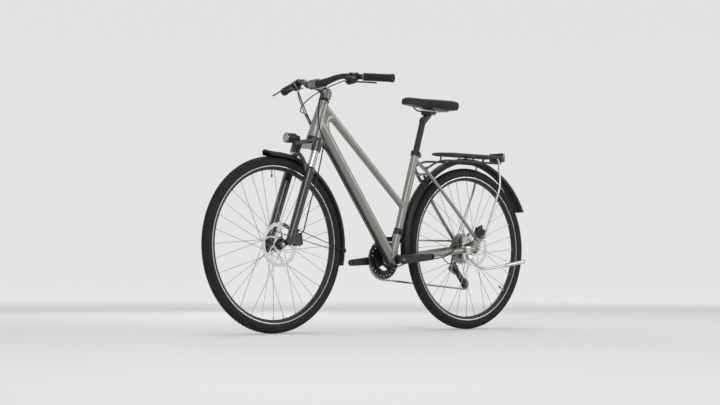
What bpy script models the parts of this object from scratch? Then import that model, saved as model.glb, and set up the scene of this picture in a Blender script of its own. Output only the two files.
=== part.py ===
"""Trekking hybrid bicycle with a low-slung frame, suspension fork, disc brakes,
mudguards, rear rack and side stand. Metres, +Z up, wheels standing on z = 0.
The bicycle faces -X, the rider's left side is -Y and the chain runs on +Y.
"""
import math

import bmesh
import bpy
from mathutils import Matrix, Vector

for old in list(bpy.data.objects):
    bpy.data.objects.remove(old, do_unlink=True)

# Fits between pieces
SEAT_GAP = 0.0003
RUN_GAP = 0.0010

# Overall layout
WHEELBASE = 1.101
RIM_EDGE_RADIUS = 0.3170
TYRE_HEIGHT = 0.0376
TYRE_RADIUS = RIM_EDGE_RADIUS + TYRE_HEIGHT
CHAINSTAY_LENGTH = 0.4537
BB_DROP = 0.0536
SEAT_ANGLE = math.radians(73.0)
SEAT_TUBE_LENGTH = 0.487
HEAD_ANGLE = math.radians(70.0)
FORK_OFFSET = 0.046
FORK_ABOVE_TYRE = 0.1294
HEAD_TUBE_FOOT = TYRE_RADIUS + FORK_ABOVE_TYRE
HEAD_TUBE_LENGTH = 0.162

FRONT_AXLE = Vector((-WHEELBASE / 2, 0.0, TYRE_RADIUS))
REAR_AXLE = Vector((WHEELBASE / 2, 0.0, TYRE_RADIUS))
BB = REAR_AXLE - Vector((math.sqrt(CHAINSTAY_LENGTH ** 2 - BB_DROP ** 2), 0.0, BB_DROP))
STEER_UP = Vector((math.cos(HEAD_ANGLE), 0.0, math.sin(HEAD_ANGLE)))
STEER_FORWARD = Vector((-math.sin(HEAD_ANGLE), 0.0, math.cos(HEAD_ANGLE)))
STEER_FOOT = FRONT_AXLE - FORK_OFFSET * STEER_FORWARD
SEAT_UP = Vector((math.cos(SEAT_ANGLE), 0.0, math.sin(SEAT_ANGLE)))
Y_AXIS = Vector((0.0, 1.0, 0.0))
Z_AXIS = Vector((0.0, 0.0, 1.0))
LEFT = -1
RIGHT = 1


def steer(along, forward=0.0, side=0.0):
    """Point given along the steering axis, forward of it and to one side."""
    return STEER_FOOT + along * STEER_UP + forward * STEER_FORWARD + side * Y_AXIS


def seat(along, behind=0.0, side=0.0):
    """Point given up the seat tube from the crank axle, behind it and to one side."""
    back = Vector((math.sin(SEAT_ANGLE), 0.0, -math.cos(SEAT_ANGLE)))
    return BB + along * SEAT_UP + behind * back + side * Y_AXIS


def wheel_point(axle, radius, degrees, side=0.0):
    """Point at a radius and an angle about an axle, 0 to the rear and 90 up."""
    turn = math.radians(degrees)
    return axle + Vector((radius * math.cos(turn), side, radius * math.sin(turn)))


def running_bore(radius, steps):
    """Radius of a bore of flat facets in which a round shaft can turn."""
    return radius / math.cos(math.pi / steps) + SEAT_GAP


def material(name, colour, roughness, metallic=0.0):
    made = bpy.data.materials.new(name)
    made.use_nodes = True
    shader = made.node_tree.nodes["Principled BSDF"]
    shader.inputs["Base Color"].default_value = (*colour, 1.0)
    shader.inputs["Roughness"].default_value = roughness
    shader.inputs["Metallic"].default_value = metallic
    return made


FRAME_PAINT = material("sage_metallic_paint", (0.34, 0.36, 0.31), 0.38, 0.55)
BLACK_GLOSS = material("gloss_black_paint", (0.012, 0.012, 0.013), 0.16)
BLACK_SATIN = material("satin_black_alloy", (0.025, 0.025, 0.027), 0.42, 0.35)
BLACK_PLASTIC = material("black_plastic", (0.022, 0.022, 0.023), 0.52)
BLACK_RUBBER = material("black_rubber", (0.018, 0.018, 0.018), 0.78)
GREY_ALLOY = material("brushed_grey_alloy", (0.48, 0.48, 0.47), 0.40, 0.85)
SILVER = material("silver_alloy", (0.66, 0.66, 0.65), 0.30, 0.95)
STEEL = material("polished_steel", (0.58, 0.58, 0.57), 0.26, 1.0)
DARK_STEEL = material("dark_steel", (0.20, 0.20, 0.20), 0.38, 0.9)
SADDLE_COVER = material("black_saddle_cover", (0.020, 0.020, 0.021), 0.58)
CLEAR_LENS = material("clear_lens", (0.82, 0.85, 0.88), 0.08)
RED_LENS = material("red_lens", (0.45, 0.01, 0.01), 0.15)


def add_piece(name, shape, finish=None):
    """Turn a bmesh into a named object with its faces pointing outwards."""
    bmesh.ops.recalc_face_normals(shape, faces=shape.faces)
    mesh = bpy.data.meshes.new(name)
    shape.to_mesh(mesh)
    shape.free()
    made = bpy.data.objects.new(name, mesh)
    bpy.context.scene.collection.objects.link(made)
    if finish:
        mesh.materials.append(finish)
    return made


def facing(origin, axis, across=None):
    """Matrix whose local z is the axis and whose local x leans to the given direction."""
    up = axis.normalized()
    hint = across if across else (Vector((1.0, 0.0, 0.0)) if abs(up.x) < 0.9 else Z_AXIS)
    x_axis = (hint - hint.dot(up) * up).normalized()
    y_axis = up.cross(x_axis)
    turn = Matrix((x_axis, y_axis, up)).transposed().to_4x4()
    return Matrix.Translation(origin) @ turn


def turned(name, outline, place, steps=24, finish=None, closed=False):
    """Turn an outline of (height, radius) points about the local z axis of a place.

    A closed outline makes a ring, an open one starts and ends on the axis.
    """
    shape = bmesh.new()
    rings = []
    for height, radius in outline:
        if radius < 1e-7:
            rings.append([shape.verts.new(place @ Vector((0.0, 0.0, height)))])
            continue
        ring = []
        for step in range(steps):
            turn = 2 * math.pi * (step + 0.5) / steps
            spot = Vector((radius * math.cos(turn), radius * math.sin(turn), height))
            ring.append(shape.verts.new(place @ spot))
        rings.append(ring)
    pairs = list(zip(rings, rings[1:]))
    if closed:
        pairs.append((rings[-1], rings[0]))
    for first, second in pairs:
        for step in range(steps):
            after = (step + 1) % steps
            corners = [first[step % len(first)], first[after % len(first)],
                       second[after % len(second)], second[step % len(second)]]
            unique = list(dict.fromkeys(corners))
            shape.faces.new(unique)
    return add_piece(name, shape, finish)


def rod(name, start, end, radius, steps=12, finish=None, end_radius=None):
    """Round bar between two points, tapered when an end radius is given."""
    axis = end - start
    last = radius if end_radius is None else end_radius
    outline = [(0.0, 0.0), (0.0, radius), (axis.length, last), (axis.length, 0.0)]
    return turned(name, outline, facing(start, axis), steps, finish)


def sleeve(name, start, end, outer, inner, steps=20, finish=None):
    """Round tube with an open bore between two points."""
    axis = end - start
    outline = [(0.0, inner), (0.0, outer), (axis.length, outer), (axis.length, inner)]
    return turned(name, outline, facing(start, axis), steps, finish, closed=True)


def smooth_path(points, between=4):
    """Catmull-Rom curve through the points, with a number of steps between each pair."""
    padded = [2 * points[0] - points[1]] + list(points) + [2 * points[-1] - points[-2]]
    path = []
    for before, start, end, after in zip(padded, padded[1:], padded[2:], padded[3:]):
        for step in range(between):
            t = step / between
            path.append(0.5 * ((2 * start) + (end - before) * t
                               + (2 * before - 5 * start + 4 * end - after) * t ** 2
                               + (3 * start - before - 3 * end + after) * t ** 3))
    path.append(points[-1])
    return path


def swept(name, path, widths, heights=None, steps=8, finish=None, up=None, loop=False):
    """Tube of round or oval section along a path.

    With an up direction the height lies in the plane of the path and up,
    without it the section is carried along the path without twist.
    """
    count = len(path)
    wide = widths if isinstance(widths, (list, tuple)) else [widths] * count
    high = wide if heights is None else (heights if isinstance(heights, (list, tuple)) else [heights] * count)
    shape = bmesh.new()
    rings = []
    carried = None
    for index, point in enumerate(path):
        before = path[index - 1] if index or loop else point
        after = path[(index + 1) % count] if index < count - 1 or loop else point
        along = (after - before).normalized()
        if up is not None:
            lateral = along.cross(up).normalized()
        elif carried is None:
            hint = Z_AXIS if abs(along.z) < 0.8 else Y_AXIS
            lateral = along.cross(hint).normalized()
        else:
            lateral = (carried - carried.dot(along) * along).normalized()
        carried = lateral
        rise = lateral.cross(along)
        ring = []
        for step in range(steps):
            turn = 2 * math.pi * (step + 0.5) / steps
            offset = wide[index] * math.cos(turn) * lateral + high[index] * math.sin(turn) * rise
            ring.append(shape.verts.new(point + offset))
        rings.append(ring)
    pairs = list(zip(rings, rings[1:]))
    if loop:
        pairs.append((rings[-1], rings[0]))
    for first, second in pairs:
        for step in range(steps):
            after = (step + 1) % steps
            shape.faces.new((first[step], first[after], second[after], second[step]))
    if not loop:
        shape.faces.new(rings[0])
        shape.faces.new(rings[-1])
    return add_piece(name, shape, finish)


def block(name, centre, size, axes=None, finish=None):
    """Box of a given size, along given axes or the world's."""
    along = axes if axes else (Vector((1.0, 0.0, 0.0)), Y_AXIS, Z_AXIS)
    turn = Matrix(along).transposed().to_4x4()
    shape = bmesh.new()
    bmesh.ops.create_cube(shape, size=1.0)
    bmesh.ops.scale(shape, vec=size, verts=shape.verts)
    bmesh.ops.transform(shape, matrix=Matrix.Translation(centre) @ turn, verts=shape.verts)
    return add_piece(name, shape, finish)


def plate(name, outline, y_low, y_high, finish=None):
    """Flat plate of an outline of (x, z) points between two values of y."""
    shape = bmesh.new()
    near = [shape.verts.new((x, y_low, z)) for x, z in outline]
    far = [shape.verts.new((x, y_high, z)) for x, z in outline]
    shape.faces.new(near)
    shape.faces.new(far)
    for index in range(len(outline)):
        after = (index + 1) % len(outline)
        shape.faces.new((near[index], near[after], far[after], far[index]))
    return add_piece(name, shape, finish)


def hull_outline(circles, steps=10):
    """Outline of (x, z) points round a chain of circles of (x, z, radius)."""
    points = []
    for x, z, radius in circles:
        for step in range(steps):
            turn = 2 * math.pi * step / steps
            points.append((x + radius * math.cos(turn), z + radius * math.sin(turn)))
    points.sort()
    halves = []
    for ordered in (points, points[::-1]):
        chain = []
        for point in ordered:
            while len(chain) > 1 and ((chain[-1][0] - chain[-2][0]) * (point[1] - chain[-2][1])
                                      - (chain[-1][1] - chain[-2][1]) * (point[0] - chain[-2][0])) <= 1e-12:
                chain.pop()
            chain.append(point)
        halves.append(chain[:-1])
    return halves[0] + halves[1]


def triangulate(piece):
    shape = bmesh.new()
    shape.from_mesh(piece.data)
    bmesh.ops.triangulate(shape, faces=shape.faces)
    shape.to_mesh(piece.data)
    shape.free()


def combine(target, others, operation="UNION"):
    """Join other pieces to a target, or cut them out of it, and remove them."""
    for other in others:
        triangulate(target)
        step = target.modifiers.new("join", "BOOLEAN")
        step.operation = operation
        step.solver = "EXACT"
        step.object = other
        graph = bpy.context.evaluated_depsgraph_get()
        mesh = bpy.data.meshes.new_from_object(target.evaluated_get(graph))
        target.modifiers.clear()
        target.data = mesh
        bpy.data.objects.remove(other, do_unlink=True)
    shape = bmesh.new()
    shape.from_mesh(target.data)
    bmesh.ops.dissolve_limit(shape, angle_limit=math.radians(0.3), verts=shape.verts, edges=shape.edges)
    shape.to_mesh(target.data)
    shape.free()
    return target


def cut(target, *cutters):
    return combine(target, cutters, "DIFFERENCE")


def join(target, *others):
    return combine(target, others, "UNION")


def named(piece, name, finish):
    """Give a finished piece its name and its material, and soften its round faces."""
    piece.name = name
    piece.data.name = name
    piece.data.materials.clear()
    piece.data.materials.append(finish)
    for face in piece.data.polygons:
        face.use_smooth = True
        face.material_index = 0
    piece.data.set_sharp_from_angle(angle=math.radians(35))
    return piece


# Wheels and hubs
TYRE_HALF_WIDTH = 0.0210
TYRE_WALL = 0.0035
TYRE_TREAD = 0.0046
RIM_BED_RADIUS = RIM_EDGE_RADIUS - 0.0067
RIM_INNER_RADIUS = RIM_BED_RADIUS - 0.0108
RIM_HALF_WIDTH = 0.0125
RIM_WALL = 0.0015
WHEEL_STEPS = 26
SPOKE_COUNT = 32
SPOKE_CROSSES = 3
SPOKE_RADIUS = 0.0010
SPOKE_HOLE_RADIUS = 0.0260
SPOKE_HEAD_OFFSET = 0.0021
SPOKE_RIM_OFFSET = 0.0030
FLANGE_RADIUS = 0.0310
FLANGE_HALF = 0.0025
ROTOR_BORE = 0.0225
ROTOR_SEAT_RADIUS = ROTOR_BORE - 0.0010
ROTOR_HALF = 0.0009
FRONT_ROTOR_RADIUS = 0.0900
REAR_ROTOR_RADIUS = 0.0800
FRONT_ROTOR_SIDE = -0.0385
REAR_ROTOR_SIDE = -0.0525
FRONT_HUB_HALF = 0.0480
FRONT_AXLE_RADIUS = 0.0045
FRONT_FLANGE_LEFT = -0.0280
FRONT_FLANGE_RIGHT = 0.0340
REAR_HUB_LEFT = -0.0545
REAR_HUB_RIGHT = 0.0255
REAR_FLANGE_LEFT = -0.0350
REAR_FLANGE_RIGHT = 0.0180
HUB_SHELL_RADIUS = 0.0190

# Drive train
CHAIN_PITCH = 0.0127
CHAIN_SIDE = 0.0500
CHAIN_PLATE_HALF = 0.0042
CHAIN_INNER = 0.0013
CHAIN_OUTER = 0.0033
RING_TEETH = 42
INNER_RING_TEETH = 30
PULLEY_TEETH = 11
COG_TEETH = (11, 13, 15, 17, 20, 23, 26, 30, 34)
COG_IN_USE = 3
COG_SPACING = 0.00434
COG_HALF = 0.0007
RING_HALF = 0.0009
RING_SPACING = 0.0075
GUIDE_PULLEY = Vector((-0.0205, 0.0, -0.0866))
TENSION_PULLEY = Vector((0.0415, 0.0, -0.1566))
PULLEY_BORE = 0.0033
HANGER_BOLT_RADIUS = 0.0050
CRANK_LENGTH = 0.170
CRANK_TILT = math.radians(4.6)
SPINDLE_RADIUS = 0.0120
CRANK_FACE = 0.0620
CRANK_THICKNESS = 0.0140

# Mudguards
GUARD_HALF = 0.0265
GUARD_DEPTH = 0.0200
GUARD_WALL = 0.0016
FRONT_GUARD_RADIUS = TYRE_RADIUS + 0.0199
FRONT_GUARD_FROM = -12.5
FRONT_GUARD_TO = 97.0
REAR_GUARD_TAIL_RADIUS = TYRE_RADIUS + 0.0494
REAR_GUARD_FOOT_RADIUS = TYRE_RADIUS + 0.0344
REAR_GUARD_FROM = 25.0
REAR_GUARD_TO = 187.0


def pitch_radius(teeth):
    """Radius of the roller centres on a chain wheel."""
    return CHAIN_PITCH / (2 * math.sin(math.pi / teeth))


def rear_guard_radius(degrees):
    """Outer crown radius of the rear mudguard, which flares towards its tail."""
    share = (degrees - REAR_GUARD_FROM) / (REAR_GUARD_TO - REAR_GUARD_FROM)
    return REAR_GUARD_TAIL_RADIUS + (REAR_GUARD_FOOT_RADIUS - REAR_GUARD_TAIL_RADIUS) * share


# Frame tubes, bores and plates
HEAD_RADIUS_FOOT = 0.0275
HEAD_RADIUS_TOP = 0.0215
HEAD_BORE = 0.0185
DOWN_TUBE_RADIUS = 0.0240
DOWN_TUBE_START = 0.073
TOP_TUBE_RADIUS_HEAD = 0.0165
TOP_TUBE_RADIUS_SEAT = 0.0135
TOP_TUBE_START = 0.147
TOP_TUBE_SEAT_HEIGHT = 0.232
SEAT_TUBE_RADIUS = 0.0170
POST_RADIUS = 0.0136
POST_BORE_DEPTH = 0.330
STAY_BELOW_TOP = 0.042
BB_SHELL_RADIUS = 0.0205
BB_SHELL_HALF = 0.034
BB_UNIT_RADIUS = 0.0170
STAY_WIDTH = 0.0080
STAY_HEIGHT = 0.0125
SEAT_STAY_RADIUS = 0.0075
REAR_SPACING_HALF = 0.0675
DROPOUT_THICKNESS = 0.0060
DROPOUT_SIDE = REAR_SPACING_HALF + DROPOUT_THICKNESS / 2
REAR_AXLE_RADIUS = 0.0050
BOSS_RADIUS = 0.0070
BOSS_FACE = 0.0800
RACK_BOSS_BEHIND = 0.030
RACK_BOSS_ABOVE = 0.050
HANGER_DROP = 0.030
HANGER_BEHIND = 0.009
STAY_BOSS_FACE = 0.0430
HEAD_TOP = HEAD_TUBE_FOOT + HEAD_TUBE_LENGTH
RACK_BOSS = REAR_AXLE + Vector((RACK_BOSS_BEHIND, 0.0, RACK_BOSS_ABOVE))
HANGER_BOLT = REAR_AXLE + Vector((HANGER_BEHIND, 0.0, -HANGER_DROP))


def chainstay_path(side):
    """Chainstay centre line, which leaves room for the tyre and the chainrings."""
    start = BB + Vector((0.012, side * 0.020, 0.004))
    end = REAR_AXLE + Vector((-0.031, side * DROPOUT_SIDE, -0.004))
    widths = ((0.00, 0.020), (0.12, 0.0315), (0.165, 0.0368), (0.22, 0.0395), (0.33, 0.0480),
              (0.50, 0.0570), (0.75, 0.0665), (1.00, DROPOUT_SIDE))
    points = []
    for share, away in widths:
        middle = start.lerp(end, share)
        points.append(Vector((middle.x, side * away, middle.z)))
    return points


def seat_stay_path(side):
    """Seat stay centre line from the seat tube down to the dropout."""
    start = STAY_TOP
    end = STAY_END
    widths = ((0.00, 0.0117), (0.08, 0.026), (0.17, 0.0370), (0.40, 0.0490),
              (0.70, 0.0620), (1.00, DROPOUT_SIDE))
    points = []
    for share, away in widths:
        middle = start.lerp(end, share)
        points.append(Vector((middle.x, side * away, middle.z)))
    return points


STAY_BRIDGE_SHARE = 0.155
STAY_BOSS_SHARE = 0.085
STAY_BRIDGE_HALF = 0.0345
STAY_BRIDGE_RADIUS = 0.0055
LOW_BRIDGE_RADIUS = 0.0060
STAY_TOP = seat(SEAT_TUBE_LENGTH - STAY_BELOW_TOP, 0.006)
STAY_END = REAR_AXLE + Vector((0.004, 0.0, 0.030))
STAY_BRIDGE = STAY_TOP.lerp(STAY_END, STAY_BRIDGE_SHARE)
STAY_BOSS = STAY_TOP.lerp(STAY_END, STAY_BOSS_SHARE)
LOW_BRIDGE = BB + Vector((0.052, 0.0, 0.010))


def frame_piece():
    spare = 0.004
    head_end = HEAD_TUBE_LENGTH + spare
    head = turned("head", [(-spare, 0.0), (-spare, HEAD_RADIUS_FOOT), (0.022, HEAD_RADIUS_FOOT - 0.0005),
                           (HEAD_TUBE_LENGTH - 0.015, HEAD_RADIUS_TOP), (head_end, HEAD_RADIUS_TOP),
                           (head_end, 0.0)],
                  facing(steer(HEAD_TUBE_FOOT), STEER_UP), 16)
    down_start = steer(HEAD_TUBE_FOOT + DOWN_TUBE_START)
    down = rod("down", down_start, BB + 0.004 * (BB - down_start).normalized(), DOWN_TUBE_RADIUS, 14)
    top_start = steer(HEAD_TUBE_FOOT + TOP_TUBE_START)
    top = rod("top", top_start, seat(TOP_TUBE_SEAT_HEIGHT), TOP_TUBE_RADIUS_HEAD, 12,
              end_radius=TOP_TUBE_RADIUS_SEAT)
    seat_tube = rod("seat_tube", BB, seat(SEAT_TUBE_LENGTH), SEAT_TUBE_RADIUS, 14)
    shell = rod("shell", BB - BB_SHELL_HALF * Y_AXIS, BB + BB_SHELL_HALF * Y_AXIS, BB_SHELL_RADIUS, 14)
    parts = [down, top, seat_tube, shell]
    for side in (LEFT, RIGHT):
        parts.append(swept("chainstay", smooth_path(chainstay_path(side), 1), STAY_WIDTH, STAY_HEIGHT, 6,
                           up=Z_AXIS))
        parts.append(swept("seat_stay", smooth_path(seat_stay_path(side), 1), SEAT_STAY_RADIUS, None, 6,
                           up=Z_AXIS))
        axle = REAR_AXLE
        outline = hull_outline([(axle.x - 0.030, axle.z - 0.004, 0.011), (axle.x, axle.z, 0.013),
                                (axle.x + 0.003, axle.z + 0.034, 0.008)], 7)
        inner = side * (DROPOUT_SIDE - DROPOUT_THICKNESS / 2)
        outer = side * (DROPOUT_SIDE + DROPOUT_THICKNESS / 2)
        parts.append(plate("dropout", outline, min(inner, outer), max(inner, outer)))
        tab = hull_outline([(RACK_BOSS.x, RACK_BOSS.z, 0.0085), (axle.x + 0.002, axle.z + 0.026, 0.010)], 6)
        parts.append(plate("rack_tab", tab, min(inner, outer) + 0.0005, max(inner, outer) - 0.0005))
        boss_start = RACK_BOSS + side * (DROPOUT_SIDE - 0.001) * Y_AXIS
        parts.append(rod("boss", boss_start, RACK_BOSS + side * BOSS_FACE * Y_AXIS, BOSS_RADIUS, 10))
        stay_boss = STAY_BOSS + side * (STAY_BOSS_FACE - 0.018) * Y_AXIS
        parts.append(rod("stay_boss", stay_boss, STAY_BOSS + side * STAY_BOSS_FACE * Y_AXIS, 0.0055, 8))
    hanger = hull_outline([(REAR_AXLE.x + 0.002, REAR_AXLE.z - 0.004, 0.010),
                           (HANGER_BOLT.x, HANGER_BOLT.z, 0.0085)], 8)
    parts.append(plate("hanger", hanger, DROPOUT_SIDE - 0.0025, DROPOUT_SIDE + 0.0025))
    parts.append(rod("seat_stay_bridge", STAY_BRIDGE - STAY_BRIDGE_HALF * Y_AXIS,
                     STAY_BRIDGE + STAY_BRIDGE_HALF * Y_AXIS, STAY_BRIDGE_RADIUS, 8))
    parts.append(rod("chainstay_bridge", LOW_BRIDGE - 0.030 * Y_AXIS, LOW_BRIDGE + 0.030 * Y_AXIS,
                     LOW_BRIDGE_RADIUS, 8))
    body = join(head, *parts)
    cutters = [rod("steerer_bore", steer(HEAD_TUBE_FOOT - 0.02), steer(HEAD_TOP + 0.02), HEAD_BORE, 12),
               rod("head_top_trim", steer(HEAD_TOP), steer(HEAD_TOP + 0.05), 0.045, 12),
               rod("head_foot_trim", steer(HEAD_TUBE_FOOT), steer(HEAD_TUBE_FOOT - 0.05), 0.045, 12),
               rod("post_bore", seat(SEAT_TUBE_LENGTH - POST_BORE_DEPTH), seat(SEAT_TUBE_LENGTH + 0.02),
                   POST_RADIUS + SEAT_GAP, 14),
               rod("shell_bore", BB - 0.06 * Y_AXIS, BB + 0.06 * Y_AXIS, BB_UNIT_RADIUS + SEAT_GAP, 14)]
    for side in (LEFT, RIGHT):
        cutters.append(rod("axle_hole", REAR_AXLE + side * 0.060 * Y_AXIS, REAR_AXLE + side * 0.085 * Y_AXIS,
                           REAR_AXLE_RADIUS + SEAT_GAP, 12))
    cutters.append(rod("hanger_hole", HANGER_BOLT + 0.060 * Y_AXIS, HANGER_BOLT + 0.085 * Y_AXIS,
                       HANGER_BOLT_RADIUS + SEAT_GAP, 10))
    return named(cut(body, *cutters), "frame", FRAME_PAINT)


frame = frame_piece()

# Headset, steerer and suspension fork
STEERER_RADIUS = 0.0143
LOWER_HEADSET_HEIGHT = 0.0200
UPPER_HEADSET_HEIGHT = 0.0090
SPACER_HEIGHT = 0.0050
HEADSET_RADIUS_LOW = 0.0265
HEADSET_RADIUS_HIGH = 0.0225
CUP_DEPTH = 0.0120
CROWN_TOP = HEAD_TUBE_FOOT - LOWER_HEADSET_HEIGHT - SEAT_GAP
CROWN_HEIGHT = 0.0237
CROWN_FRONT = 0.040
CROWN_BACK = -0.018
LEG_FORWARD = 0.022
LEG_SIDE = 0.065
SOCKET_RADIUS = 0.0210
SOCKET_HEIGHT = 0.0530
STANCHION_RADIUS = 0.0150
STANCHION_FOOT = CROWN_TOP - 0.3437
LEG_FOOT = 0.012
LEG_TOP = TYRE_RADIUS - 0.0196
LEG_RADIUS_FOOT = 0.0165
LEG_RADIUS_TOP = 0.0190
LEG_BORE_FOOT = 0.050
SEAL_RADIUS = 0.0208
SEAL_HEIGHT = 0.012
ARCH_RADIUS = 0.0085
ARCH_HEIGHT = TYRE_RADIUS + 0.0344
ARCH_TOP = steer(ARCH_HEIGHT, 0.058)
FORK_FACE = 0.0503
FORK_TAB_THICKNESS = 0.0090
STEM_FOOT = HEAD_TOP + UPPER_HEADSET_HEIGHT + SPACER_HEIGHT + 3 * SEAT_GAP


def headset_cup(name, edge, direction, height, radius, edge_radius):
    """Bearing cup: a ring outside the head tube and a spigot inside it."""
    bore = running_bore(STEERER_RADIUS, 12)
    spigot = HEAD_BORE - SEAT_GAP
    outline = [(-CUP_DEPTH, bore), (-CUP_DEPTH, spigot), (SEAT_GAP, spigot), (SEAT_GAP, edge_radius),
               (height * 0.6, radius), (height, radius * 0.88), (height, bore)]
    made = turned(name, outline, facing(edge, direction), 12, closed=True)
    return named(made, name, BLACK_SATIN)


headset_lower = headset_cup("headset_lower", steer(HEAD_TUBE_FOOT), -STEER_UP, LOWER_HEADSET_HEIGHT,
                            HEADSET_RADIUS_LOW, HEAD_RADIUS_FOOT - 0.001)
headset_upper = headset_cup("headset_upper", steer(HEAD_TOP), STEER_UP, UPPER_HEADSET_HEIGHT,
                            HEADSET_RADIUS_HIGH, HEAD_RADIUS_TOP)
spacer_foot = HEAD_TOP + UPPER_HEADSET_HEIGHT + SEAT_GAP
headset_spacer = sleeve("headset_spacer", steer(spacer_foot), steer(spacer_foot + SPACER_HEIGHT), 0.0180,
                        STEERER_RADIUS + SEAT_GAP, 12)
named(headset_spacer, "headset_spacer", BLACK_SATIN)

STEER_AXES = (STEER_FORWARD, Y_AXIS, STEER_UP)


def fork_crown_piece():
    """Crown beam with its steerer and the two stanchions pressed into it."""
    beam = block("beam", steer(CROWN_TOP - CROWN_HEIGHT / 2, (CROWN_FRONT + CROWN_BACK) / 2),
                 (CROWN_FRONT - CROWN_BACK, 2 * (LEG_SIDE - 0.007), CROWN_HEIGHT), STEER_AXES)
    parts = [rod("steerer", steer(CROWN_TOP - 0.010), steer(STEM_FOOT + 0.035), STEERER_RADIUS, 12)]
    for side in (LEFT, RIGHT):
        away = side * LEG_SIDE
        parts.append(rod("socket", steer(CROWN_TOP - SOCKET_HEIGHT, LEG_FORWARD, away),
                         steer(CROWN_TOP + 0.002, LEG_FORWARD, away), SOCKET_RADIUS, 12))
        parts.append(rod("stanchion", steer(STANCHION_FOOT, LEG_FORWARD, away),
                         steer(CROWN_TOP - 0.020, LEG_FORWARD, away), STANCHION_RADIUS, 12))
    return named(join(beam, *parts), "fork_crown", BLACK_GLOSS)


CALIPER_SIDE_FACE = -0.0582
CALIPER_INNER_FACE = -0.0292
CALIPER_ANGLE = 12.0
CALIPER_FROM = 0.062
CALIPER_TO = 0.106
STAY_EYE = steer(0.078, LEG_FORWARD - 0.021)
STAY_EYE_SIDE = 0.0760


def fork_lowers_piece():
    """Magnesium lowers: two bored legs, the arch over the tyre and the dropouts."""
    arch = []
    for drop, forward, away in ((0.079, 0.030, 0.062), (0.054, 0.041, 0.056), (0.025, 0.0510, 0.040),
                                (0.004, 0.0572, 0.019)):
        arch.append(steer(ARCH_HEIGHT - drop, forward, away))
    arch.append(ARCH_TOP + 0.0085 * Y_AXIS)
    path = [Vector((spot.x, -spot.y, spot.z)) for spot in arch] + arch[::-1]
    body = swept("arch", path, ARCH_RADIUS, None, 8)
    parts = []
    cutters = []
    for side in (LEFT, RIGHT):
        away = side * LEG_SIDE
        parts.append(rod("leg", steer(LEG_FOOT, LEG_FORWARD, away), steer(LEG_TOP, LEG_FORWARD, away),
                         LEG_RADIUS_FOOT, 12, end_radius=LEG_RADIUS_TOP))
        parts.append(rod("seal", steer(LEG_TOP - SEAL_HEIGHT, LEG_FORWARD, away),
                         steer(LEG_TOP + 0.001, LEG_FORWARD, away), SEAL_RADIUS, 12))
        foot = steer(LEG_FOOT + 0.012, LEG_FORWARD)
        outline = hull_outline([(FRONT_AXLE.x, FRONT_AXLE.z, 0.0125), (foot.x, foot.z, 0.0130)], 10)
        inner = side * FORK_FACE
        outer = side * (FORK_FACE + FORK_TAB_THICKNESS)
        parts.append(plate("dropout", outline, min(inner, outer), max(inner, outer)))
        eye_start = Vector((STAY_EYE.x, side * (LEG_SIDE + 0.002), STAY_EYE.z))
        eye_end = Vector((STAY_EYE.x, side * STAY_EYE_SIDE, STAY_EYE.z))
        parts.append(rod("stay_eye", eye_start, eye_end, 0.0055, 8))
        cutters.append(rod("bore", steer(LEG_BORE_FOOT, LEG_FORWARD, away),
                           steer(LEG_TOP + 0.02, LEG_FORWARD, away), STANCHION_RADIUS + SEAT_GAP, 12))
        cutters.append(rod("axle_hole", FRONT_AXLE + side * 0.045 * Y_AXIS,
                           FRONT_AXLE + side * 0.066 * Y_AXIS, FRONT_AXLE_RADIUS + SEAT_GAP, 12))
    middle = (CALIPER_FROM + CALIPER_TO) / 2
    top = wheel_point(FRONT_AXLE, middle, CALIPER_ANGLE + 10)
    low = wheel_point(FRONT_AXLE, middle, CALIPER_ANGLE - 10)
    leg = steer(0.035, LEG_FORWARD)
    tab = hull_outline([(leg.x, leg.z, 0.012), (top.x, top.z, 0.008), (low.x, low.z, 0.008)], 10)
    tab_inner = CALIPER_SIDE_FACE - SEAT_GAP
    parts.append(plate("brake_tab", tab, tab_inner - 0.0060, tab_inner))
    return named(cut(join(body, *parts), *cutters), "fork_lowers", BLACK_GLOSS)


fork_crown = fork_crown_piece()
fork_lowers = fork_lowers_piece()


# Wheels
def tyre_piece(name, axle):
    """Open casing whose beads sit between the rim's walls."""
    inner_wall = RIM_HALF_WIDTH - RIM_WALL - SEAT_GAP
    foot = RIM_BED_RADIUS + SEAT_GAP
    bulge = TYRE_HALF_WIDTH
    middle = TYRE_RADIUS - bulge - 0.0006
    outline = []
    for step in range(-2, 3):
        turn = math.radians(62.0 * step)
        outline.append((bulge * math.sin(turn), middle + (TYRE_RADIUS - middle) * math.cos(turn)))
    shoulder = RIM_EDGE_RADIUS + 2 * SEAT_GAP
    outline += [(inner_wall, shoulder), (inner_wall, foot), (inner_wall - 0.0028, foot)]
    for step in (1, 0, -1):
        turn = math.radians(78.0 * step)
        outline.append(((bulge - TYRE_WALL) * math.sin(turn),
                        middle + (TYRE_RADIUS - middle - TYRE_TREAD) * math.cos(turn)))
    outline += [(-inner_wall + 0.0028, foot), (-inner_wall, foot), (-inner_wall, shoulder)]
    made = turned(name, outline, facing(axle, Y_AXIS), WHEEL_STEPS, closed=True)
    return named(made, name, BLACK_RUBBER)


VALVE_ANGLE = 92.0
VALVE_LENGTH = 0.030


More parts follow.
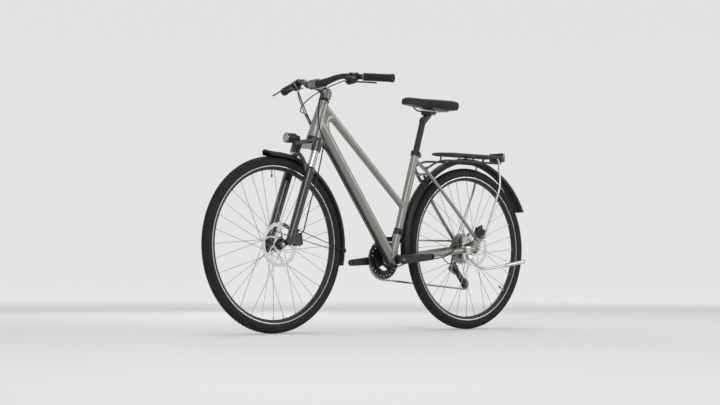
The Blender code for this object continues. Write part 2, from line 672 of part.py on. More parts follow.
def rim_piece(name, axle, valve_angle):
    wall = RIM_HALF_WIDTH - RIM_WALL
    outline = [(-RIM_HALF_WIDTH, RIM_EDGE_RADIUS), (-wall, RIM_EDGE_RADIUS), (-wall, RIM_BED_RADIUS),
               (wall, RIM_BED_RADIUS), (wall, RIM_EDGE_RADIUS), (RIM_HALF_WIDTH, RIM_EDGE_RADIUS),
               (RIM_HALF_WIDTH, RIM_BED_RADIUS - 0.003), (RIM_HALF_WIDTH * 0.6, RIM_INNER_RADIUS),
               (-RIM_HALF_WIDTH * 0.6, RIM_INNER_RADIUS), (-RIM_HALF_WIDTH, RIM_BED_RADIUS - 0.003)]
    made = turned(name, outline, facing(axle, Y_AXIS), WHEEL_STEPS, closed=True)
    valve = rod("valve", wheel_point(axle, RIM_INNER_RADIUS - VALVE_LENGTH, valve_angle),
                wheel_point(axle, RIM_INNER_RADIUS + 0.004, valve_angle), 0.0030, 6)
    return named(join(made, valve), name, BLACK_SATIN)


def hub_piece(name, axle, outline, flanges):
    """Turned hub with its laced spokes, which end at the rim."""
    hub = turned(name, outline, facing(axle, Y_AXIS), 12, closed=True)
    spokes = []
    per_flange = SPOKE_COUNT // 2
    swing = 2 * math.pi * SPOKE_CROSSES / per_flange
    reach = RIM_INNER_RADIUS * math.cos(math.pi / WHEEL_STEPS) - SEAT_GAP
    for flange_index, flange in enumerate(flanges):
        for number in range(per_flange):
            lean = 1 if number % 2 else -1
            hub_turn = 2 * math.pi * (number + 0.5 * flange_index) / per_flange
            rim_turn = hub_turn + lean * swing
            start = axle + Vector((SPOKE_HOLE_RADIUS * math.cos(hub_turn), flange + lean * SPOKE_HEAD_OFFSET,
                                   SPOKE_HOLE_RADIUS * math.sin(hub_turn)))
            rim_side = SPOKE_RIM_OFFSET if flange > 0 else -SPOKE_RIM_OFFSET
            end = axle + Vector((reach * math.cos(rim_turn), rim_side, reach * math.sin(rim_turn)))
            spokes.append(rod("spoke", start, end, SPOKE_RADIUS, 3))
    bunch = spokes[0]
    shape = bmesh.new()
    for spoke in spokes:
        shape.from_mesh(spoke.data)
    for spoke in spokes[1:]:
        bpy.data.objects.remove(spoke, do_unlink=True)
    shape.to_mesh(bunch.data)
    shape.free()
    return named(join(hub, bunch), name, DARK_STEEL)


def hub_outline(left, right, rotor_side, flange_left, flange_right, bore):
    """Outline of a disc hub as (y, radius) points: rotor seat, two flanges and shell."""
    seat_edge = rotor_side + ROTOR_HALF + SEAT_GAP
    waist = HUB_SHELL_RADIUS
    return [(left, bore), (left, 0.0095), (rotor_side - 0.0014, ROTOR_SEAT_RADIUS),
            (seat_edge, ROTOR_SEAT_RADIUS), (seat_edge, FLANGE_RADIUS),
            (flange_left + FLANGE_HALF, FLANGE_RADIUS), (flange_left + FLANGE_HALF, waist),
            (flange_right - FLANGE_HALF, waist), (flange_right - FLANGE_HALF, FLANGE_RADIUS),
            (flange_right + FLANGE_HALF, FLANGE_RADIUS), (right, 0.0130), (right, bore)]


def rotor_piece(name, axle, rotor_side, radius):
    """Brake rotor: a braking ring, leaning arms and a centre ring."""
    place = facing(axle + rotor_side * Y_AXIS, Y_AXIS)
    rim_outline = [(-ROTOR_HALF, radius - 0.0155), (-ROTOR_HALF, radius), (ROTOR_HALF, radius),
                   (ROTOR_HALF, radius - 0.0155)]
    ring = turned(name, rim_outline, place, 20, closed=True)
    centre_outline = [(-ROTOR_HALF, ROTOR_BORE), (-ROTOR_HALF, 0.0310), (ROTOR_HALF, 0.0310),
                      (ROTOR_HALF, ROTOR_BORE)]
    parts = [turned("centre", centre_outline, place, 14, closed=True)]
    for number in range(6):
        turn = 60.0 * number + 8.0
        root = wheel_point(axle, 0.0285, turn)
        tip = wheel_point(axle, radius - 0.012, turn + 32.0)
        along = (tip - root).normalized()
        lateral = Vector((-along.z, 0.0, along.x)) * 0.0032
        corners = (root - lateral, tip - lateral, tip + lateral, root + lateral)
        outline = [(point.x, point.z) for point in corners]
        arm_half = ROTOR_HALF - 0.0002
        parts.append(plate("arm", outline, rotor_side - arm_half, rotor_side + arm_half))
    return named(join(ring, *parts), name, STEEL)


front_tyre = tyre_piece("front_tyre", FRONT_AXLE)
rear_tyre = tyre_piece("rear_tyre", REAR_AXLE)
front_rim = rim_piece("front_rim", FRONT_AXLE, VALVE_ANGLE)
rear_rim = rim_piece("rear_rim", REAR_AXLE, VALVE_ANGLE - 130.0)
front_hub = hub_piece("front_hub_spokes", FRONT_AXLE,
                      hub_outline(-FRONT_HUB_HALF, FRONT_HUB_HALF, FRONT_ROTOR_SIDE, FRONT_FLANGE_LEFT,
                                  FRONT_FLANGE_RIGHT, FRONT_AXLE_RADIUS + SEAT_GAP),
                      (FRONT_FLANGE_LEFT, FRONT_FLANGE_RIGHT))
rear_hub = hub_piece("rear_hub_spokes", REAR_AXLE,
                     hub_outline(REAR_HUB_LEFT, REAR_HUB_RIGHT, REAR_ROTOR_SIDE, REAR_FLANGE_LEFT,
                                 REAR_FLANGE_RIGHT, REAR_AXLE_RADIUS + SEAT_GAP),
                     (REAR_FLANGE_LEFT, REAR_FLANGE_RIGHT))
front_rotor = rotor_piece("front_rotor", FRONT_AXLE, FRONT_ROTOR_SIDE, FRONT_ROTOR_RADIUS)
rear_rotor = rotor_piece("rear_rotor", REAR_AXLE, REAR_ROTOR_SIDE, REAR_ROTOR_RADIUS)


def axle_piece(name, axle, radius, inner_left, inner_right, faces, outer_face, nut_radius):
    """Axle with the lock nuts inside the dropouts and the end nuts outside them."""
    left, right = faces
    end = outer_face + SEAT_GAP + 0.0080
    outline = [(-end, 0.0), (-end, nut_radius),
               (-outer_face - SEAT_GAP, nut_radius), (-outer_face - SEAT_GAP, radius),
               (left + SEAT_GAP, radius), (left + SEAT_GAP, nut_radius), (inner_left, nut_radius),
               (inner_left, radius), (inner_right, radius), (inner_right, nut_radius),
               (right - SEAT_GAP, nut_radius), (right - SEAT_GAP, radius), (outer_face + SEAT_GAP, radius),
               (outer_face + SEAT_GAP, nut_radius), (end, nut_radius), (end, 0.0)]
    made = turned(name, outline, facing(axle, Y_AXIS), 10)
    return named(made, name, SILVER)


CASSETTE_END = 0.0655
front_axle = axle_piece("front_axle", FRONT_AXLE, FRONT_AXLE_RADIUS, -FRONT_HUB_HALF - SEAT_GAP,
                        FRONT_HUB_HALF + SEAT_GAP, (-FORK_FACE, FORK_FACE),
                        FORK_FACE + FORK_TAB_THICKNESS, 0.0085)
rear_axle = axle_piece("rear_axle", REAR_AXLE, REAR_AXLE_RADIUS, REAR_HUB_LEFT - SEAT_GAP,
                       CASSETTE_END + SEAT_GAP, (-REAR_SPACING_HALF, REAR_SPACING_HALF),
                       REAR_SPACING_HALF + DROPOUT_THICKNESS, 0.0090)


# Brake calipers
def caliper_piece(name, axle, degrees, near, far, y_outer, y_inner, rotor_side, rotor_radius):
    """Caliper body straddling a rotor, with a slot that the rotor runs in."""
    turn = math.radians(degrees)
    radial = Vector((math.cos(turn), 0.0, math.sin(turn)))
    tangent = Vector((-math.sin(turn), 0.0, math.cos(turn)))
    centre = axle + (near + far) / 2 * radial + (y_outer + y_inner) / 2 * Y_AXIS
    body = block(name, centre, (far - near, abs(y_outer - y_inner), 0.042), (radial, Y_AXIS, tangent))
    piston = centre + 0.001 * radial
    cap = rod("piston_cap", piston, piston + (abs(y_outer - y_inner) / 2 + 0.003) * Y_AXIS, 0.0125, 12)
    slot_to = rotor_radius + 0.0030
    slot_centre = axle + (near - 0.02 + slot_to) / 2 * radial + rotor_side * Y_AXIS
    slot = block("slot", slot_centre, (slot_to - near + 0.02, 2 * (ROTOR_HALF + RUN_GAP), 0.060),
                 (radial, Y_AXIS, tangent))
    return named(cut(join(body, cap), slot), name, BLACK_SATIN)


REAR_CALIPER_ANGLE = 66.0
front_caliper = caliper_piece("front_caliper", FRONT_AXLE, CALIPER_ANGLE, CALIPER_FROM, CALIPER_TO,
                              CALIPER_SIDE_FACE, CALIPER_INNER_FACE, FRONT_ROTOR_SIDE, FRONT_ROTOR_RADIUS)
rear_caliper = caliper_piece("rear_caliper", REAR_AXLE, REAR_CALIPER_ANGLE, 0.052, 0.096,
                             -REAR_SPACING_HALF - 0.0002, -0.0405, REAR_ROTOR_SIDE, REAR_ROTOR_RADIUS)


# Mudguards
def guard_shell(name, axle, radius_at, first, last, steps):
    """Curved guard of crowned section, swept about an axle between two angles."""
    lean = math.radians(78.0)
    outer = []
    inner = []
    for index in range(5):
        turn = -lean + 2 * lean * index / 4
        flat = 1 - math.cos(turn)
        drop = GUARD_DEPTH * flat / (1 - math.cos(lean))
        side = GUARD_HALF * math.sin(turn) / math.sin(lean)
        outer.append((side, -drop))
        inner.append((side * (1 - GUARD_WALL / GUARD_HALF), -drop - GUARD_WALL))
    section = outer + inner[::-1]
    shape = bmesh.new()
    rings = []
    for index in range(steps + 1):
        degrees = first + (last - first) * index / steps
        rings.append([shape.verts.new(wheel_point(axle, radius_at(degrees) + rise, degrees, side))
                      for side, rise in section])
    for one, two in zip(rings, rings[1:]):
        for index in range(len(section)):
            after = (index + 1) % len(section)
            shape.faces.new((one[index], one[after], two[after], two[index]))
    shape.faces.new(rings[0])
    shape.faces.new(rings[-1])
    return add_piece(name, shape)


def front_guard_radius(degrees):
    """Outer crown radius of the front mudguard, whose front lip turns up."""
    lift = max(0.0, degrees - (FRONT_GUARD_TO - 9.0)) / 9.0
    return FRONT_GUARD_RADIUS + 0.008 * lift ** 2


def radial_boss(axle, degrees, start, end, radius):
    return rod("boss", wheel_point(axle, start, degrees), wheel_point(axle, end, degrees), radius, 8)


def angle_about(axle, point):
    return math.degrees(math.atan2(point.z - axle.z, point.x - axle.x))


GUARD_ROD = 0.0016
GUARD_ROD_ANGLE = -3.0


def front_guard_piece():
    shell = guard_shell("front_mudguard", FRONT_AXLE, front_guard_radius, FRONT_GUARD_FROM,
                        FRONT_GUARD_TO, 16)
    arch_angle = angle_about(FRONT_AXLE, ARCH_TOP)
    arch_reach = (ARCH_TOP - FRONT_AXLE).length - ARCH_RADIUS - SEAT_GAP
    parts = [radial_boss(FRONT_AXLE, arch_angle, FRONT_GUARD_RADIUS - 0.001, arch_reach, 0.006)]
    edge = FRONT_GUARD_RADIUS - GUARD_DEPTH + 0.004
    for side in (LEFT, RIGHT):
        anchor = wheel_point(FRONT_AXLE, edge, GUARD_ROD_ANGLE, side * (GUARD_HALF + 0.0006))
        eye = Vector((STAY_EYE.x, side * (STAY_EYE_SIDE + SEAT_GAP), STAY_EYE.z))
        parts.append(rod("stay", eye + side * 0.0029 * Y_AXIS, anchor, GUARD_ROD, 5))
        parts.append(rod("eye", eye, eye + side * 0.0038 * Y_AXIS, 0.0050, 8))
    return named(join(shell, *parts), "front_mudguard", BLACK_PLASTIC)


RACK_ABOVE_GUARD = 0.0064
RACK_HEIGHT = REAR_AXLE.z + REAR_GUARD_TAIL_RADIUS + RACK_ABOVE_GUARD
RACK_CROSS_RADIUS = 0.0040


def rear_guard_piece():
    shell = guard_shell("rear_mudguard", REAR_AXLE, rear_guard_radius, REAR_GUARD_FROM, REAR_GUARD_TO, 20)
    parts = []
    for point, radius in ((STAY_BRIDGE, STAY_BRIDGE_RADIUS), (LOW_BRIDGE, LOW_BRIDGE_RADIUS)):
        degrees = angle_about(REAR_AXLE, point) % 360
        reach = (point - REAR_AXLE).length - radius - SEAT_GAP
        parts.append(radial_boss(REAR_AXLE, degrees, rear_guard_radius(degrees) - 0.001, reach, 0.005))
    rack_foot = RACK_HEIGHT - RACK_CROSS_RADIUS * math.cos(math.pi / 4) - SEAT_GAP - REAR_AXLE.z
    parts.append(radial_boss(REAR_AXLE, 90.0, rear_guard_radius(90.0) - 0.001, rack_foot, 0.006))
    return named(join(shell, *parts), "rear_mudguard", BLACK_PLASTIC)


front_mudguard = front_guard_piece()
rear_mudguard = rear_guard_piece()

# Cassette, chainrings, cranks and bottom bracket
CASSETTE_START = 0.0258
CASSETTE_CORE = 0.0175
COG_TOP_SIDE = CHAIN_SIDE + COG_IN_USE * COG_SPACING
TOOTH_HEIGHT = 0.0022
RING_HOLE_RADIUS = 0.0460
RING_RIVET_CIRCLE = 0.0520
SPIDER_SIDE = CHAIN_SIDE + RING_HALF + SEAT_GAP
SPIDER_THICKNESS = 0.0048
BB_UNIT_HALF = 0.0375
SPINDLE_LEFT_END = -0.0718
CRANK_TIP = Vector((math.cos(CRANK_TILT), 0.0, math.sin(CRANK_TILT))) * CRANK_LENGTH
PEDAL_HOLE_RADIUS = 0.0065


def cassette_piece():
    """Nine cogs on one body, largest nearest the wheel."""
    bore = REAR_AXLE_RADIUS + SEAT_GAP
    outline = [(CASSETTE_START, bore), (CASSETTE_START, CASSETTE_CORE)]
    for index in range(len(COG_TEETH) - 1, -1, -1):
        side = COG_TOP_SIDE - index * COG_SPACING
        tip = pitch_radius(COG_TEETH[index]) + TOOTH_HEIGHT
        outline += [(side - COG_HALF, CASSETTE_CORE), (side - COG_HALF, tip), (side + COG_HALF, tip),
                    (side + COG_HALF, CASSETTE_CORE)]
    outline += [(CASSETTE_END, CASSETTE_CORE - 0.002), (CASSETTE_END, bore)]
    made = turned("cassette", outline, facing(REAR_AXLE, Y_AXIS), 10, closed=True)
    return named(made, "cassette", STEEL)


def ring_disc(teeth, side, steps):
    tip = pitch_radius(teeth) + TOOTH_HEIGHT
    outline = [(side - RING_HALF, RING_HOLE_RADIUS), (side - RING_HALF, tip), (side + RING_HALF, tip),
               (side + RING_HALF, RING_HOLE_RADIUS)]
    return turned("ring", outline, facing(BB, Y_AXIS), steps, closed=True)


def chainrings_piece():
    """Two riveted chainrings."""
    parts = [ring_disc(INNER_RING_TEETH, CHAIN_SIDE - RING_SPACING, 16)]
    for number in range(4):
        spot = wheel_point(BB, RING_RIVET_CIRCLE, 90.0 * number + 40.0)
        parts.append(rod("rivet", spot + (CHAIN_SIDE - RING_SPACING) * Y_AXIS, spot + CHAIN_SIDE * Y_AXIS,
                         0.0040, 6))
    return named(join(ring_disc(RING_TEETH, CHAIN_SIDE, 24), *parts), "chainrings", DARK_STEEL)


def crank_arm(name, side, tip):
    """Forged arm with its pedal hole; it tapers from the spindle to the pedal."""
    end = BB + tip
    outline = hull_outline([(BB.x, BB.z, 0.0195), (end.x, end.z, 0.0135)], 12)
    inner = side * CRANK_FACE
    outer = side * (CRANK_FACE + CRANK_THICKNESS)
    return plate(name, outline, min(inner, outer), max(inner, outer))


def pedal_hole(side, tip):
    return rod("pedal_hole", BB + tip + side * 0.050 * Y_AXIS, BB + tip + side * 0.090 * Y_AXIS,
               PEDAL_HOLE_RADIUS, 10)


def crank_right_piece():
    arm = crank_arm("crank_right", RIGHT, -CRANK_TIP)
    parts = [rod("hub", BB + (SPIDER_SIDE - 0.002) * Y_AXIS,
                 BB + (CRANK_FACE + CRANK_THICKNESS - 0.001) * Y_AXIS, 0.0185, 14),
             rod("spindle", BB + SPINDLE_LEFT_END * Y_AXIS, BB + 0.060 * Y_AXIS, SPINDLE_RADIUS, 12)]
    star = []
    for number in range(4):
        middle = 90.0 * number + 40.0
        for turn, radius in ((middle - 45.0, 0.0230), (middle - 8.0, 0.0575), (middle + 8.0, 0.0575)):
            spot = wheel_point(BB, radius, turn)
            star.append((spot.x, spot.z))
    parts.append(plate("spider", star, SPIDER_SIDE, SPIDER_SIDE + SPIDER_THICKNESS))
    return named(cut(join(arm, *parts), pedal_hole(RIGHT, -CRANK_TIP)), "crank_right", BLACK_SATIN)


def crank_left_piece():
    arm = crank_arm("crank_left", LEFT, CRANK_TIP)
    bore = rod("spindle_bore", BB - 0.050 * Y_AXIS, BB + (SPINDLE_LEFT_END - SEAT_GAP) * Y_AXIS,
               SPINDLE_RADIUS + SEAT_GAP, 12)
    return named(cut(arm, pedal_hole(LEFT, CRANK_TIP), bore), "crank_left", BLACK_SATIN)


def bottom_bracket_piece():
    bore = running_bore(SPINDLE_RADIUS, 14)
    edge = BB_SHELL_HALF + SEAT_GAP
    outline = [(-BB_UNIT_HALF, bore), (-BB_UNIT_HALF, BB_SHELL_RADIUS), (-edge, BB_SHELL_RADIUS),
               (-edge, BB_UNIT_RADIUS), (edge, BB_UNIT_RADIUS), (edge, BB_SHELL_RADIUS),
               (BB_UNIT_HALF, BB_SHELL_RADIUS), (BB_UNIT_HALF, bore)]
    made = turned("bottom_bracket", outline, facing(BB, Y_AXIS), 14, closed=True)
    return named(made, "bottom_bracket", BLACK_SATIN)


cassette = cassette_piece()
chainrings = chainrings_piece()
crank_right = crank_right_piece()
crank_left = crank_left_piece()
bottom_bracket = bottom_bracket_piece()

# Chain and derailleurs
GUIDE = REAR_AXLE + GUIDE_PULLEY
TENSION = REAR_AXLE + TENSION_PULLEY
PULLEY_TIP = pitch_radius(PULLEY_TEETH) + TOOTH_HEIGHT
PULLEY_AXLE_RADIUS = 0.0025
CAGE_GAP = 0.0045
CAGE_THICKNESS = 0.0015
PIN_COUNT = 4
CHAIN_WHEELS = ((REAR_AXLE, COG_TEETH[COG_IN_USE], 1), (BB, RING_TEETH, 1), (TENSION, PULLEY_TEETH, 1),
                (GUIDE, PULLEY_TEETH, -1))


def chain_runs():
    """Straight runs of the chain as (start, end) points between its wheels."""
    runs = []
    for index, (centre, teeth, turn) in enumerate(CHAIN_WHEELS):
        other, other_teeth, other_turn = CHAIN_WHEELS[(index + 1) % len(CHAIN_WHEELS)]
        gap = other - centre
        offset = other_turn * pitch_radius(other_teeth) - turn * pitch_radius(teeth)
        lean = math.atan2(gap.z, gap.x) + math.acos(offset / gap.length)
        normal = Vector((math.cos(lean), 0.0, math.sin(lean)))
        runs.append((centre - turn * pitch_radius(teeth) * normal,
                     other - other_turn * pitch_radius(other_teeth) * normal))
    return runs


def chain_path():
    """Closed path of the roller centres round the four wheels."""
    runs = chain_runs()
    path = []
    for index, (centre, teeth, turn) in enumerate(CHAIN_WHEELS):
        arrive = runs[index - 1][1] - centre
        leave = runs[index][0] - centre
        first = math.atan2(arrive.z, arrive.x)
        swing = (math.atan2(leave.z, leave.x) - first) * turn % (2 * math.pi)
        steps = max(2, round(math.degrees(swing) / (18.0 if teeth > 20 else 30.0)))
        radius = pitch_radius(teeth)
        for step in range(steps + 1):
            angle = first + turn * swing * step / steps
            path.append(centre + radius * Vector((math.cos(angle), 0.0, math.sin(angle))))
    return path


def chain_piece():
    """Two rows of side plates along the whole loop, joined by pins on the straight runs."""
    path = chain_path()
    strips = []
    for side in (-1, 1):
        shape = bmesh.new()
        rings = []
        for index, point in enumerate(path):
            along = (path[(index + 1) % len(path)] - path[index - 1]).normalized()
            out = Vector((along.z, 0.0, -along.x)) * CHAIN_PLATE_HALF
            near = point + (CHAIN_SIDE + side * CHAIN_INNER) * Y_AXIS
            far = point + (CHAIN_SIDE + side * CHAIN_OUTER) * Y_AXIS
            rings.append([shape.verts.new(spot) for spot in (near - out, near + out, far + out, far - out)])
        for one, two in zip(rings, rings[1:] + rings[:1]):
            for step in range(4):
                after = (step + 1) % 4
                shape.faces.new((one[step], one[after], two[after], two[step]))
        strips.append(add_piece("chain", shape))
    pins = []
    runs = chain_runs()
    for start, end in (runs[0], runs[1]):
        for number in range(PIN_COUNT):
            spot = start.lerp(end, (number + 1) / (PIN_COUNT + 1)) + CHAIN_SIDE * Y_AXIS
            pins.append(rod("pin", spot - 0.0023 * Y_AXIS, spot + 0.0023 * Y_AXIS, 0.0030, 6))
    return named(join(strips[0], strips[1], *pins), "chain", DARK_STEEL)


def pulley_piece(name, centre):
    outline = [(-RING_HALF, PULLEY_BORE), (-RING_HALF, PULLEY_TIP), (RING_HALF, PULLEY_TIP),
               (RING_HALF, PULLEY_BORE)]
    made = turned(name, outline, facing(centre + CHAIN_SIDE * Y_AXIS, Y_AXIS), 14, closed=True)
    return named(made, name, BLACK_PLASTIC)


def cage_piece():
    """Pulley cage: two side plates and the pulleys' axles."""
    outline = hull_outline([(GUIDE.x, GUIDE.z, 0.0100), (TENSION.x, TENSION.z, 0.0120)], 10)
    inner = CHAIN_SIDE + CAGE_GAP
    outer_plate = plate("derailleur_cage", outline, inner, inner + CAGE_THICKNESS)
    inner = CHAIN_SIDE - CAGE_GAP - CAGE_THICKNESS
    parts = [plate("inner_plate", outline, inner, inner + CAGE_THICKNESS)]
    for centre in (GUIDE, TENSION):
        parts.append(rod("pulley_axle", centre + (inner + 0.0005) * Y_AXIS,
                         centre + (CHAIN_SIDE + CAGE_GAP + CAGE_THICKNESS - 0.0005) * Y_AXIS,
                         PULLEY_AXLE_RADIUS, 8))
    return named(join(outer_plate, *parts), "derailleur_cage", DARK_STEEL)


def rear_derailleur_piece():
    """Upper knuckle on the hanger, slanted body and lower knuckle over the cage."""
    hanger_face = DROPOUT_SIDE + 0.0025
    knuckle_start = HANGER_BOLT + (hanger_face + SEAT_GAP) * Y_AXIS
    knuckle = rod("rear_derailleur", knuckle_start, HANGER_BOLT + 0.0880 * Y_AXIS, 0.0125, 12)
    cage_face = CHAIN_SIDE + CAGE_GAP + CAGE_THICKNESS + SEAT_GAP
    parts = [rod("bolt", HANGER_BOLT + (hanger_face - 0.0050) * Y_AXIS, HANGER_BOLT + 0.0860 * Y_AXIS,
                 HANGER_BOLT_RADIUS, 10),
             rod("lower_knuckle", GUIDE + cage_face * Y_AXIS, GUIDE + 0.0780 * Y_AXIS, 0.0130, 12)]
    start = HANGER_BOLT + 0.0815 * Y_AXIS
    end = GUIDE + 0.0690 * Y_AXIS
    along = (end - start).normalized()
    across = along.cross(Y_AXIS).normalized()
    parts.append(block("link", (start + end) / 2, ((end - start).length, 0.0180, 0.0120),
                       (along, across, along.cross(across))))
    return named(join(knuckle, *parts), "rear_derailleur", BLACK_SATIN)


BAND_FOOT = 0.112
CAGE_ABOVE = 0.0086
BAND_HEIGHT = 0.024
BAND_BORE = SEAT_TUBE_RADIUS + SEAT_GAP


def front_derailleur_piece():
    """Clamp band on the seat tube and the cage that straddles the chain."""
    band = sleeve("front_derailleur", seat(BAND_FOOT), seat(BAND_FOOT + BAND_HEIGHT), 0.0208, BAND_BORE, 14)
    top = BB.z + pitch_radius(RING_TEETH) + CAGE_ABOVE
    corners = ((0.018, 0.0044), (0.096, 0.0064), (0.104, -0.0046), (0.100, -0.0226), (0.060, -0.0166),
               (0.020, -0.0116))
    outline = [(BB.x + x, top + z) for x, z in corners]
    parts = [plate("inner", outline, CHAIN_SIDE - 0.0061, CHAIN_SIDE - 0.0049),
             plate("outer", outline, CHAIN_SIDE + 0.0059, CHAIN_SIDE + 0.0071)]
    corners = ((0.030, 0.0009), (0.030, 0.0039), (0.086, 0.0054), (0.086, 0.0024))
    bridge = [(BB.x + x, top + z) for x, z in corners]
    parts.append(plate("bridge", bridge, CHAIN_SIDE - 0.0058, CHAIN_SIDE + 0.0068))
    arm_end = Vector((BB.x + 0.046, 0.0446, top + 0.0019))
    parts.append(rod("arm", seat(BAND_FOOT + 0.012, 0.002, 0.0222), arm_end, 0.0060, 8))
    return named(join(band, *parts), "front_derailleur", BLACK_SATIN)


chain = chain_piece()
guide_pulley = pulley_piece("guide_pulley", GUIDE)
tension_pulley = pulley_piece("tension_pulley", TENSION)
derailleur_cage = cage_piece()
rear_derailleur = rear_derailleur_piece()
front_derailleur = front_derailleur_piece()

# Saddle, seatpost and its clamp
POST_SHOWN = 0.155
POST_LENGTH = 0.355
POST_TOP = SEAT_TUBE_LENGTH + POST_SHOWN
POST_FOOT = POST_TOP - POST_LENGTH
RAIL_RADIUS = 0.0035
RAIL_SIDE = 0.022
CRADLE = seat(POST_TOP) + Vector((0.0303, 0.0, 0.0211))
RAIL_HEIGHT = CRADLE.z + 0.011
SADDLE_BASE_NOSE = 0.034
SADDLE_BASE_REAR = 0.015
SADDLE_STATIONS = ((-0.150, 0.0090, 0.0480), (-0.147, 0.0145, 0.0555), (-0.139, 0.0188, 0.0610),
                   (-0.123, 0.0218, 0.0635), (-0.070, 0.0266, 0.0635), (-0.044, 0.0310, 0.0630),
                   (-0.020, 0.0395, 0.0630), (0.002, 0.0502, 0.0635), (0.103, 0.0800, 0.0630),
                   (0.114, 0.0700, 0.0580), (0.120, 0.0560, 0.0520), (0.122, 0.0420, 0.0470))
SADDLE_SECTION = ((0.90, 0.00), (0.99, 0.22), (1.00, 0.45), (0.94, 0.68), (0.80, 0.84), (0.58, 0.94),
                  (0.30, 0.99))
CLAMP_FOOT = SEAT_TUBE_LENGTH - 0.019


def saddle_base(ahead):
    """Height of the saddle's base above the cradle, at a place ahead of or behind it."""
    nose = SADDLE_STATIONS[0][0]
    share = (ahead - nose) / (SADDLE_STATIONS[-1][0] - nose)
    return SADDLE_BASE_NOSE + (SADDLE_BASE_REAR - SADDLE_BASE_NOSE) * share


def saddle_piece():
    """Padded saddle as a closed crowned form with a flat base."""
    shape = bmesh.new()
    rings = []
    for x, half, top in SADDLE_STATIONS:
        foot = saddle_base(x)
        right = [(half * wide, foot + (top - foot) * high) for wide, high in SADDLE_SECTION]
        ring = right + [(0.0, top)] + [(-side, height) for side, height in right[::-1]]
        rings.append([shape.verts.new(CRADLE + Vector((x, side, height))) for side, height in ring])
    for one, two in zip(rings, rings[1:]):
        for index in range(len(one)):
            after = (index + 1) % len(one)
            shape.faces.new((one[index], one[after], two[after], two[index]))
    shape.faces.new(rings[0])
    shape.faces.new(rings[-1])
    return named(add_piece("saddle", shape), "saddle", SADDLE_COVER)


def rails_piece():
    """Two saddle rails joined at the nose, with both rear ends under the saddle's base."""
    under = SEAT_GAP + RAIL_RADIUS
    level = RAIL_HEIGHT - CRADLE.z
    half = [(0.087, 0.035, saddle_base(0.087) - under), (0.062, 0.031, level + 0.0015),
            (0.034, 0.0225, level), (-0.034, RAIL_SIDE, level), (-0.063, 0.0170, level + 0.0070),
            (-0.082, 0.0090, saddle_base(-0.082) - under - 0.0003)]
    path = [CRADLE + Vector(spot) for spot in half]
    path += [CRADLE + Vector((x, -side, height)) for x, side, height in half[::-1]]
    return named(swept("saddle_rails", path, RAIL_RADIUS, None, 6, up=Z_AXIS), "saddle_rails", DARK_STEEL)


def seatpost_piece():
    """Seatpost with the cradle under the saddle rails and the yoke above them."""
    post = rod("seatpost", seat(POST_FOOT), seat(POST_TOP), POST_RADIUS, 14)
    neck = seat(POST_TOP - 0.014)
    head = hull_outline([(neck.x, neck.z, 0.0130), (CRADLE.x, CRADLE.z - 0.005, 0.0100)], 10)
    cradle_top = RAIL_HEIGHT - RAIL_RADIUS - SEAT_GAP
    yoke_foot = RAIL_HEIGHT + RAIL_RADIUS + SEAT_GAP
    parts = [plate("head", head, -0.0115, 0.0115),
             block("cradle", Vector((CRADLE.x, 0.0, cradle_top - 0.0060)), (0.036, 0.056, 0.0120)),
             block("yoke", Vector((CRADLE.x, 0.0, yoke_foot + 0.0022)), (0.024, 0.054, 0.0044)),
             rod("bolt", CRADLE - 0.004 * Z_AXIS, Vector((CRADLE.x, 0.0, yoke_foot + 0.0020)), 0.0050, 8)]
    return named(join(post, *parts), "seatpost", BLACK_SATIN)


def seat_clamp_piece():
    """Collar round the top of the seat tube with its bolt lugs at the back."""
    top = SEAT_TUBE_LENGTH
    collar = rod("seat_clamp", seat(CLAMP_FOOT), seat(top + 0.0005), 0.0210, 14)
    lug = block("lug", seat((CLAMP_FOOT + top) / 2, 0.0235), (0.011, 0.018, top - CLAMP_FOOT - 0.003),
                (SEAT_UP.cross(Y_AXIS), Y_AXIS, SEAT_UP))
    bore = rod("bore", seat(CLAMP_FOOT - 0.02), seat(top + 0.02), SEAT_TUBE_RADIUS + SEAT_GAP, 14)
    slit = block("slit", seat((CLAMP_FOOT + top) / 2, 0.0300), (0.021, 0.0024, 0.040),
                 (SEAT_UP.cross(Y_AXIS), Y_AXIS, SEAT_UP))
    return named(cut(join(collar, lug), bore, slit), "seat_clamp", BLACK_SATIN)


saddle = saddle_piece()
saddle_rails = rails_piece()
seatpost = seatpost_piece()
seat_clamp = seat_clamp_piece()

# Rack, its strut and the rear lamp
RACK_ROD = 0.0050
LOWER_RAIL_HEIGHT = RACK_HEIGHT - 0.030
LOWER_RAIL_SIDE = 0.058
LOWER_RAIL_RADIUS = 0.0045
STRUT_RADIUS = 0.0050
STRUT_CROSS_HEIGHT = RACK_HEIGHT - RACK_ROD - SEAT_GAP - STRUT_RADIUS
RACK_END = REAR_AXLE.x + 0.1885
RACK_FRONT = REAR_AXLE.x - 0.1855


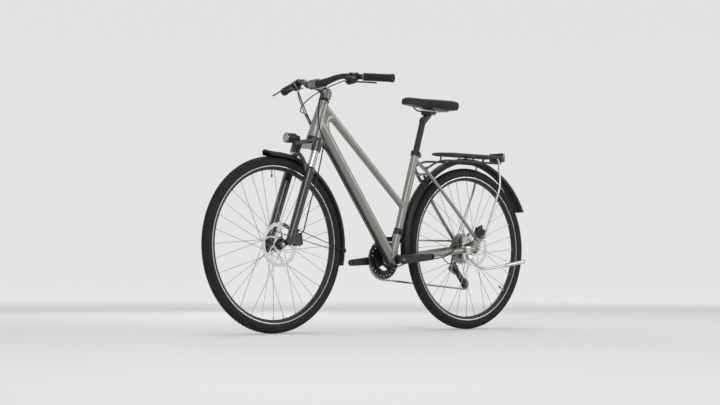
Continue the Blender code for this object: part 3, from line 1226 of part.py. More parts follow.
def rack_piece():
    """Luggage rack: one bent loop, its cross-bars and deck, and the lower rails with their stays."""
    half = [(RACK_FRONT, 0.016), (RACK_FRONT + 0.006, 0.026), (RACK_FRONT + 0.055, 0.0540),
            (RACK_FRONT + 0.075, 0.0550), (RACK_END - 0.014, 0.0550), (RACK_END, 0.0420)]
    path = [Vector((x, side, RACK_HEIGHT)) for x, side in half]
    path += [Vector((x, -side, RACK_HEIGHT)) for x, side in half[::-1]]
    loop = swept("rack", path, RACK_ROD, None, 6, up=Z_AXIS, loop=True)
    parts = []
    for x in (REAR_AXLE.x - 0.1005, REAR_AXLE.x, REAR_AXLE.x + 0.1045):
        parts.append(rod("cross_bar", Vector((x, -0.0552, RACK_HEIGHT)), Vector((x, 0.0552, RACK_HEIGHT)),
                         RACK_CROSS_RADIUS, 4))
    middle = Vector((REAR_AXLE.x + 0.0145, 0.0, RACK_HEIGHT + 0.0038))
    parts.append(block("deck", middle, (0.290, 0.062, 0.0030)))
    for side in (LEFT, RIGHT):
        rail = [(STAY_BOSS.x, 0.0500, STAY_BOSS.z), (RACK_FRONT - 0.035, 0.0520, LOWER_RAIL_HEIGHT - 0.008),
                (RACK_FRONT + 0.055, LOWER_RAIL_SIDE, LOWER_RAIL_HEIGHT),
                (RACK_END - 0.059, LOWER_RAIL_SIDE, LOWER_RAIL_HEIGHT),
                (RACK_END - 0.025, LOWER_RAIL_SIDE, LOWER_RAIL_HEIGHT + 0.007),
                (RACK_END - 0.017, 0.0560, RACK_HEIGHT - 0.003)]
        points = [Vector((x, side * away, z)) for x, away, z in rail]
        parts.append(swept("lower_rail", points, LOWER_RAIL_RADIUS, None, 6, up=Y_AXIS))
        eye = STAY_BOSS + side * (STAY_BOSS_FACE + SEAT_GAP) * Y_AXIS
        parts.append(rod("eye", eye, eye + side * 0.0042 * Y_AXIS, 0.0072, 8))
        for x in (REAR_AXLE.x - 0.1005, REAR_AXLE.x + 0.1045):
            parts.append(rod("riser", Vector((x, side * 0.0550, RACK_HEIGHT)),
                             Vector((x, side * LOWER_RAIL_SIDE, LOWER_RAIL_HEIGHT)), 0.0034, 4))
    return named(join(loop, *parts), "rack", BLACK_SATIN)


def strut_piece():
    """Bent hoop from the dropouts up, which crosses under the rack."""
    eye_side = BOSS_FACE + SEAT_GAP + 0.0058
    top_x = RACK_END - 0.049
    half = [(RACK_BOSS.x, eye_side, RACK_BOSS.z), (RACK_BOSS.x + 0.0595, 0.0810, RACK_BOSS.z + 0.1254),
            (top_x - 0.006, 0.0780, RACK_HEIGHT - 0.135), (top_x, 0.0705, RACK_HEIGHT - 0.050),
            (top_x, 0.0690, RACK_HEIGHT - 0.025), (top_x, 0.0610, STRUT_CROSS_HEIGHT)]
    path = [Vector((x, -side, z)) for x, side, z in half]
    path += [Vector((x, side, z)) for x, side, z in half[::-1]]
    parts = []
    for side in (LEFT, RIGHT):
        eye = RACK_BOSS + side * (BOSS_FACE + SEAT_GAP) * Y_AXIS
        parts.append(rod("eye", eye, eye + side * 0.0050 * Y_AXIS, 0.0080, 8))
    return named(join(swept("rack_strut", path, STRUT_RADIUS, None, 6), *parts), "rack_strut", SILVER)


def tail_light_piece():
    centre = Vector((RACK_END + RACK_ROD * math.cos(math.pi / 6) + SEAT_GAP + 0.0100, 0.0, RACK_HEIGHT))
    return named(block("tail_light", centre, (0.0200, 0.080, 0.040)), "tail_light", RED_LENS)


rack = rack_piece()
rack_strut = strut_piece()
tail_light = tail_light_piece()

# Side stand
STAND_LEAN = math.radians(17.0)
STAND_AXIS = Vector((0.0, math.cos(STAND_LEAN), -math.sin(STAND_LEAN)))
STAND_PIVOT = REAR_AXLE + Vector((-0.0725, -0.0870, -0.0426))
STAND_PIN = 0.0040
STAND_LEG_RADIUS = 0.0060
STAND_BEND_RADIUS = 0.0056
FOOT_START = STAND_PIVOT + Vector((0.2120, -0.0160, -0.0323))
FOOT_END = STAND_PIVOT + Vector((0.3450, -0.0140, -0.0120))
FOOT_TIP = 0.010


def stand_mount_piece():
    """Bracket on the left chainstay with the stand's boss and pin."""
    stay_face = -(0.0698 + STAY_WIDTH * math.cos(math.radians(30)) + SEAT_GAP)
    top = STAND_PIVOT + Vector((0.0, 0.0, 0.0330))
    body = block("kickstand_mount", Vector((top.x, stay_face - 0.0050, top.z)), (0.030, 0.0100, 0.0340))
    neck = hull_outline([(top.x, top.z, 0.0120), (STAND_PIVOT.x, STAND_PIVOT.z, 0.0100)], 8)
    parts = [plate("neck", neck, -0.0832, stay_face - 0.0002),
             rod("boss", STAND_PIVOT + 0.0100 * STAND_AXIS, STAND_PIVOT, 0.0092, 12),
             rod("pin", STAND_PIVOT + 0.0050 * STAND_AXIS, STAND_PIVOT - 0.0120 * STAND_AXIS, STAND_PIN, 8)]
    return named(join(body, *parts), "kickstand_mount", SILVER)


def stand_leg_piece():
    """Stowed leg: an eye on the pin and a bent bar back along the chainstay."""
    eye_start = STAND_PIVOT - SEAT_GAP * STAND_AXIS
    eye_end = STAND_PIVOT - 0.0125 * STAND_AXIS
    eye = rod("kickstand_leg", eye_start, eye_end, 0.0105, 12)
    spots = [(0.0005, -0.0098, -0.0020), (0.0190, -0.0142, -0.0210), (0.0500, -0.0164, -0.0385),
             (0.0920, -0.0170, -0.0455), (0.1470, -0.0170, -0.0410)]
    path = [STAND_PIVOT + Vector(spot) for spot in spots] + [FOOT_START]
    bend = swept("bend", path, STAND_BEND_RADIUS, None, 8, up=Y_AXIS)
    along = (FOOT_END - FOOT_START).normalized()
    bar_end = FOOT_END - (FOOT_TIP + SEAT_GAP) * along
    bar = rod("bar", FOOT_START - 0.004 * along, bar_end, STAND_LEG_RADIUS, 8)
    hole_start = STAND_PIVOT + 0.01 * STAND_AXIS
    hole = rod("hole", hole_start, STAND_PIVOT - 0.03 * STAND_AXIS, running_bore(STAND_PIN, 8), 8)
    return named(cut(join(bar, bend, eye), hole), "kickstand_leg", SILVER)


def stand_foot_piece():
    length = (FOOT_END - FOOT_START).length
    bore = STAND_LEG_RADIUS + SEAT_GAP
    outline = [(length - FOOT_TIP, 0.0), (length - FOOT_TIP, bore), (0.008, bore), (0.008, 0.0085),
               (length - 0.004, 0.0085), (length, 0.0060), (length, 0.0)]
    made = turned("kickstand_foot", outline, facing(FOOT_START, FOOT_END - FOOT_START), 8)
    return named(made, "kickstand_foot", BLACK_PLASTIC)


kickstand_mount = stand_mount_piece()
kickstand_leg = stand_leg_piece()
kickstand_foot = stand_foot_piece()

# Stem, handlebar and controls
STEM_HEIGHT = 0.0381
STEM_TOP = STEM_FOOT + STEM_HEIGHT
STEM_CLAMP_RADIUS = 0.0185
STEM_CAP = 0.0040
BAR_CENTRE = steer(STEM_TOP) + Vector((-0.0648, 0.0, 0.0193))
BAR_RADIUS = 0.0159
GRIP_BAR_RADIUS = 0.0111
CONTROL_BORE = 0.0118
BAR_CLAMP_RADIUS = 0.0212
BAR_CLAMP_WIDTH = 0.046
GRIP_LINE_START = BAR_CENTRE + Vector((0.0450, 0.150, 0.0240))
BAR_END = BAR_CENTRE + Vector((0.1185, 0.336, 0.0055))
GRIP_LENGTH = 0.133
BRAKE_SIDE = 0.186
SHIFTER_ALONG = -0.024


def stem_piece():
    """Stem clamped on the steerer with the rear half of the handlebar clamp."""
    clamp = rod("stem", steer(STEM_FOOT), steer(STEM_TOP + STEM_CAP), STEM_CLAMP_RADIUS, 12)
    middle = steer((STEM_FOOT + STEM_TOP) / 2)
    ahead = (BAR_CENTRE - middle).normalized()
    half = BAR_CLAMP_WIDTH / 2
    parts = [rod("extension", middle + 0.006 * ahead, BAR_CENTRE, 0.0160, 12, end_radius=0.0150),
             rod("bar_clamp", BAR_CENTRE - half * Y_AXIS, BAR_CENTRE + half * Y_AXIS, BAR_CLAMP_RADIUS, 12)]
    up = ahead.cross(Y_AXIS)
    steerer_bore = STEERER_RADIUS + SEAT_GAP
    bar_reach = 0.04 * Y_AXIS
    cutters = [rod("steerer_bore", steer(STEM_FOOT - 0.01), steer(STEM_FOOT + 0.0353), steerer_bore, 12),
               rod("bar_bore", BAR_CENTRE - bar_reach, BAR_CENTRE + bar_reach, BAR_RADIUS + SEAT_GAP, 12),
               block("front", BAR_CENTRE + 0.0301 * ahead, (0.060, 0.080, 0.080), (ahead, Y_AXIS, up))]
    return named(cut(join(clamp, *parts), *cutters), "stem", GREY_ALLOY)


def faceplate_piece():
    middle = steer((STEM_FOOT + STEM_TOP) / 2)
    ahead = (BAR_CENTRE - middle).normalized()
    up = ahead.cross(Y_AXIS)
    half = BAR_CLAMP_WIDTH / 2
    ring = rod("stem_faceplate", BAR_CENTRE - half * Y_AXIS, BAR_CENTRE + half * Y_AXIS, BAR_CLAMP_RADIUS, 12)
    bore = rod("bar_bore", BAR_CENTRE - 0.04 * Y_AXIS, BAR_CENTRE + 0.04 * Y_AXIS, BAR_RADIUS + SEAT_GAP, 12)
    rear = block("rear", BAR_CENTRE - 0.0296 * ahead, (0.060, 0.080, 0.080), (ahead, Y_AXIS, up))
    return named(cut(ring, bore, rear), "stem_faceplate", GREY_ALLOY)


def handlebar_piece():
    """Swept-back bar, thick in the stem clamp and thin at the grips."""
    spots = [(0.0, 0.0, 0.0, BAR_RADIUS), (0.0, 0.030, 0.0, BAR_RADIUS),
             (0.0035, 0.048, 0.0025, BAR_RADIUS - 0.0002), (0.0140, 0.072, 0.0105, BAR_RADIUS - 0.0021),
             (0.0245, 0.100, 0.0195, GRIP_BAR_RADIUS + 0.0009), (0.0330, 0.125, 0.0240, GRIP_BAR_RADIUS)]
    right = [(BAR_CENTRE + Vector(spot[:3]), spot[3]) for spot in spots]
    right += [(GRIP_LINE_START, GRIP_BAR_RADIUS), (BAR_END, GRIP_BAR_RADIUS)]
    left = [(Vector((point.x, -point.y, point.z)), radius) for point, radius in right[:0:-1]]
    path = left + right
    made = swept("handlebar", [point for point, radius in path], [radius for point, radius in path], None, 12,
                 up=Z_AXIS)
    return named(made, "handlebar", BLACK_SATIN)


def mirrored(vector, side):
    return Vector((vector.x, side * vector.y, vector.z))


def bar_axes(side):
    """Origin and axes at a brake lever: outward on the bar, forward and up."""
    out = (BAR_END - GRIP_LINE_START).normalized()
    origin = GRIP_LINE_START + (BRAKE_SIDE - GRIP_LINE_START.y) / out.y * out
    tilt = Vector((-math.cos(math.radians(20)), 0.0, -math.sin(math.radians(20))))
    ahead = (tilt - tilt.dot(out) * out).normalized()
    up = ahead.cross(out)
    if up.z < 0:
        up = -up
    return mirrored(origin, side), mirrored(out, side), mirrored(ahead, side), mirrored(up, side)


def bar_point(side, along, ahead, up):
    origin, out_axis, ahead_axis, up_axis = bar_axes(side)
    return origin + along * out_axis + ahead * ahead_axis + up * up_axis


def bar_bore(side):
    return rod("bar_bore", bar_point(side, -0.050, 0, 0), bar_point(side, 0.030, 0, 0), CONTROL_BORE, 12)


def bar_plate(name, side, spots, low, high, steps=6):
    """Plate in the plane of the lever, round circles of (along, ahead, radius)."""
    outline = hull_outline(spots, steps)
    shape = bmesh.new()
    near = [shape.verts.new(bar_point(side, along, ahead, low)) for along, ahead in outline]
    far = [shape.verts.new(bar_point(side, along, ahead, high)) for along, ahead in outline]
    shape.faces.new(near)
    shape.faces.new(far)
    for index in range(len(outline)):
        after = (index + 1) % len(outline)
        shape.faces.new((near[index], near[after], far[after], far[index]))
    return add_piece(name, shape)


PIVOT_ALONG = 0.012
PIVOT_AHEAD = 0.0465
BLADE_HALF = 0.0036
CYLINDER_AHEAD = 0.030
CYLINDER_RADIUS = 0.0090
CYLINDER_IN = -0.036
CYLINDER_OUT = 0.020


def brake_body_piece(name, side):
    """Clamp, master cylinder and the two ears that hold the lever."""
    clamp = rod(name, bar_point(side, -0.006, 0, 0), bar_point(side, 0.006, 0, 0), 0.0165, 12)
    parts = [rod("cylinder", bar_point(side, CYLINDER_IN, CYLINDER_AHEAD, 0),
                 bar_point(side, CYLINDER_OUT, CYLINDER_AHEAD, 0), CYLINDER_RADIUS, 10),
             bar_plate("neck", side, [(0.0, 0.010, 0.0050), (0.0, 0.026, 0.0050)], -0.0060, 0.0060, 4)]
    for low, high in ((BLADE_HALF + SEAT_GAP, 0.0072), (-0.0072, -BLADE_HALF - SEAT_GAP)):
        ear = [(0.010, 0.030, 0.0080), (PIVOT_ALONG, PIVOT_AHEAD, 0.0070)]
        parts.append(bar_plate("ear", side, ear, low, high, 6))
    return named(cut(join(clamp, *parts), bar_bore(side)), name, BLACK_SATIN)


def brake_lever_piece(name, side):
    """Two-finger blade with its eye between the ears."""
    up = bar_axes(side)[3]
    spots = [(PIVOT_ALONG, PIVOT_AHEAD), (0.030, 0.0620), (0.058, 0.0680), (0.106, 0.0660), (0.126, 0.0715)]
    path = [bar_point(side, along, ahead, 0) for along, ahead in spots]
    blade = swept(name, path, [0.0045, 0.0048, 0.0042, 0.0042, 0.0036], [0.0032] * 5, 6, up=up)
    eye = rod("eye", bar_point(side, PIVOT_ALONG, PIVOT_AHEAD, -BLADE_HALF),
              bar_point(side, PIVOT_ALONG, PIVOT_AHEAD, BLADE_HALF), 0.0064, 10)
    return named(join(blade, eye), name, BLACK_SATIN)


def shifter_piece(name, side):
    """Shifter clamp with its body under the bar."""
    inner_end = bar_point(side, SHIFTER_ALONG - 0.006, 0, 0)
    clamp = rod(name, inner_end, bar_point(side, SHIFTER_ALONG + 0.006, 0, 0), 0.0160, 12)
    spots = [(SHIFTER_ALONG - 0.006, 0.007, 0.008), (SHIFTER_ALONG - 0.006, 0.024, 0.007),
             (SHIFTER_ALONG + 0.007, 0.024, 0.007), (SHIFTER_ALONG + 0.007, 0.007, 0.008)]
    body = bar_plate("body", side, spots, -0.0235, -0.0105, 6)
    return named(cut(join(clamp, body), bar_bore(side)), name, BLACK_PLASTIC)


def trigger_piece(name, side):
    spots = [(SHIFTER_ALONG, 0.021, 0.0070), (SHIFTER_ALONG + 0.012, 0.004, 0.0048),
             (SHIFTER_ALONG + 0.020, -0.014, 0.0050)]
    return named(bar_plate(name, side, spots, -0.0275, -0.0235 - SEAT_GAP, 8), name, BLACK_PLASTIC)


def grip_piece(name, side):
    """Soft grip closed over the end of the bar, with a thicker ring at its end."""
    out = bar_axes(side)[1]
    end = mirrored(BAR_END, side)
    start = end - (GRIP_LENGTH - 0.004) * out
    inside = GRIP_LENGTH - 0.004 + SEAT_GAP
    outline = [(inside, 0.0), (inside, CONTROL_BORE), (0.0, CONTROL_BORE), (0.0, 0.0158),
               (GRIP_LENGTH - 0.012, 0.0158), (GRIP_LENGTH - 0.012, 0.0175), (GRIP_LENGTH, 0.0175),
               (GRIP_LENGTH, 0.0)]
    return named(turned(name, outline, facing(start, out), 12), name, BLACK_RUBBER)


stem = stem_piece()
stem_faceplate = faceplate_piece()
handlebar = handlebar_piece()
for side, label in ((LEFT, "left"), (RIGHT, "right")):
    brake_body_piece("brake_body_" + label, side)
    brake_lever_piece("brake_lever_" + label, side)
    shifter_piece("shifter_" + label, side)
    trigger_piece("shift_trigger_" + label, side)
    grip_piece("grip_" + label, side)

# Front lamp
LAMP_AXIS_HEIGHT = ARCH_TOP.z + 0.0628
LAMP_RADIUS = 0.0200
LAMP_FRONT = ARCH_TOP.x - 0.0583
LAMP_LENGTH = 0.067
LAMP_REAR = LAMP_FRONT + LAMP_LENGTH


def headlight_piece():
    """Round lamp on a short bracket in front of the fork arch."""
    front = Vector((LAMP_FRONT, 0.0, LAMP_AXIS_HEIGHT))
    outline = [(0.0, 0.0), (0.0, LAMP_RADIUS), (0.045, LAMP_RADIUS), (LAMP_REAR - LAMP_FRONT, 0.0120),
               (LAMP_REAR - LAMP_FRONT, 0.0)]
    body = turned("headlight", outline, facing(front, Vector((1.0, 0.0, 0.0))), 14)
    foot = ARCH_TOP + Vector((0.0, 0.0, ARCH_RADIUS * math.cos(math.pi / 8) + SEAT_GAP))
    top = Vector((LAMP_FRONT + 0.034, 0.0, LAMP_AXIS_HEIGHT - 0.010))
    strap = rod("strap", foot + Vector((0.0, 0.0, 0.0020)), top, 0.0045, 6)
    pad = block("pad", foot + Vector((0.0, 0.0, 0.0020)), (0.016, 0.014, 0.0036))
    return named(join(body, strap, pad), "headlight", BLACK_PLASTIC)


def lens_piece():
    front = Vector((LAMP_FRONT - SEAT_GAP, 0.0, LAMP_AXIS_HEIGHT))
    made = rod("headlight_lens", front, front - Vector((0.0035, 0.0, 0.0)), 0.0185, 14, end_radius=0.0160)
    return named(made, "headlight_lens", CLEAR_LENS)


headlight = headlight_piece()
headlight_lens = lens_piece()

# Hoses and shift cables
HOSE_RADIUS = 0.0025
CABLE_RADIUS = 0.0021
DOWN_START = steer(HEAD_TUBE_FOOT + DOWN_TUBE_START)
DOWN_ALONG = (BB - DOWN_START).normalized()
DOWN_LENGTH = (BB - DOWN_START).length
DOWN_UNDER = Vector((DOWN_ALONG.z, 0.0, -DOWN_ALONG.x))
DOWN_OFFSET = DOWN_TUBE_RADIUS + HOSE_RADIUS + 2 * SEAT_GAP


def under_tube(along, side, extra=0.0):
    """Point below the down tube, at a length from its start and to one side."""
    return DOWN_START + along * DOWN_ALONG + (DOWN_OFFSET + extra) * DOWN_UNDER + side * Y_AXIS


def spots_from(place, *offsets):
    """Points at offsets from one known place."""
    return [place + Vector(offset) for offset in offsets]


def cable(name, points, radius):
    return named(swept(name, smooth_path(points, 2), radius, None, 4), name, BLACK_RUBBER)


def lane_path(lane):
    """Way round the right of the head tube and below the down tube, in one of three lanes."""
    spots = spots_from(steer(HEAD_TOP), (-0.0557, 0.0370 + 0.0065 * lane, -0.0559),
                       (-0.0307, 0.0345 + 0.0065 * lane, -0.0979))
    spots += [under_tube(0.045, 0.0290 + 0.0065 * lane), under_tube(0.090, 0.0080 + 0.0070 * lane, 0.003)]
    for along in (0.150, 0.400, DOWN_LENGTH - 0.031):
        spots.append(under_tube(along, 0.0080 * (lane - 1)))
    return spots


def cylinder_exit(side):
    start = CYLINDER_IN - SEAT_GAP
    return [bar_point(side, start - reach, CYLINDER_AHEAD, 0.0) for reach in (0.0, 0.008, 0.016)]


def shifter_exit(side):
    start = SHIFTER_ALONG - 0.014 - SEAT_GAP
    return [bar_point(side, start - reach, 0.016, -0.017) for reach in (0.0, 0.008, 0.016)]


front_hose_points = cylinder_exit(LEFT)
front_hose_points += spots_from(BAR_CENTRE, (-0.0110, -0.095, -0.0070), (-0.0170, -0.055, -0.0500),
                                (-0.0140, -0.038, -0.1250), (-0.0110, -0.040, -0.1800))
front_hose_points += spots_from(ARCH_TOP, (0.0867, -0.064, 0.0528), (0.0647, -0.078, -0.0092),
                                (0.0307, -0.087, -0.1042), (-0.0043, -0.088, -0.2042))
front_hose_points += spots_from(FRONT_AXLE, (0.0945, -0.086, 0.0854), (0.0965, -0.070, 0.0534),
                                (0.0905, -0.050, 0.0429))
front_brake_hose = cable("front_brake_hose", front_hose_points, HOSE_RADIUS)

rear_hose_points = cylinder_exit(RIGHT)
rear_hose_points += spots_from(BAR_CENTRE, (-0.0230, 0.085, -0.0150), (-0.0310, 0.050, -0.0650))
rear_hose_points += lane_path(0)
rear_hose_points += spots_from(BB, (-0.018, -0.012, -0.0245), (0.010, -0.024, -0.0290),
                               (0.070, -0.036, -0.0090), (0.150, -0.046, 0.0010), (0.212, -0.054, 0.0070))
rear_hose_points += spots_from(REAR_AXLE, (-0.1945, -0.0715, -0.0346), (-0.1585, -0.0785, -0.0126),
                               (-0.1255, -0.0790, 0.0054), (-0.0725, -0.0805, 0.0164),
                               (-0.0385, -0.0850, 0.0354), (-0.0105, -0.0830, 0.0704),
                               (0.0215, -0.0740, 0.1014), (0.0390, -0.0600, 0.0934))
rear_brake_hose = cable("rear_brake_hose", rear_hose_points, HOSE_RADIUS)

shift_rear_points = shifter_exit(RIGHT)
shift_rear_points += spots_from(BAR_CENTRE, (-0.0070, 0.100, -0.0270), (-0.0230, 0.064, -0.0730))
shift_rear_points += lane_path(2)
shift_rear_points += spots_from(BB, (-0.018, 0.010, -0.0235), (0.008, 0.014, -0.0280),
                                (0.060, 0.030, -0.0110), (0.135, 0.043, 0.0000), (0.230, 0.054, 0.0120))
shift_rear_points += spots_from(REAR_AXLE, (-0.1005, 0.0660, -0.0296), (-0.0455, 0.0850, -0.0526),
                                (-0.0005, 0.0960, -0.0686), (0.0355, 0.0920, -0.0586),
                                (0.0375, 0.0840, -0.0366), (0.0240, 0.0810, -0.0276))
shift_cable_rear = cable("shift_cable_rear", shift_rear_points, CABLE_RADIUS)

shift_front_points = shifter_exit(LEFT)
shift_front_points += spots_from(BAR_CENTRE, (-0.0150, -0.095, -0.0230), (-0.0390, -0.040, -0.0500),
                                 (-0.0480, 0.010, -0.0800), (-0.0410, 0.045, -0.1090))
shift_front_points += lane_path(1)
shift_front_points += spots_from(BB, (-0.018, 0.000, -0.0235), (0.004, 0.000, -0.0270),
                                 (0.027, 0.000, -0.0150))
shift_front_points += [seat(0.045, 0.0240, 0.003), seat(0.085, 0.0225, 0.008)]
shift_front_points += spots_from(BB, (0.0560, 0.0200, 0.0850), (0.0590, 0.0270, 0.0955))
shift_cable_front = cable("shift_cable_front", shift_front_points, CABLE_RADIUS)
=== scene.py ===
"""Looks of a trekking hybrid bicycle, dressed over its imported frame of 60 nodes.

Metres, +Z up. The bicycle faces -X, the rider's left side is -Y and the chain runs on +Y.
"""
from math import acos, atan2, copysign, cos, exp, pi, radians, sin, tau

import bmesh
import bpy
from mathutils import Matrix, Vector


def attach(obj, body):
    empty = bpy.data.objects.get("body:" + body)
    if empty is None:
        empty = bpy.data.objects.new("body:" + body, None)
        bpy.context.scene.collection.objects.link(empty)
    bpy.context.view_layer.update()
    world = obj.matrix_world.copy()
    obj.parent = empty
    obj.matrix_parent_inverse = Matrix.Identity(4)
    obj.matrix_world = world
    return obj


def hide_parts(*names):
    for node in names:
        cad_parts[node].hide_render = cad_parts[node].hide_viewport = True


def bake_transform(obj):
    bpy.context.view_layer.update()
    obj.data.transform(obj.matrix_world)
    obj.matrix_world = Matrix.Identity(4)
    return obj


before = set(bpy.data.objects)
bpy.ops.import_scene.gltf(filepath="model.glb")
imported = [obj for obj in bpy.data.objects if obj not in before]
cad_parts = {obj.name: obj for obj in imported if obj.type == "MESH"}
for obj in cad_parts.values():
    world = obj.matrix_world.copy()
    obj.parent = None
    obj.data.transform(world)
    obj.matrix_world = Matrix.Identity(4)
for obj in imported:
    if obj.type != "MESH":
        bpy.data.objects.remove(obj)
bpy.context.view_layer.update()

# Studio: a wide pale sweep that rises all round like paper, four soft lamps
# and a long-lens camera low at the bicycle's front left.
CAMERA_SPOT = Vector((-4.95609, -5.35052, 0.20688))
CAMERA_YAW = 0.73872
CAMERA_PITCH = 0.04576
CAMERA_ROLL = 0.0016
CAMERA_LENS = 86.69
SWEEP_RADIUS = 22.0
SWEEP_FILLET = 9.0
SWEEP_SIDES = 64
PAPER_FADE = (1.5, 11.0)
AIR_LIGHT = 0.6
LAMP_AIM = Vector((0.0, 0.0, 0.55))
PAPER = (0.8, 0.8, 0.79, 1.0)
PAPER_FAR = (0.22, 0.22, 0.217, 1.0)
PAPER_GLOW = 0.66

camera = bpy.data.objects.new("camera", bpy.data.cameras.new("camera"))
bpy.context.scene.collection.objects.link(camera)
camera.data.lens = CAMERA_LENS
camera.data.sensor_width = 36.0
camera.data.clip_end = 200.0
look = Vector((cos(CAMERA_PITCH) * sin(CAMERA_YAW), cos(CAMERA_PITCH) * cos(CAMERA_YAW), sin(CAMERA_PITCH)))
camera_turn = look.to_track_quat("-Z", "Y").to_matrix() @ Matrix.Rotation(CAMERA_ROLL, 3, "Z")
camera.matrix_world = Matrix.Translation(CAMERA_SPOT) @ camera_turn.to_4x4()
bpy.context.scene.camera = camera
bpy.context.scene.view_settings.view_transform = "Standard"


def add_node(tree, kind, constants=None, **settings):
    """Node of a tree with its settings and the constants of its inputs."""
    node = tree.nodes.new(kind)
    for name, value in settings.items():
        setattr(node, name, value)
    set_inputs(node, constants or {})
    return node


def set_inputs(node, constants):
    """Constants of a node's inputs, by their names or numbers."""
    for entry, value in constants.items():
        node.inputs[entry].default_value = value


def join(tree, *wires):
    """Wires of a node tree, each from a node's output to another node's input."""
    for source, output, target, entry in wires:
        tree.links.new(source.outputs[output], target.inputs[entry])


paper = bpy.data.materials.new("studio paper")
paper.use_nodes = True
paper_tree = paper.node_tree
paper_surface = paper_tree.nodes["Principled BSDF"]
set_inputs(paper_surface, {"Roughness": 0.85, "Specular IOR Level": 0.15,
    "Emission Color": (PAPER_GLOW, PAPER_GLOW, PAPER_GLOW, 1.0)})
paper_light = add_node(paper_tree, "ShaderNodeLightPath")
paper_place = add_node(paper_tree, "ShaderNodeNewGeometry")
paper_reach = add_node(paper_tree, "ShaderNodeVectorMath", operation="LENGTH")
paper_far = add_node(paper_tree, "ShaderNodeMapRange", {"From Min": PAPER_FADE[0],
    "From Max": PAPER_FADE[1]})
paper_tone = add_node(paper_tree, "ShaderNodeMix", {6: PAPER, 7: PAPER_FAR}, data_type="RGBA")
paper_seen = add_node(paper_tree, "ShaderNodeMath", operation="MAXIMUM")
paper_glow = add_node(paper_tree, "ShaderNodeMath", operation="MULTIPLY")
join(paper_tree, (paper_place, "Position", paper_reach, 0), (paper_reach, "Value", paper_far, "Value"),
    (paper_light, "Is Camera Ray", paper_seen, 0), (paper_light, "Is Glossy Ray", paper_seen, 1),
    (paper_seen, 0, paper_glow, 0), (paper_far, "Result", paper_glow, 1),
    (paper_far, "Result", paper_tone, 0), (paper_tone, 2, paper_surface, "Base Color"),
    (paper_glow, 0, paper_surface, "Emission Strength"))


def skin_rings(shape, rings, closed=False, capped=True):
    """Faces between rings of points; a ring of one point is a pole."""
    made = [[shape.verts.new(point) for point in ring] for ring in rings]
    pairs = list(zip(made, made[1:]))
    if closed:
        pairs.append((made[-1], made[0]))
    for one, two in pairs:
        count = max(len(one), len(two))
        for step in range(count):
            after = (step + 1) % count
            if len(one) == 1:
                shape.faces.new((one[0], two[step], two[after]))
            elif len(two) == 1:
                shape.faces.new((one[step], two[0], one[after]))
            else:
                shape.faces.new((one[step], two[step], two[after], one[after]))
    if capped and not closed:
        for ring, order in ((made[0], 1), (made[-1], -1)):
            if len(ring) > 2:
                shape.faces.new(ring[::order])


def circle(x, y, radius, steps):
    """Round loop of points about one in a plane."""
    return [(x + radius * cos(tau * step / steps), y + radius * sin(tau * step / steps))
        for step in range(steps)]


def turn_round(shape, outline, place, steps=40, closed=False, capped=True):
    """Turned form from (along, radius) points; closed joins the last point to the first."""
    rings = []
    for along, radius in outline:
        if radius < 1e-7:
            rings.append([place @ Vector((0.0, 0.0, along))])
        else:
            rings.append([place @ Vector((x, y, along)) for x, y in circle(0.0, 0.0, radius, steps)])
    skin_rings(shape, rings, closed, capped)


def in_scene(name, data):
    """Object of the scene at the origin."""
    made = bpy.data.objects.new(name, data)
    bpy.context.scene.collection.objects.link(made)
    return made


sweep = bmesh.new()
turn_round(sweep, [(0.0, 0.0)] + [(SWEEP_FILLET * (1 - cos(turn)),
    SWEEP_RADIUS - SWEEP_FILLET + SWEEP_FILLET * sin(turn)) for turn in (radians(7.0 * step)
    for step in range(13))], Matrix.Identity(4), SWEEP_SIDES, capped=False)
sweep_mesh = bpy.data.meshes.new("studio_sweep")
sweep.to_mesh(sweep_mesh)
sweep.free()
sweep_mesh.shade_smooth()
sweep_mesh.materials.append(paper)
in_scene("studio_sweep", sweep_mesh)

world = bpy.data.worlds.new("studio air")
world.use_nodes = True
set_inputs(world.node_tree.nodes["Background"], {"Color": (1.0, 1.0, 1.0, 1.0), "Strength": AIR_LIGHT})
bpy.context.scene.world = world

for label, spot, size, power in (("key", (-3.2, -3.6, 3.4), 2.2, 62.0), ("top", (0.6, 0.4, 4.2), 2.6, 34.0),
        ("rim", (2.2, 3.8, 2.6), 1.8, 40.0), ("side", (3.6, -3.2, 1.9), 1.6, 30.0)):
    lamp = bpy.data.lights.new("lamp_" + label, "AREA")
    lamp.shape = "SQUARE"
    lamp.size = size
    lamp.energy = power
    holder = in_scene(lamp.name, lamp)
    holder.location = spot
    holder.rotation_euler = (LAMP_AIM - Vector(spot)).to_track_quat("-Z", "Y").to_euler()

# Frame: welded aluminium tubes with smoothed joints at the front, plain weld beads at the
# back, forged dropouts and small bosses, all under a satin sage metallic paint.
WHEELBASE = 1.101
TYRE_RADIUS = 0.3546
FRONT_AXLE = Vector((-WHEELBASE / 2, 0.0, TYRE_RADIUS))
REAR_AXLE = Vector((WHEELBASE / 2, 0.0, TYRE_RADIUS))
CRANK_AXLE = Vector((0.09998, 0.0, 0.301))
HEAD_ANGLE = radians(70.0)
SEAT_ANGLE = radians(73.0)
STEER_UP = Vector((cos(HEAD_ANGLE), 0.0, sin(HEAD_ANGLE)))
STEER_FORWARD = Vector((-sin(HEAD_ANGLE), 0.0, cos(HEAD_ANGLE)))
STEER_FOOT = FRONT_AXLE - 0.046 * STEER_FORWARD
SEAT_UP = Vector((cos(SEAT_ANGLE), 0.0, sin(SEAT_ANGLE)))
SEAT_BACK = Vector((sin(SEAT_ANGLE), 0.0, -cos(SEAT_ANGLE)))
ACROSS = Vector((0.0, 1.0, 0.0))
UP = Vector((0.0, 0.0, 1.0))
REARWARD = Vector((1.0, 0.0, 0.0))
SIDES = ((-1, "left"), (1, "right"))
HEAD_FOOT = 0.484
HEAD_LENGTH = 0.162
HEAD_TOP = HEAD_FOOT + HEAD_LENGTH
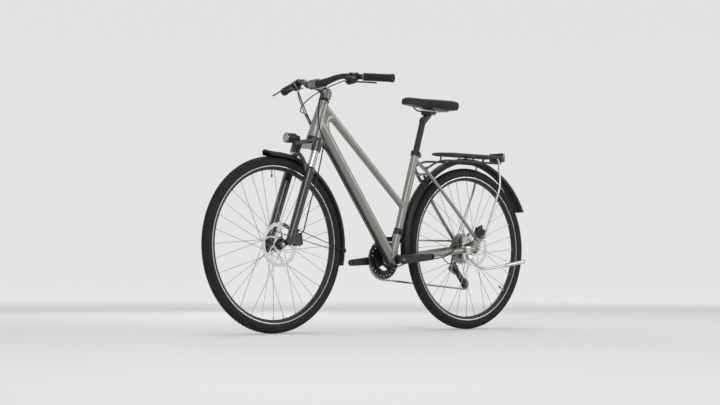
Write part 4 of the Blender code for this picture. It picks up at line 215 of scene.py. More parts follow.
HEAD_BORE = 0.0185
SEAT_TUBE_LENGTH = 0.487
SEAT_TUBE_RADIUS = 0.017
DOWN_TUBE_RADIUS = 0.024
DOWN_TUBE_RISE = 0.073
TOP_TUBE_RISE = 0.147
TOP_TUBE_MEETS = 0.232
CROTCH_RISE = 0.112
JOINT_VOXEL = 0.0015
JOINT_EASING = 55
BRIDGE_RADIUS = 0.0055
LOW_BRIDGE_RADIUS = 0.006
STAY_TUBE_RADIUS = 0.0075
DROPOUT_RADIUS = 0.013
TAB_HALF = 0.0025
BOTTLE_BOSSES = (0.3, 0.364)
SHELL_HALF = 0.034
SHELL_RADIUS = 0.0205
DROPOUT_SIDE = 0.0705
DROPOUT_HALF = 0.003
RACK_BOSS = REAR_AXLE + Vector((0.03, 0.0, 0.05))
HANGER_BOLT = REAR_AXLE + Vector((0.009, 0.0, -0.03))


def steer(along, forward=0.0, side=0.0):
    """Point given along the steering axis, forward of it and to one side."""
    return STEER_FOOT + along * STEER_UP + forward * STEER_FORWARD + side * ACROSS


def seat(along, behind=0.0, side=0.0):
    """Point given up the seat tube from the crank axle, behind it and to one side."""
    return CRANK_AXLE + along * SEAT_UP + behind * SEAT_BACK + side * ACROSS


def facing(origin, axis):
    """Placement whose Z follows the axis and whose X lies across it."""
    axis = axis.normalized()
    across = UP if abs(axis.z) < 0.9 else REARWARD
    first = (across - across.dot(axis) * axis).normalized()
    turn = Matrix((first, axis.cross(first), axis)).transposed().to_4x4()
    return Matrix.Translation(origin) @ turn


def turn_solid(shape, outline, place, steps=40):
    """Turned form from (along, radius) points, closed on its own axis at both ends."""
    turn_round(shape, [(outline[0][0], 0.0), *outline, (outline[-1][0], 0.0)], place, steps)


def rod(shape, start, end, radius, steps=24, edge=0.0004):
    """Round bar with eased ends."""
    length = (end - start).length
    turn_solid(shape, [(0.0, radius - edge), (edge, radius), (length - edge, radius),
        (length, radius - edge)], facing(start, end - start), steps)


def sleeve(shape, start, end, outer, inner, steps=40, edge=0.0004):
    """Ring with eased outer and inner edges."""
    length = (end - start).length
    turn_round(shape, [(edge, inner), (0.0, inner + edge), (0.0, outer - edge), (edge, outer),
        (length - edge, outer), (length, outer - edge), (length, inner + edge), (length - edge, inner)],
        facing(start, end - start), steps, closed=True)


def eased_path(points, between=6):
    """Rounded path through every point, with more points between each two."""
    path = []
    for index in range(len(points) - 1):
        two, three = points[index], points[index + 1]
        one = points[index - 1] if index else two * 2 - three
        four = points[index + 2] if index + 2 < len(points) else three * 2 - two
        for step in range(between + 1):
            share = step / (between + 1)
            path.append(0.5 * (2 * two + (three - one) * share + (2 * one - 5 * two + 4 * three - four)
                * share ** 2 + (3 * two - one - 3 * three + four) * share ** 3))
    path.append(points[-1])
    return path


def tube(shape, path, widths, heights=None, steps=20, up=None, loop=False, ends=1.0):
    """Round or oval bar along a path; ends below 1 ease the two tips."""
    count = len(path)
    if not isinstance(widths, (list, tuple)):
        widths = [widths] * count
    if heights is None:
        heights = widths
    elif not isinstance(heights, (list, tuple)):
        heights = [heights] * count
    rings = []
    normal = None
    for index, point in enumerate(path):
        before = path[index - 1] if index or loop else point
        after = path[(index + 1) % count] if index + 1 < count or loop else point
        along = (after - before).normalized()
        if up is not None:
            normal = up
        elif normal is None:
            normal = UP if abs(along.z) < 0.9 else REARWARD
        normal = (normal - normal.dot(along) * along).normalized()
        side = along.cross(normal)
        size = ends if index in (0, count - 1) and not loop else 1.0
        rings.append([point + size * (widths[index] * x * side + heights[index] * y * normal)
            for x, y in circle(0.0, 0.0, 1.0, steps)])
    skin_rings(shape, rings, loop)


def hull(circles, steps=12):
    """Outline of the smallest convex shape round circles of (x, z, radius)."""
    spots = sorted({(round(x, 7), round(z, 7)) for spot in circles for x, z in circle(*spot, 4 * steps)})
    halves = []
    for order in (spots, spots[::-1]):
        line = []
        for spot in order:
            while len(line) > 1 and ((line[-1][0] - line[-2][0]) * (spot[1] - line[-2][1])
                    - (line[-1][1] - line[-2][1]) * (spot[0] - line[-2][0])) <= 0:
                line.pop()
            line.append(spot)
        halves += line[:-1]
    return halves


UPRIGHT = Matrix(((1, 0, 0, 0), (0, 0, 1, 0), (0, 1, 0, 0), (0, 0, 0, 1)))


def slab(shape, outline, low, high, place=UPRIGHT, edge=0.0006):
    """Plate between two heights with eased edges, standing in the X-Z plane unless it is placed."""
    middle = Vector((sum(spot[0] for spot in outline), sum(spot[1] for spot in outline))) / len(outline)
    reach = max((Vector(spot) - middle).length for spot in outline)
    shrink = 1 - edge / reach
    low, high = sorted((low, high))
    rings = []
    for height, size in ((low, shrink), (low + edge, 1.0), (high - edge, 1.0), (high, shrink)):
        rings.append([place @ Vector((middle.x + (spot[0] - middle.x) * size,
            middle.y + (spot[1] - middle.y) * size, height)) for spot in outline])
    skin_rings(shape, rings)


def as_mesh(name, shape, crease):
    """Mesh with outward faces, smooth except at edges sharper than the crease."""
    bmesh.ops.recalc_face_normals(shape, faces=shape.faces)
    mesh = bpy.data.meshes.new(name)
    shape.to_mesh(mesh)
    shape.free()
    mesh.shade_smooth()
    mesh.set_sharp_from_angle(angle=radians(crease))
    return mesh


def put(name, shape, finish, body, *stands_for, crease=30.0):
    """Piece in its place with its finish, riding on a body and standing for its nodes."""
    mesh = shape if isinstance(shape, bpy.types.Mesh) else as_mesh(name, shape, crease)
    piece = in_scene(name, mesh)
    mesh.materials.clear()
    mesh.materials.append(finish["material"])
    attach(piece, body)
    if stands_for:
        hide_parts(*stands_for)
    return piece


def finish_nodes(name, slot, rough, metal=0.0, coat=0.0, coat_rough=0.05, level=0.5):
    """Material with its surface shader and a reader of places on the object."""
    made = bpy.data.materials.new(name)
    made.use_nodes = True
    surface = made.node_tree.nodes["Principled BSDF"]
    set_inputs(surface, {"Roughness": rough, "Metallic": metal, "Coat Weight": coat,
        "Coat Roughness": coat_rough, "Specular IOR Level": level})
    place = add_node(made.node_tree, "ShaderNodeTexCoord")
    return {"material": made, "tree": made.node_tree, "slot": slot, "surface": surface, "place": place}


def grain(finish, scale, stretch=(1.0, 1.0, 1.0), detail=3.0, rough=0.6):
    """Noise over the object, finer with a larger scale and drawn out by the stretch."""
    tree = finish["tree"]
    spread = add_node(tree, "ShaderNodeMapping", {"Scale": stretch})
    noise = add_node(tree, "ShaderNodeTexNoise", {"Scale": scale, "Detail": detail, "Roughness": rough})
    join(tree, (finish["place"], "Object", spread, "Vector"), (spread, "Vector", noise, "Vector"))
    return noise, "Fac"


def shade(finish, pattern, low, high, start=0.35, stop=0.65, socket="Base Color"):
    """Runs a socket from a low to a high colour or number as a pattern goes from start to stop."""
    ramp = add_node(finish["tree"], "ShaderNodeValToRGB")
    ramp.color_ramp.elements[0].position = start
    ramp.color_ramp.elements[1].position = stop
    for element, value in zip(ramp.color_ramp.elements, (low, high)):
        element.color = (*value, 1.0) if isinstance(value, tuple) else (value, value, value, 1.0)
    join(finish["tree"], (*pattern, ramp, "Fac"), (ramp, "Color", finish["surface"], socket))


def relief(finish, pattern, depth, strength):
    """Fine bumps from a pattern; a second call lies over the first."""
    bump = add_node(finish["tree"], "ShaderNodeBump", {"Distance": depth, "Strength": strength})
    for link in finish["surface"].inputs["Normal"].links:
        join(finish["tree"], (link.from_node, "Normal", bump, "Normal"))
    join(finish["tree"], (*pattern, bump, "Height"), (bump, "Normal", finish["surface"], "Normal"))


def weld(shape, start, along, radius, parent, axis, parent_radius, size, ripples=0, steps=72):
    """Bead where a tube leaves another: a hollow fillet between both skins, rippled like stacked coins."""
    along = along.normalized()
    axis = axis.normalized()
    first = (axis - axis.dot(along) * along).normalized()
    second = along.cross(first)
    rows = []
    for step in range(steps):
        turn = tau * step / steps
        out = cos(turn) * first + sin(turn) * second

        def clearance(reach):
            gap = start + radius * out + reach * along - parent
            return (gap - gap.dot(axis) * axis).length - parent_radius

        reach = 0.0
        while clearance(reach) < 0 and reach < 0.2:
            reach += 0.0005
        corner = start + radius * out + reach * along
        on_child = corner + size * along
        beside = corner + size * out
        gap = beside - parent
        flat = gap - gap.dot(axis) * axis
        on_parent = parent + gap.dot(axis) * axis + flat.normalized() * parent_radius
        swell = size * (0.28 + 0.22 * abs(sin(ripples * turn / 2))) if ripples else 0.0
        outward = (on_child - corner + on_parent - corner).normalized()
        row = [on_child.lerp(corner, share).lerp(corner.lerp(on_parent, share), share)
            + sin(pi * share) * swell * outward for share in (0.0, 0.25, 0.5, 0.75, 1.0)]
        rows.append([row[0] - 0.0004 * out, *row, on_parent - 0.0006 * flat.normalized()])
    skin_rings(shape, rows, closed=True)


# Sprayed metallic lacquer: fine bright flakes in a grey green base, slight orange peel, satin coat.
SAGE = finish_nodes("sage metallic lacquer", "frame_paint", 0.34, 0.62, 0.45, 0.16)
flakes = add_node(SAGE["tree"], "ShaderNodeTexVoronoi", {"Scale": 3600.0})
join(SAGE["tree"], (SAGE["place"], "Object", flakes, "Vector"))
shade(SAGE, (flakes, "Color"), (0.225, 0.246, 0.213), (0.335, 0.356, 0.312), 0.1, 0.95)
shade(SAGE, grain(SAGE, 26.0), 0.3, 0.4, socket="Roughness")
relief(SAGE, grain(SAGE, 900.0, detail=1.0), 0.00004, 0.5)
down_top = steer(HEAD_FOOT + DOWN_TUBE_RISE)
top_front = steer(HEAD_FOOT + TOP_TUBE_RISE)
top_rear = seat(TOP_TUBE_MEETS)
tubes = bmesh.new()
turn_round(tubes, [(0.0, HEAD_BORE), (0.0, 0.0269), (0.0006, 0.0275), (0.006, 0.0275), (0.0072, 0.0271),
    (0.022, 0.0268), (0.147, 0.0216), (0.1545, 0.0211), (0.1556, 0.0215), (0.1614, 0.0215),
    (HEAD_LENGTH, 0.021), (HEAD_LENGTH, HEAD_BORE)], facing(steer(HEAD_FOOT), STEER_UP), 64, closed=True)
tube(tubes, [down_top.lerp(CRANK_AXLE, share / 8) for share in range(9)], DOWN_TUBE_RADIUS,
    [0.024, 0.024, 0.024, 0.0239, 0.0237, 0.0236, 0.0236, 0.0236, 0.0238], 56,
    up=ACROSS.cross(down_top - CRANK_AXLE))
top_end = top_rear - 0.0155 * (top_rear - top_front).normalized()
tube(tubes, [top_front.lerp(top_end, share / 8) for share in range(9)],
    [0.0165 - 0.003 * share / 8 for share in range(9)], None, 48, up=ACROSS.cross(top_front - top_rear))
crotch_start = top_front.lerp(top_rear, 0.078 / (top_rear - top_front).length) - 0.002 * UP
crotch_end = down_top.lerp(CRANK_AXLE, 0.088 / (CRANK_AXLE - down_top).length) + 0.002 * UP
crotch_turn = steer(HEAD_FOOT + CROTCH_RISE, 0.006)
joint = bmesh.new()
turn_solid(joint, [(0.006, 0.0274), (0.022, 0.0271), (0.147, 0.0219), (0.157, 0.0215)],
    facing(steer(HEAD_FOOT), STEER_UP), 64)
tube(joint, [down_top.lerp(CRANK_AXLE, 0.035 * share) for share in range(9)], DOWN_TUBE_RADIUS + 0.0004,
    steps=56, up=ACROSS)
tube(joint, [top_front.lerp(top_rear, 0.03 * share) for share in range(9)],
    [0.0169 - 0.003 * 0.03 * share for share in range(9)], steps=48, up=ACROSS)
tube(joint, [crotch_start.lerp(crotch_turn, step / 16).lerp(crotch_turn.lerp(crotch_end, step / 16),
    step / 16) for step in range(17)], 0.0185, [0.015 + 0.006 * step / 16 for step in range(17)], 40,
    up=ACROSS)
bore = bmesh.new()
rod(bore, steer(HEAD_FOOT - 0.02), steer(HEAD_TOP + 0.02), HEAD_BORE, 64)
joint_bore = in_scene("joint_bore", as_mesh("joint_bore", bore, 38.0))


def settled(holder):
    """Plain mesh of an object once its modifiers are worked out; the object is taken away."""
    view = bpy.context.evaluated_depsgraph_get()
    mesh = bpy.data.meshes.new_from_object(holder.evaluated_get(view), depsgraph=view)
    bpy.data.objects.remove(holder, do_unlink=True)
    return mesh


joint_blank = in_scene("joint_blank", as_mesh("joint_blank", joint, 38.0))
skin = joint_blank.modifiers.new("skin", "REMESH")
skin.mode = "VOXEL"
skin.voxel_size = JOINT_VOXEL
ease = joint_blank.modifiers.new("ease", "SMOOTH")
ease.factor = 0.5
ease.iterations = JOINT_EASING
cut = joint_blank.modifiers.new("cut", "BOOLEAN")
cut.object = joint_bore
joint_mesh = settled(joint_blank)
joint_mesh.shade_smooth()
bpy.data.objects.remove(joint_bore, do_unlink=True)
put("frame_head_joint", joint_mesh, SAGE, "frame")
turn_solid(tubes, [(0.0, SEAT_TUBE_RADIUS), (0.452, SEAT_TUBE_RADIUS), (0.456, 0.0168),
    (SEAT_TUBE_LENGTH - 0.0006, 0.0168), (SEAT_TUBE_LENGTH, 0.0162), (SEAT_TUBE_LENGTH, 0.0139),
    (0.12, 0.0139)], facing(CRANK_AXLE, SEAT_UP), 56)
sleeve(tubes, CRANK_AXLE - SHELL_HALF * ACROSS, CRANK_AXLE + SHELL_HALF * ACROSS, SHELL_RADIUS, 0.0173, 56)

CHAINSTAY = ((0.0, 0.02), (0.12, 0.0315), (0.165, 0.0368), (0.22, 0.0395), (0.33, 0.048), (0.5, 0.057),
    (0.75, 0.0665), (1.0, DROPOUT_SIDE))
SEAT_STAY = ((0.0, 0.0117), (0.08, 0.026), (0.17, 0.037), (0.4, 0.049), (0.7, 0.062), (1.0, DROPOUT_SIDE))
STAY_TOP = seat(SEAT_TUBE_LENGTH - 0.042, 0.006)
STAY_END = REAR_AXLE + Vector((0.004, 0.0, 0.03))
STAY_BRIDGE = STAY_TOP.lerp(STAY_END, 0.155)
STAY_BOSS = STAY_TOP.lerp(STAY_END, 0.085)
LOW_BRIDGE = CRANK_AXLE + Vector((0.052, 0.0, 0.01))


def stay_path(start, end, spread, side):
    """Centre line of a stay from its (share, distance from the middle) table."""
    spots = [start.lerp(end, share) for share, _ in spread]
    return eased_path([Vector((spot.x, side * away, spot.z)) for spot, (_, away) in zip(spots, spread)], 4)


welds = bmesh.new()
weld(welds, top_rear, top_front - top_rear, 0.0136, top_rear, SEAT_UP, SEAT_TUBE_RADIUS, 0.0065)
weld(welds, CRANK_AXLE, SEAT_UP, SEAT_TUBE_RADIUS, CRANK_AXLE, ACROSS, SHELL_RADIUS, 0.0042, 46, steps=184)
weld(welds, CRANK_AXLE, down_top - CRANK_AXLE, 0.0236, CRANK_AXLE, ACROSS, SHELL_RADIUS, 0.0042, 58,
    steps=232)
for side in (-1, 1):
    low = stay_path(CRANK_AXLE + Vector((0.012, 0.0, 0.004)), REAR_AXLE + Vector((-0.031, 0.0, -0.004)),
        CHAINSTAY, side)
    tube(tubes, low, [0.008 + 0.0014 * max(0.0, 1 - index / 8) for index in range(len(low))], 0.0125, 28,
        up=UP)
    high = stay_path(STAY_TOP, STAY_END, SEAT_STAY, side)
    tube(tubes, high, STAY_TUBE_RADIUS, None, 24)
    weld(welds, low[0] - 0.012 * (low[1] - low[0]).normalized(), low[1] - low[0], 0.0105, CRANK_AXLE,
        ACROSS, SHELL_RADIUS, 0.0034, 26, steps=104)
    weld(welds, high[0] - 0.01 * (high[3] - high[0]).normalized(), high[3] - high[0], STAY_TUBE_RADIUS,
        seat(0.4), SEAT_UP, SEAT_TUBE_RADIUS, 0.003, 20, steps=80)
    weld(welds, STAY_BRIDGE + side * 0.016 * ACROSS, side * ACROSS, BRIDGE_RADIUS,
        STAY_BRIDGE + side * 0.0352 * ACROSS, high[10] - high[6], STAY_TUBE_RADIUS, 0.0024, 14, steps=56)
    outline = hull([(REAR_AXLE.x - 0.03, REAR_AXLE.z - 0.004, 0.011),
        (REAR_AXLE.x, REAR_AXLE.z, DROPOUT_RADIUS), (REAR_AXLE.x + 0.003, REAR_AXLE.z + 0.034, 0.008)], 16)
    slab(tubes, outline, side * DROPOUT_SIDE - DROPOUT_HALF, side * DROPOUT_SIDE + DROPOUT_HALF)
    tab = hull([(RACK_BOSS.x, RACK_BOSS.z, 0.0085), (REAR_AXLE.x + 0.002, REAR_AXLE.z + 0.026, 0.01)], 16)
    slab(tubes, tab, side * DROPOUT_SIDE - TAB_HALF, side * DROPOUT_SIDE + TAB_HALF)
    rod(tubes, RACK_BOSS + side * 0.0695 * ACROSS, RACK_BOSS + side * 0.08 * ACROSS, 0.007, 28)
    rod(tubes, STAY_BOSS + side * 0.025 * ACROSS, STAY_BOSS + side * 0.043 * ACROSS, 0.0055, 24)
hanger = hull([(REAR_AXLE.x + 0.002, REAR_AXLE.z - 0.004, 0.01), (HANGER_BOLT.x, HANGER_BOLT.z, 0.0085)],
    16)
slab(tubes, hanger, DROPOUT_SIDE - TAB_HALF, DROPOUT_SIDE + TAB_HALF)
for bridge, half, radius in ((STAY_BRIDGE, 0.0345, BRIDGE_RADIUS), (LOW_BRIDGE, 0.03, LOW_BRIDGE_RADIUS)):
    rod(tubes, bridge - half * ACROSS, bridge + half * ACROSS, radius, 24)
down_along = (CRANK_AXLE - down_top).normalized()
down_above = Vector((-down_along.z, 0.0, down_along.x))
for reach in BOTTLE_BOSSES:
    spot = down_top + reach * down_along + 0.0228 * down_above
    rod(tubes, spot, spot + 0.0026 * down_above, 0.0058, 28)
bmesh.ops.delete(tubes, geom=[face for face in tubes.faces if len(face.verts) > 12
    and min((face.calc_center_median() - spot).length for spot in (top_end, STAY_TOP, top_front, down_top))
    < 0.016], context="FACES_ONLY")
for vert in tubes.verts:
    reach = vert.co - CRANK_AXLE
    along = reach.dot(SEAT_UP)
    radial = reach - along * SEAT_UP
    if 0.15 < along < SEAT_TUBE_LENGTH and radial.length < 0.0138:
        vert.co += (0.014 - radial.length) * radial.normalized()
put("frame_tubes", tubes, SAGE, "frame", "frame")
put("frame_welds", welds, SAGE, "frame", crease=80.0)

# Bolts: cap-head socket screws in bright steel with a six-sided socket, an eased head and a short
# shank, one small mesh set at every place by its own head size.


def bright_steel(name, slot, dark, light, rough, stretch):
    """Bare metal, finely drawn along one way by the tool that finished it."""
    made = finish_nodes(name, slot, rough, 1.0)
    lines = grain(made, 90.0, stretch, 5.0, 0.7)
    shade(made, lines, dark, light, 0.3, 0.7)
    shade(made, grain(made, 40.0), rough * 0.8, rough * 1.3, socket="Roughness")
    relief(made, lines, 0.00003, 0.4)
    return made


def shapes_tree():
    """Node group that sets a shape at every point, turned and sized by the point's own values."""
    tree = bpy.data.node_groups.new("set_shapes", "GeometryNodeTree")
    for label, kind in (("Spots", "Geometry"), ("Shape", "Object"), ("Finish", "Material")):
        tree.interface.new_socket(label, in_out="INPUT", socket_type="NodeSocket" + kind)
    tree.interface.new_socket("Pieces", in_out="OUTPUT", socket_type="NodeSocketGeometry")
    begin, end = add_node(tree, "NodeGroupInput"), add_node(tree, "NodeGroupOutput")
    shape, placed, real, finished = (add_node(tree, "GeometryNode" + kind)
        for kind in ("ObjectInfo", "InstanceOnPoints", "RealizeInstances", "SetMaterial"))
    turn = add_node(tree, "GeometryNodeInputNamedAttribute", {"Name": "turn"}, data_type="FLOAT_VECTOR")
    size = add_node(tree, "GeometryNodeInputNamedAttribute", {"Name": "size"})
    join(tree, (begin, "Spots", placed, "Points"), (begin, "Shape", shape, "Object"),
        (shape, "Geometry", placed, "Instance"), (turn, "Attribute", placed, "Rotation"),
        (size, "Attribute", placed, "Scale"), (placed, "Instances", real, "Geometry"),
        (real, "Geometry", finished, "Geometry"), (begin, "Finish", finished, "Material"),
        (finished, "Geometry", end, "Pieces"))
    return tree


BOLT_STEEL = bright_steel("bolt steel", "steel", (0.42, 0.42, 0.41), (0.6, 0.6, 0.59), 0.3, (1.0, 1.0, 1.0))
SHAPES_TREE = shapes_tree()


def put_many(name, shape, places, finish, body, *stands_for):
    """One piece made of a small shape set at every (place, turn, size)."""
    mesh = bpy.data.meshes.new(name)
    mesh.from_pydata([place for place, _, _ in places], [], [])
    mesh.attributes.new("turn", "FLOAT_VECTOR", "POINT").data.foreach_set("vector",
        [part for _, turn, _ in places for part in turn])
    mesh.attributes.new("size", "FLOAT", "POINT").data.foreach_set("value", [size for _, _, size in places])
    holder, stamp = in_scene(name, mesh), in_scene("stamp", shape)
    growth = holder.modifiers.new("growth", "NODES")
    growth.node_group = SHAPES_TREE
    values = {"Shape": stamp, "Finish": finish["material"]}
    for socket in SHAPES_TREE.interface.items_tree:
        if socket.name in values:
            growth[socket.identifier] = values[socket.name]
    made = settled(holder)
    bpy.data.objects.remove(stamp, do_unlink=True)
    return put(name, made, finish, body, *stands_for)


SCREW_PROFILE = ((0.55, -0.9), (0.55, 0.0), (1.0, 0.0), (1.0, 0.62), (0.86, 0.8))
screw = bmesh.new()
screw_rings = [[(radius, height)] * 12 for radius, height in SCREW_PROFILE]
screw_rings += [[(0.52, height), (0.5, height)] * 6 for height in (0.8, 0.25)]
skin_rings(screw, [[Vector((*circle(0.0, 0.0, radius, 12)[step], height))
    for step, (radius, height) in enumerate(ring)] for ring in screw_rings])
SCREW = as_mesh("screw", screw, 25.0)


def bolts(name, body, spots):
    """Socket screws from (place, facing, head radius)."""
    put_many(name, SCREW, [(place, UP.rotation_difference(way).to_euler(), size)
        for place, way, size in spots], BOLT_STEEL, body)


bolts("bottle_boss_bolts", "frame", [(down_top + reach * down_along + 0.0254 * down_above, down_above,
    0.0042) for reach in BOTTLE_BOSSES])

# Headset: two turned alloy cups pressed into the head tube, each with a seal groove near its mouth,
# and one spacer ring above them, all anodised satin black.
SEAT_GAP = 0.0003
CUP_BORE = 0.0151
CUP_PRESS = 0.0182
# Anodised or powder-coated alloy: dull black with a fine pebbled skin and rubbed lighter patches.
SATIN = finish_nodes("satin black alloy", "satin_black", 0.42, 0.3, level=0.45)
shade(SATIN, grain(SATIN, 60.0, detail=6.0), (0.018, 0.018, 0.019), (0.034, 0.034, 0.035))
shade(SATIN, grain(SATIN, 150.0), 0.36, 0.5, socket="Roughness")
relief(SATIN, grain(SATIN, 2600.0, detail=1.0), 0.00003, 0.6)
lower_cup = bmesh.new()
turn_round(lower_cup, [(-0.012, CUP_BORE), (-0.012, CUP_PRESS), (SEAT_GAP, CUP_PRESS), (SEAT_GAP, 0.026),
    (0.001, 0.0265), (0.0105, 0.0265), (0.0112, 0.0258), (0.0122, 0.0258), (0.0129, 0.0263),
    (0.0165, 0.0252), (0.0196, 0.0236), (0.02, 0.0228), (0.02, CUP_BORE)],
    facing(steer(HEAD_FOOT), -STEER_UP), 56, closed=True)
put("headset_lower_cup", lower_cup, SATIN, "frame", "headset_lower")
upper_cup = bmesh.new()
turn_round(upper_cup, [(-0.012, CUP_BORE), (-0.012, CUP_PRESS), (SEAT_GAP, CUP_PRESS), (SEAT_GAP, 0.0213),
    (0.001, 0.0219), (0.0046, 0.0225), (0.0052, 0.0219), (0.006, 0.0219), (0.0066, 0.0223),
    (0.0084, 0.0204), (0.009, 0.0198), (0.009, CUP_BORE)], facing(steer(HEAD_TOP), STEER_UP), 56,
    closed=True)
put("headset_upper_cup", upper_cup, SATIN, "frame", "headset_upper")
spacer = bmesh.new()
sleeve(spacer, steer(HEAD_TOP + 0.0093), steer(HEAD_TOP + 0.0143), 0.018, 0.0146, 48)
put("spacer_ring", spacer, SATIN, "steering", "headset_spacer")

# Suspension fork: forged crown on a steel steerer, two chromed stanchions, and one-piece cast
# magnesium lowers in gloss black with the arch over the tyre, wiper seals and brake tabs.
CROWN_TOP = HEAD_FOOT - 0.02 - SEAT_GAP
LEG_FORWARD = 0.022
LEG_SIDE = 0.065
LEG_TOP = TYRE_RADIUS - 0.0196
ARCH_HEIGHT = TYRE_RADIUS + 0.0344
ARCH_TOP = steer(ARCH_HEIGHT, 0.058)
STEM_FOOT = HEAD_TOP + 0.0149
STANCHION_RADIUS = 0.015
GUARD_EYE = (0.078, 0.001)
CALIPER_LUGS = (22.0, 2.0)


def about(axle, radius, degrees, side=0.0):
    """Point at a radius and an angle about an axle, 0 to the rear and 90 up."""
    turn = radians(degrees)
    return axle + Vector((radius * cos(turn), side, radius * sin(turn)))


def soft_rubber(name, slot, dark, light, rough, scale=1400.0):
    """Moulded rubber: matt, pebbled, with pale dust rubbed into it."""
    made = finish_nodes(name, slot, rough, level=0.35)
    shade(made, grain(made, 35.0, detail=7.0, rough=0.7), dark, light, 0.3, 0.75)
    shade(made, grain(made, 90.0), rough - 0.08, rough + 0.08, socket="Roughness")
    relief(made, grain(made, scale, detail=2.0), 0.00006, 0.7)
    return made


# Deep black lacquer with a clear coat, a little orange peel and faint dust in broad patches.
GLOSS = finish_nodes("gloss black lacquer", "gloss_black", 0.22, 0.0, 0.9, 0.04)
shade(GLOSS, grain(GLOSS, 18.0, detail=5.0), (0.006, 0.006, 0.0068), (0.015, 0.015, 0.016))
shade(GLOSS, grain(GLOSS, 34.0), 0.16, 0.3, socket="Roughness")
relief(GLOSS, grain(GLOSS, 420.0, detail=0.0), 0.00005, 0.5)
RUBBER = soft_rubber("black rubber", "black_rubber", (0.012, 0.012, 0.012), (0.03, 0.03, 0.029), 0.74)
CHROME = bright_steel("chromed stanchion", "silver", (0.5, 0.5, 0.51), (0.62, 0.62, 0.63), 0.12,
    (1.0, 1.0, 6.0))
STEERING_AXES = (STEER_FORWARD, ACROSS, STEER_UP)
crown = bmesh.new()
crown_outline = hull([(0.0, 0.0, 0.0215), (0.013, 0.0, 0.0215), (LEG_FORWARD, LEG_SIDE, 0.019),
    (LEG_FORWARD, -LEG_SIDE, 0.019)], 14)
slab(crown, crown_outline, CROWN_TOP - 0.023, CROWN_TOP - 0.003,
    Matrix.Translation(STEER_FOOT) @ Matrix(STEERING_AXES).transposed().to_4x4(), 0.0035)
rod(crown, steer(CROWN_TOP - 0.006), steer(CROWN_TOP), 0.0222, 48, edge=0.001)
for side in (-1, 1):
    turn_solid(crown, [(0.0, 0.0185), (0.0015, 0.02), (0.029, 0.0208), (0.052, 0.021), (0.0545, 0.02),
        (0.055, 0.015), (0.0532, 0.012)], facing(steer(CROWN_TOP - 0.053, LEG_FORWARD, side * LEG_SIDE),
        STEER_UP), 44)
put("fork_crown_forging", crown, GLOSS, "steering", "fork_crown", crease=35.0)
stanchions = bmesh.new()
for side in (-1, 1):
    rod(stanchions, steer(CROWN_TOP - 0.3437, LEG_FORWARD, side * LEG_SIDE),
        steer(CROWN_TOP - 0.02, LEG_FORWARD, side * LEG_SIDE), STANCHION_RADIUS, 48)
put("stanchions", stanchions, CHROME, "steering")
steerer = bmesh.new()
rod(steerer, steer(CROWN_TOP - 0.01), steer(STEM_FOOT + 0.035), 0.0143, 32)
put("steerer_tube", steerer, BOLT_STEEL, "steering")
caps = bmesh.new()
for side in (-1, 1):
    turn_solid(caps, [(-0.0005, 0.0118), (0.001, 0.0116), (0.0016, 0.0105), (0.0016, 0.0062),
        (0.0006, 0.0055)], facing(steer(CROWN_TOP + SEAT_GAP, LEG_FORWARD, side * LEG_SIDE), STEER_UP), 36)
put("leg_caps", caps, SATIN, "steering")

lowers = bmesh.new()
arch_half = [steer(ARCH_HEIGHT - drop, forward, away) for drop, forward, away in ((0.079, 0.03, 0.062),
    (0.054, 0.041, 0.056), (0.025, 0.051, 0.04), (0.004, 0.0572, 0.019))]
arch_half.append(ARCH_TOP + 0.0085 * ACROSS)
arch_line = eased_path([Vector((spot.x, -spot.y, spot.z)) for spot in arch_half] + arch_half[::-1], 4)
tube(lowers, arch_line, 0.0085, 0.0082, 24)
tube(lowers, [spot - 0.003 * STEER_UP + 0.0026 * STEER_FORWARD for spot in arch_line[3:-3]], 0.0042, 0.0052,
    12)
for side in (-1, 1):
    away = side * LEG_SIDE
    length = LEG_TOP - 0.012
    turn_solid(lowers, [(0.0, 0.0125), (0.0015, 0.0148), (0.005, 0.0162), (0.03, 0.0167), (0.15, 0.0176),
        (length - 0.02, 0.0188), (length - 0.0125, 0.0194), (length - 0.011, 0.0207),
        (length - 0.001, 0.0208), (length + 0.0004, 0.02), (length + 0.0004, 0.0156),
        (length - 0.06, 0.0156)], facing(steer(0.012, LEG_FORWARD, away), STEER_UP), 48)
    foot = steer(0.024, LEG_FORWARD)
    slab(lowers, hull([(FRONT_AXLE.x, FRONT_AXLE.z, 0.0125), (foot.x, foot.z, 0.013)], 16), side * 0.0503,
        side * 0.0593, edge=0.0012)
    rod(lowers, steer(*GUARD_EYE, side * 0.064), steer(*GUARD_EYE, side * 0.076), 0.0055, 24)
    rod(lowers, steer(0.005, LEG_FORWARD, away), steer(0.014, LEG_FORWARD, away), 0.008, 24)
for degrees in CALIPER_LUGS:
    lug = about(FRONT_AXLE, 0.084, degrees)
    leg = steer(0.035 + 0.05 * (degrees > 10), LEG_FORWARD)
    slab(lowers, hull([(leg.x, leg.z, 0.01), (lug.x, lug.z, 0.0085)], 12), -0.0645, -0.0585, edge=0.001)
slab(lowers, hull([(spot.x, spot.z, radius) for spot, radius in ((steer(0.035, LEG_FORWARD), 0.012),
    (about(FRONT_AXLE, 0.08, 20.0), 0.006), (about(FRONT_AXLE, 0.08, 4.0), 0.006))], 12), -0.0635, -0.0597,
    edge=0.001)
put("fork_lower_casting", lowers, GLOSS, "fork_lower", "fork_lowers", crease=32.0)
wipers = bmesh.new()
for side in (-1, 1):
    turn_round(wipers, [(0.0, 0.0154), (0.0, 0.0199), (0.0012, 0.0199), (0.0018, 0.0185), (0.003, 0.0176),
        (0.0048, 0.0164), (0.0054, 0.0154)], facing(steer(LEG_TOP + 0.0008, LEG_FORWARD, side * LEG_SIDE),
        STEER_UP), 44, closed=True)
put("wiper_seals", wipers, RUBBER, "fork_lower", crease=40.0)

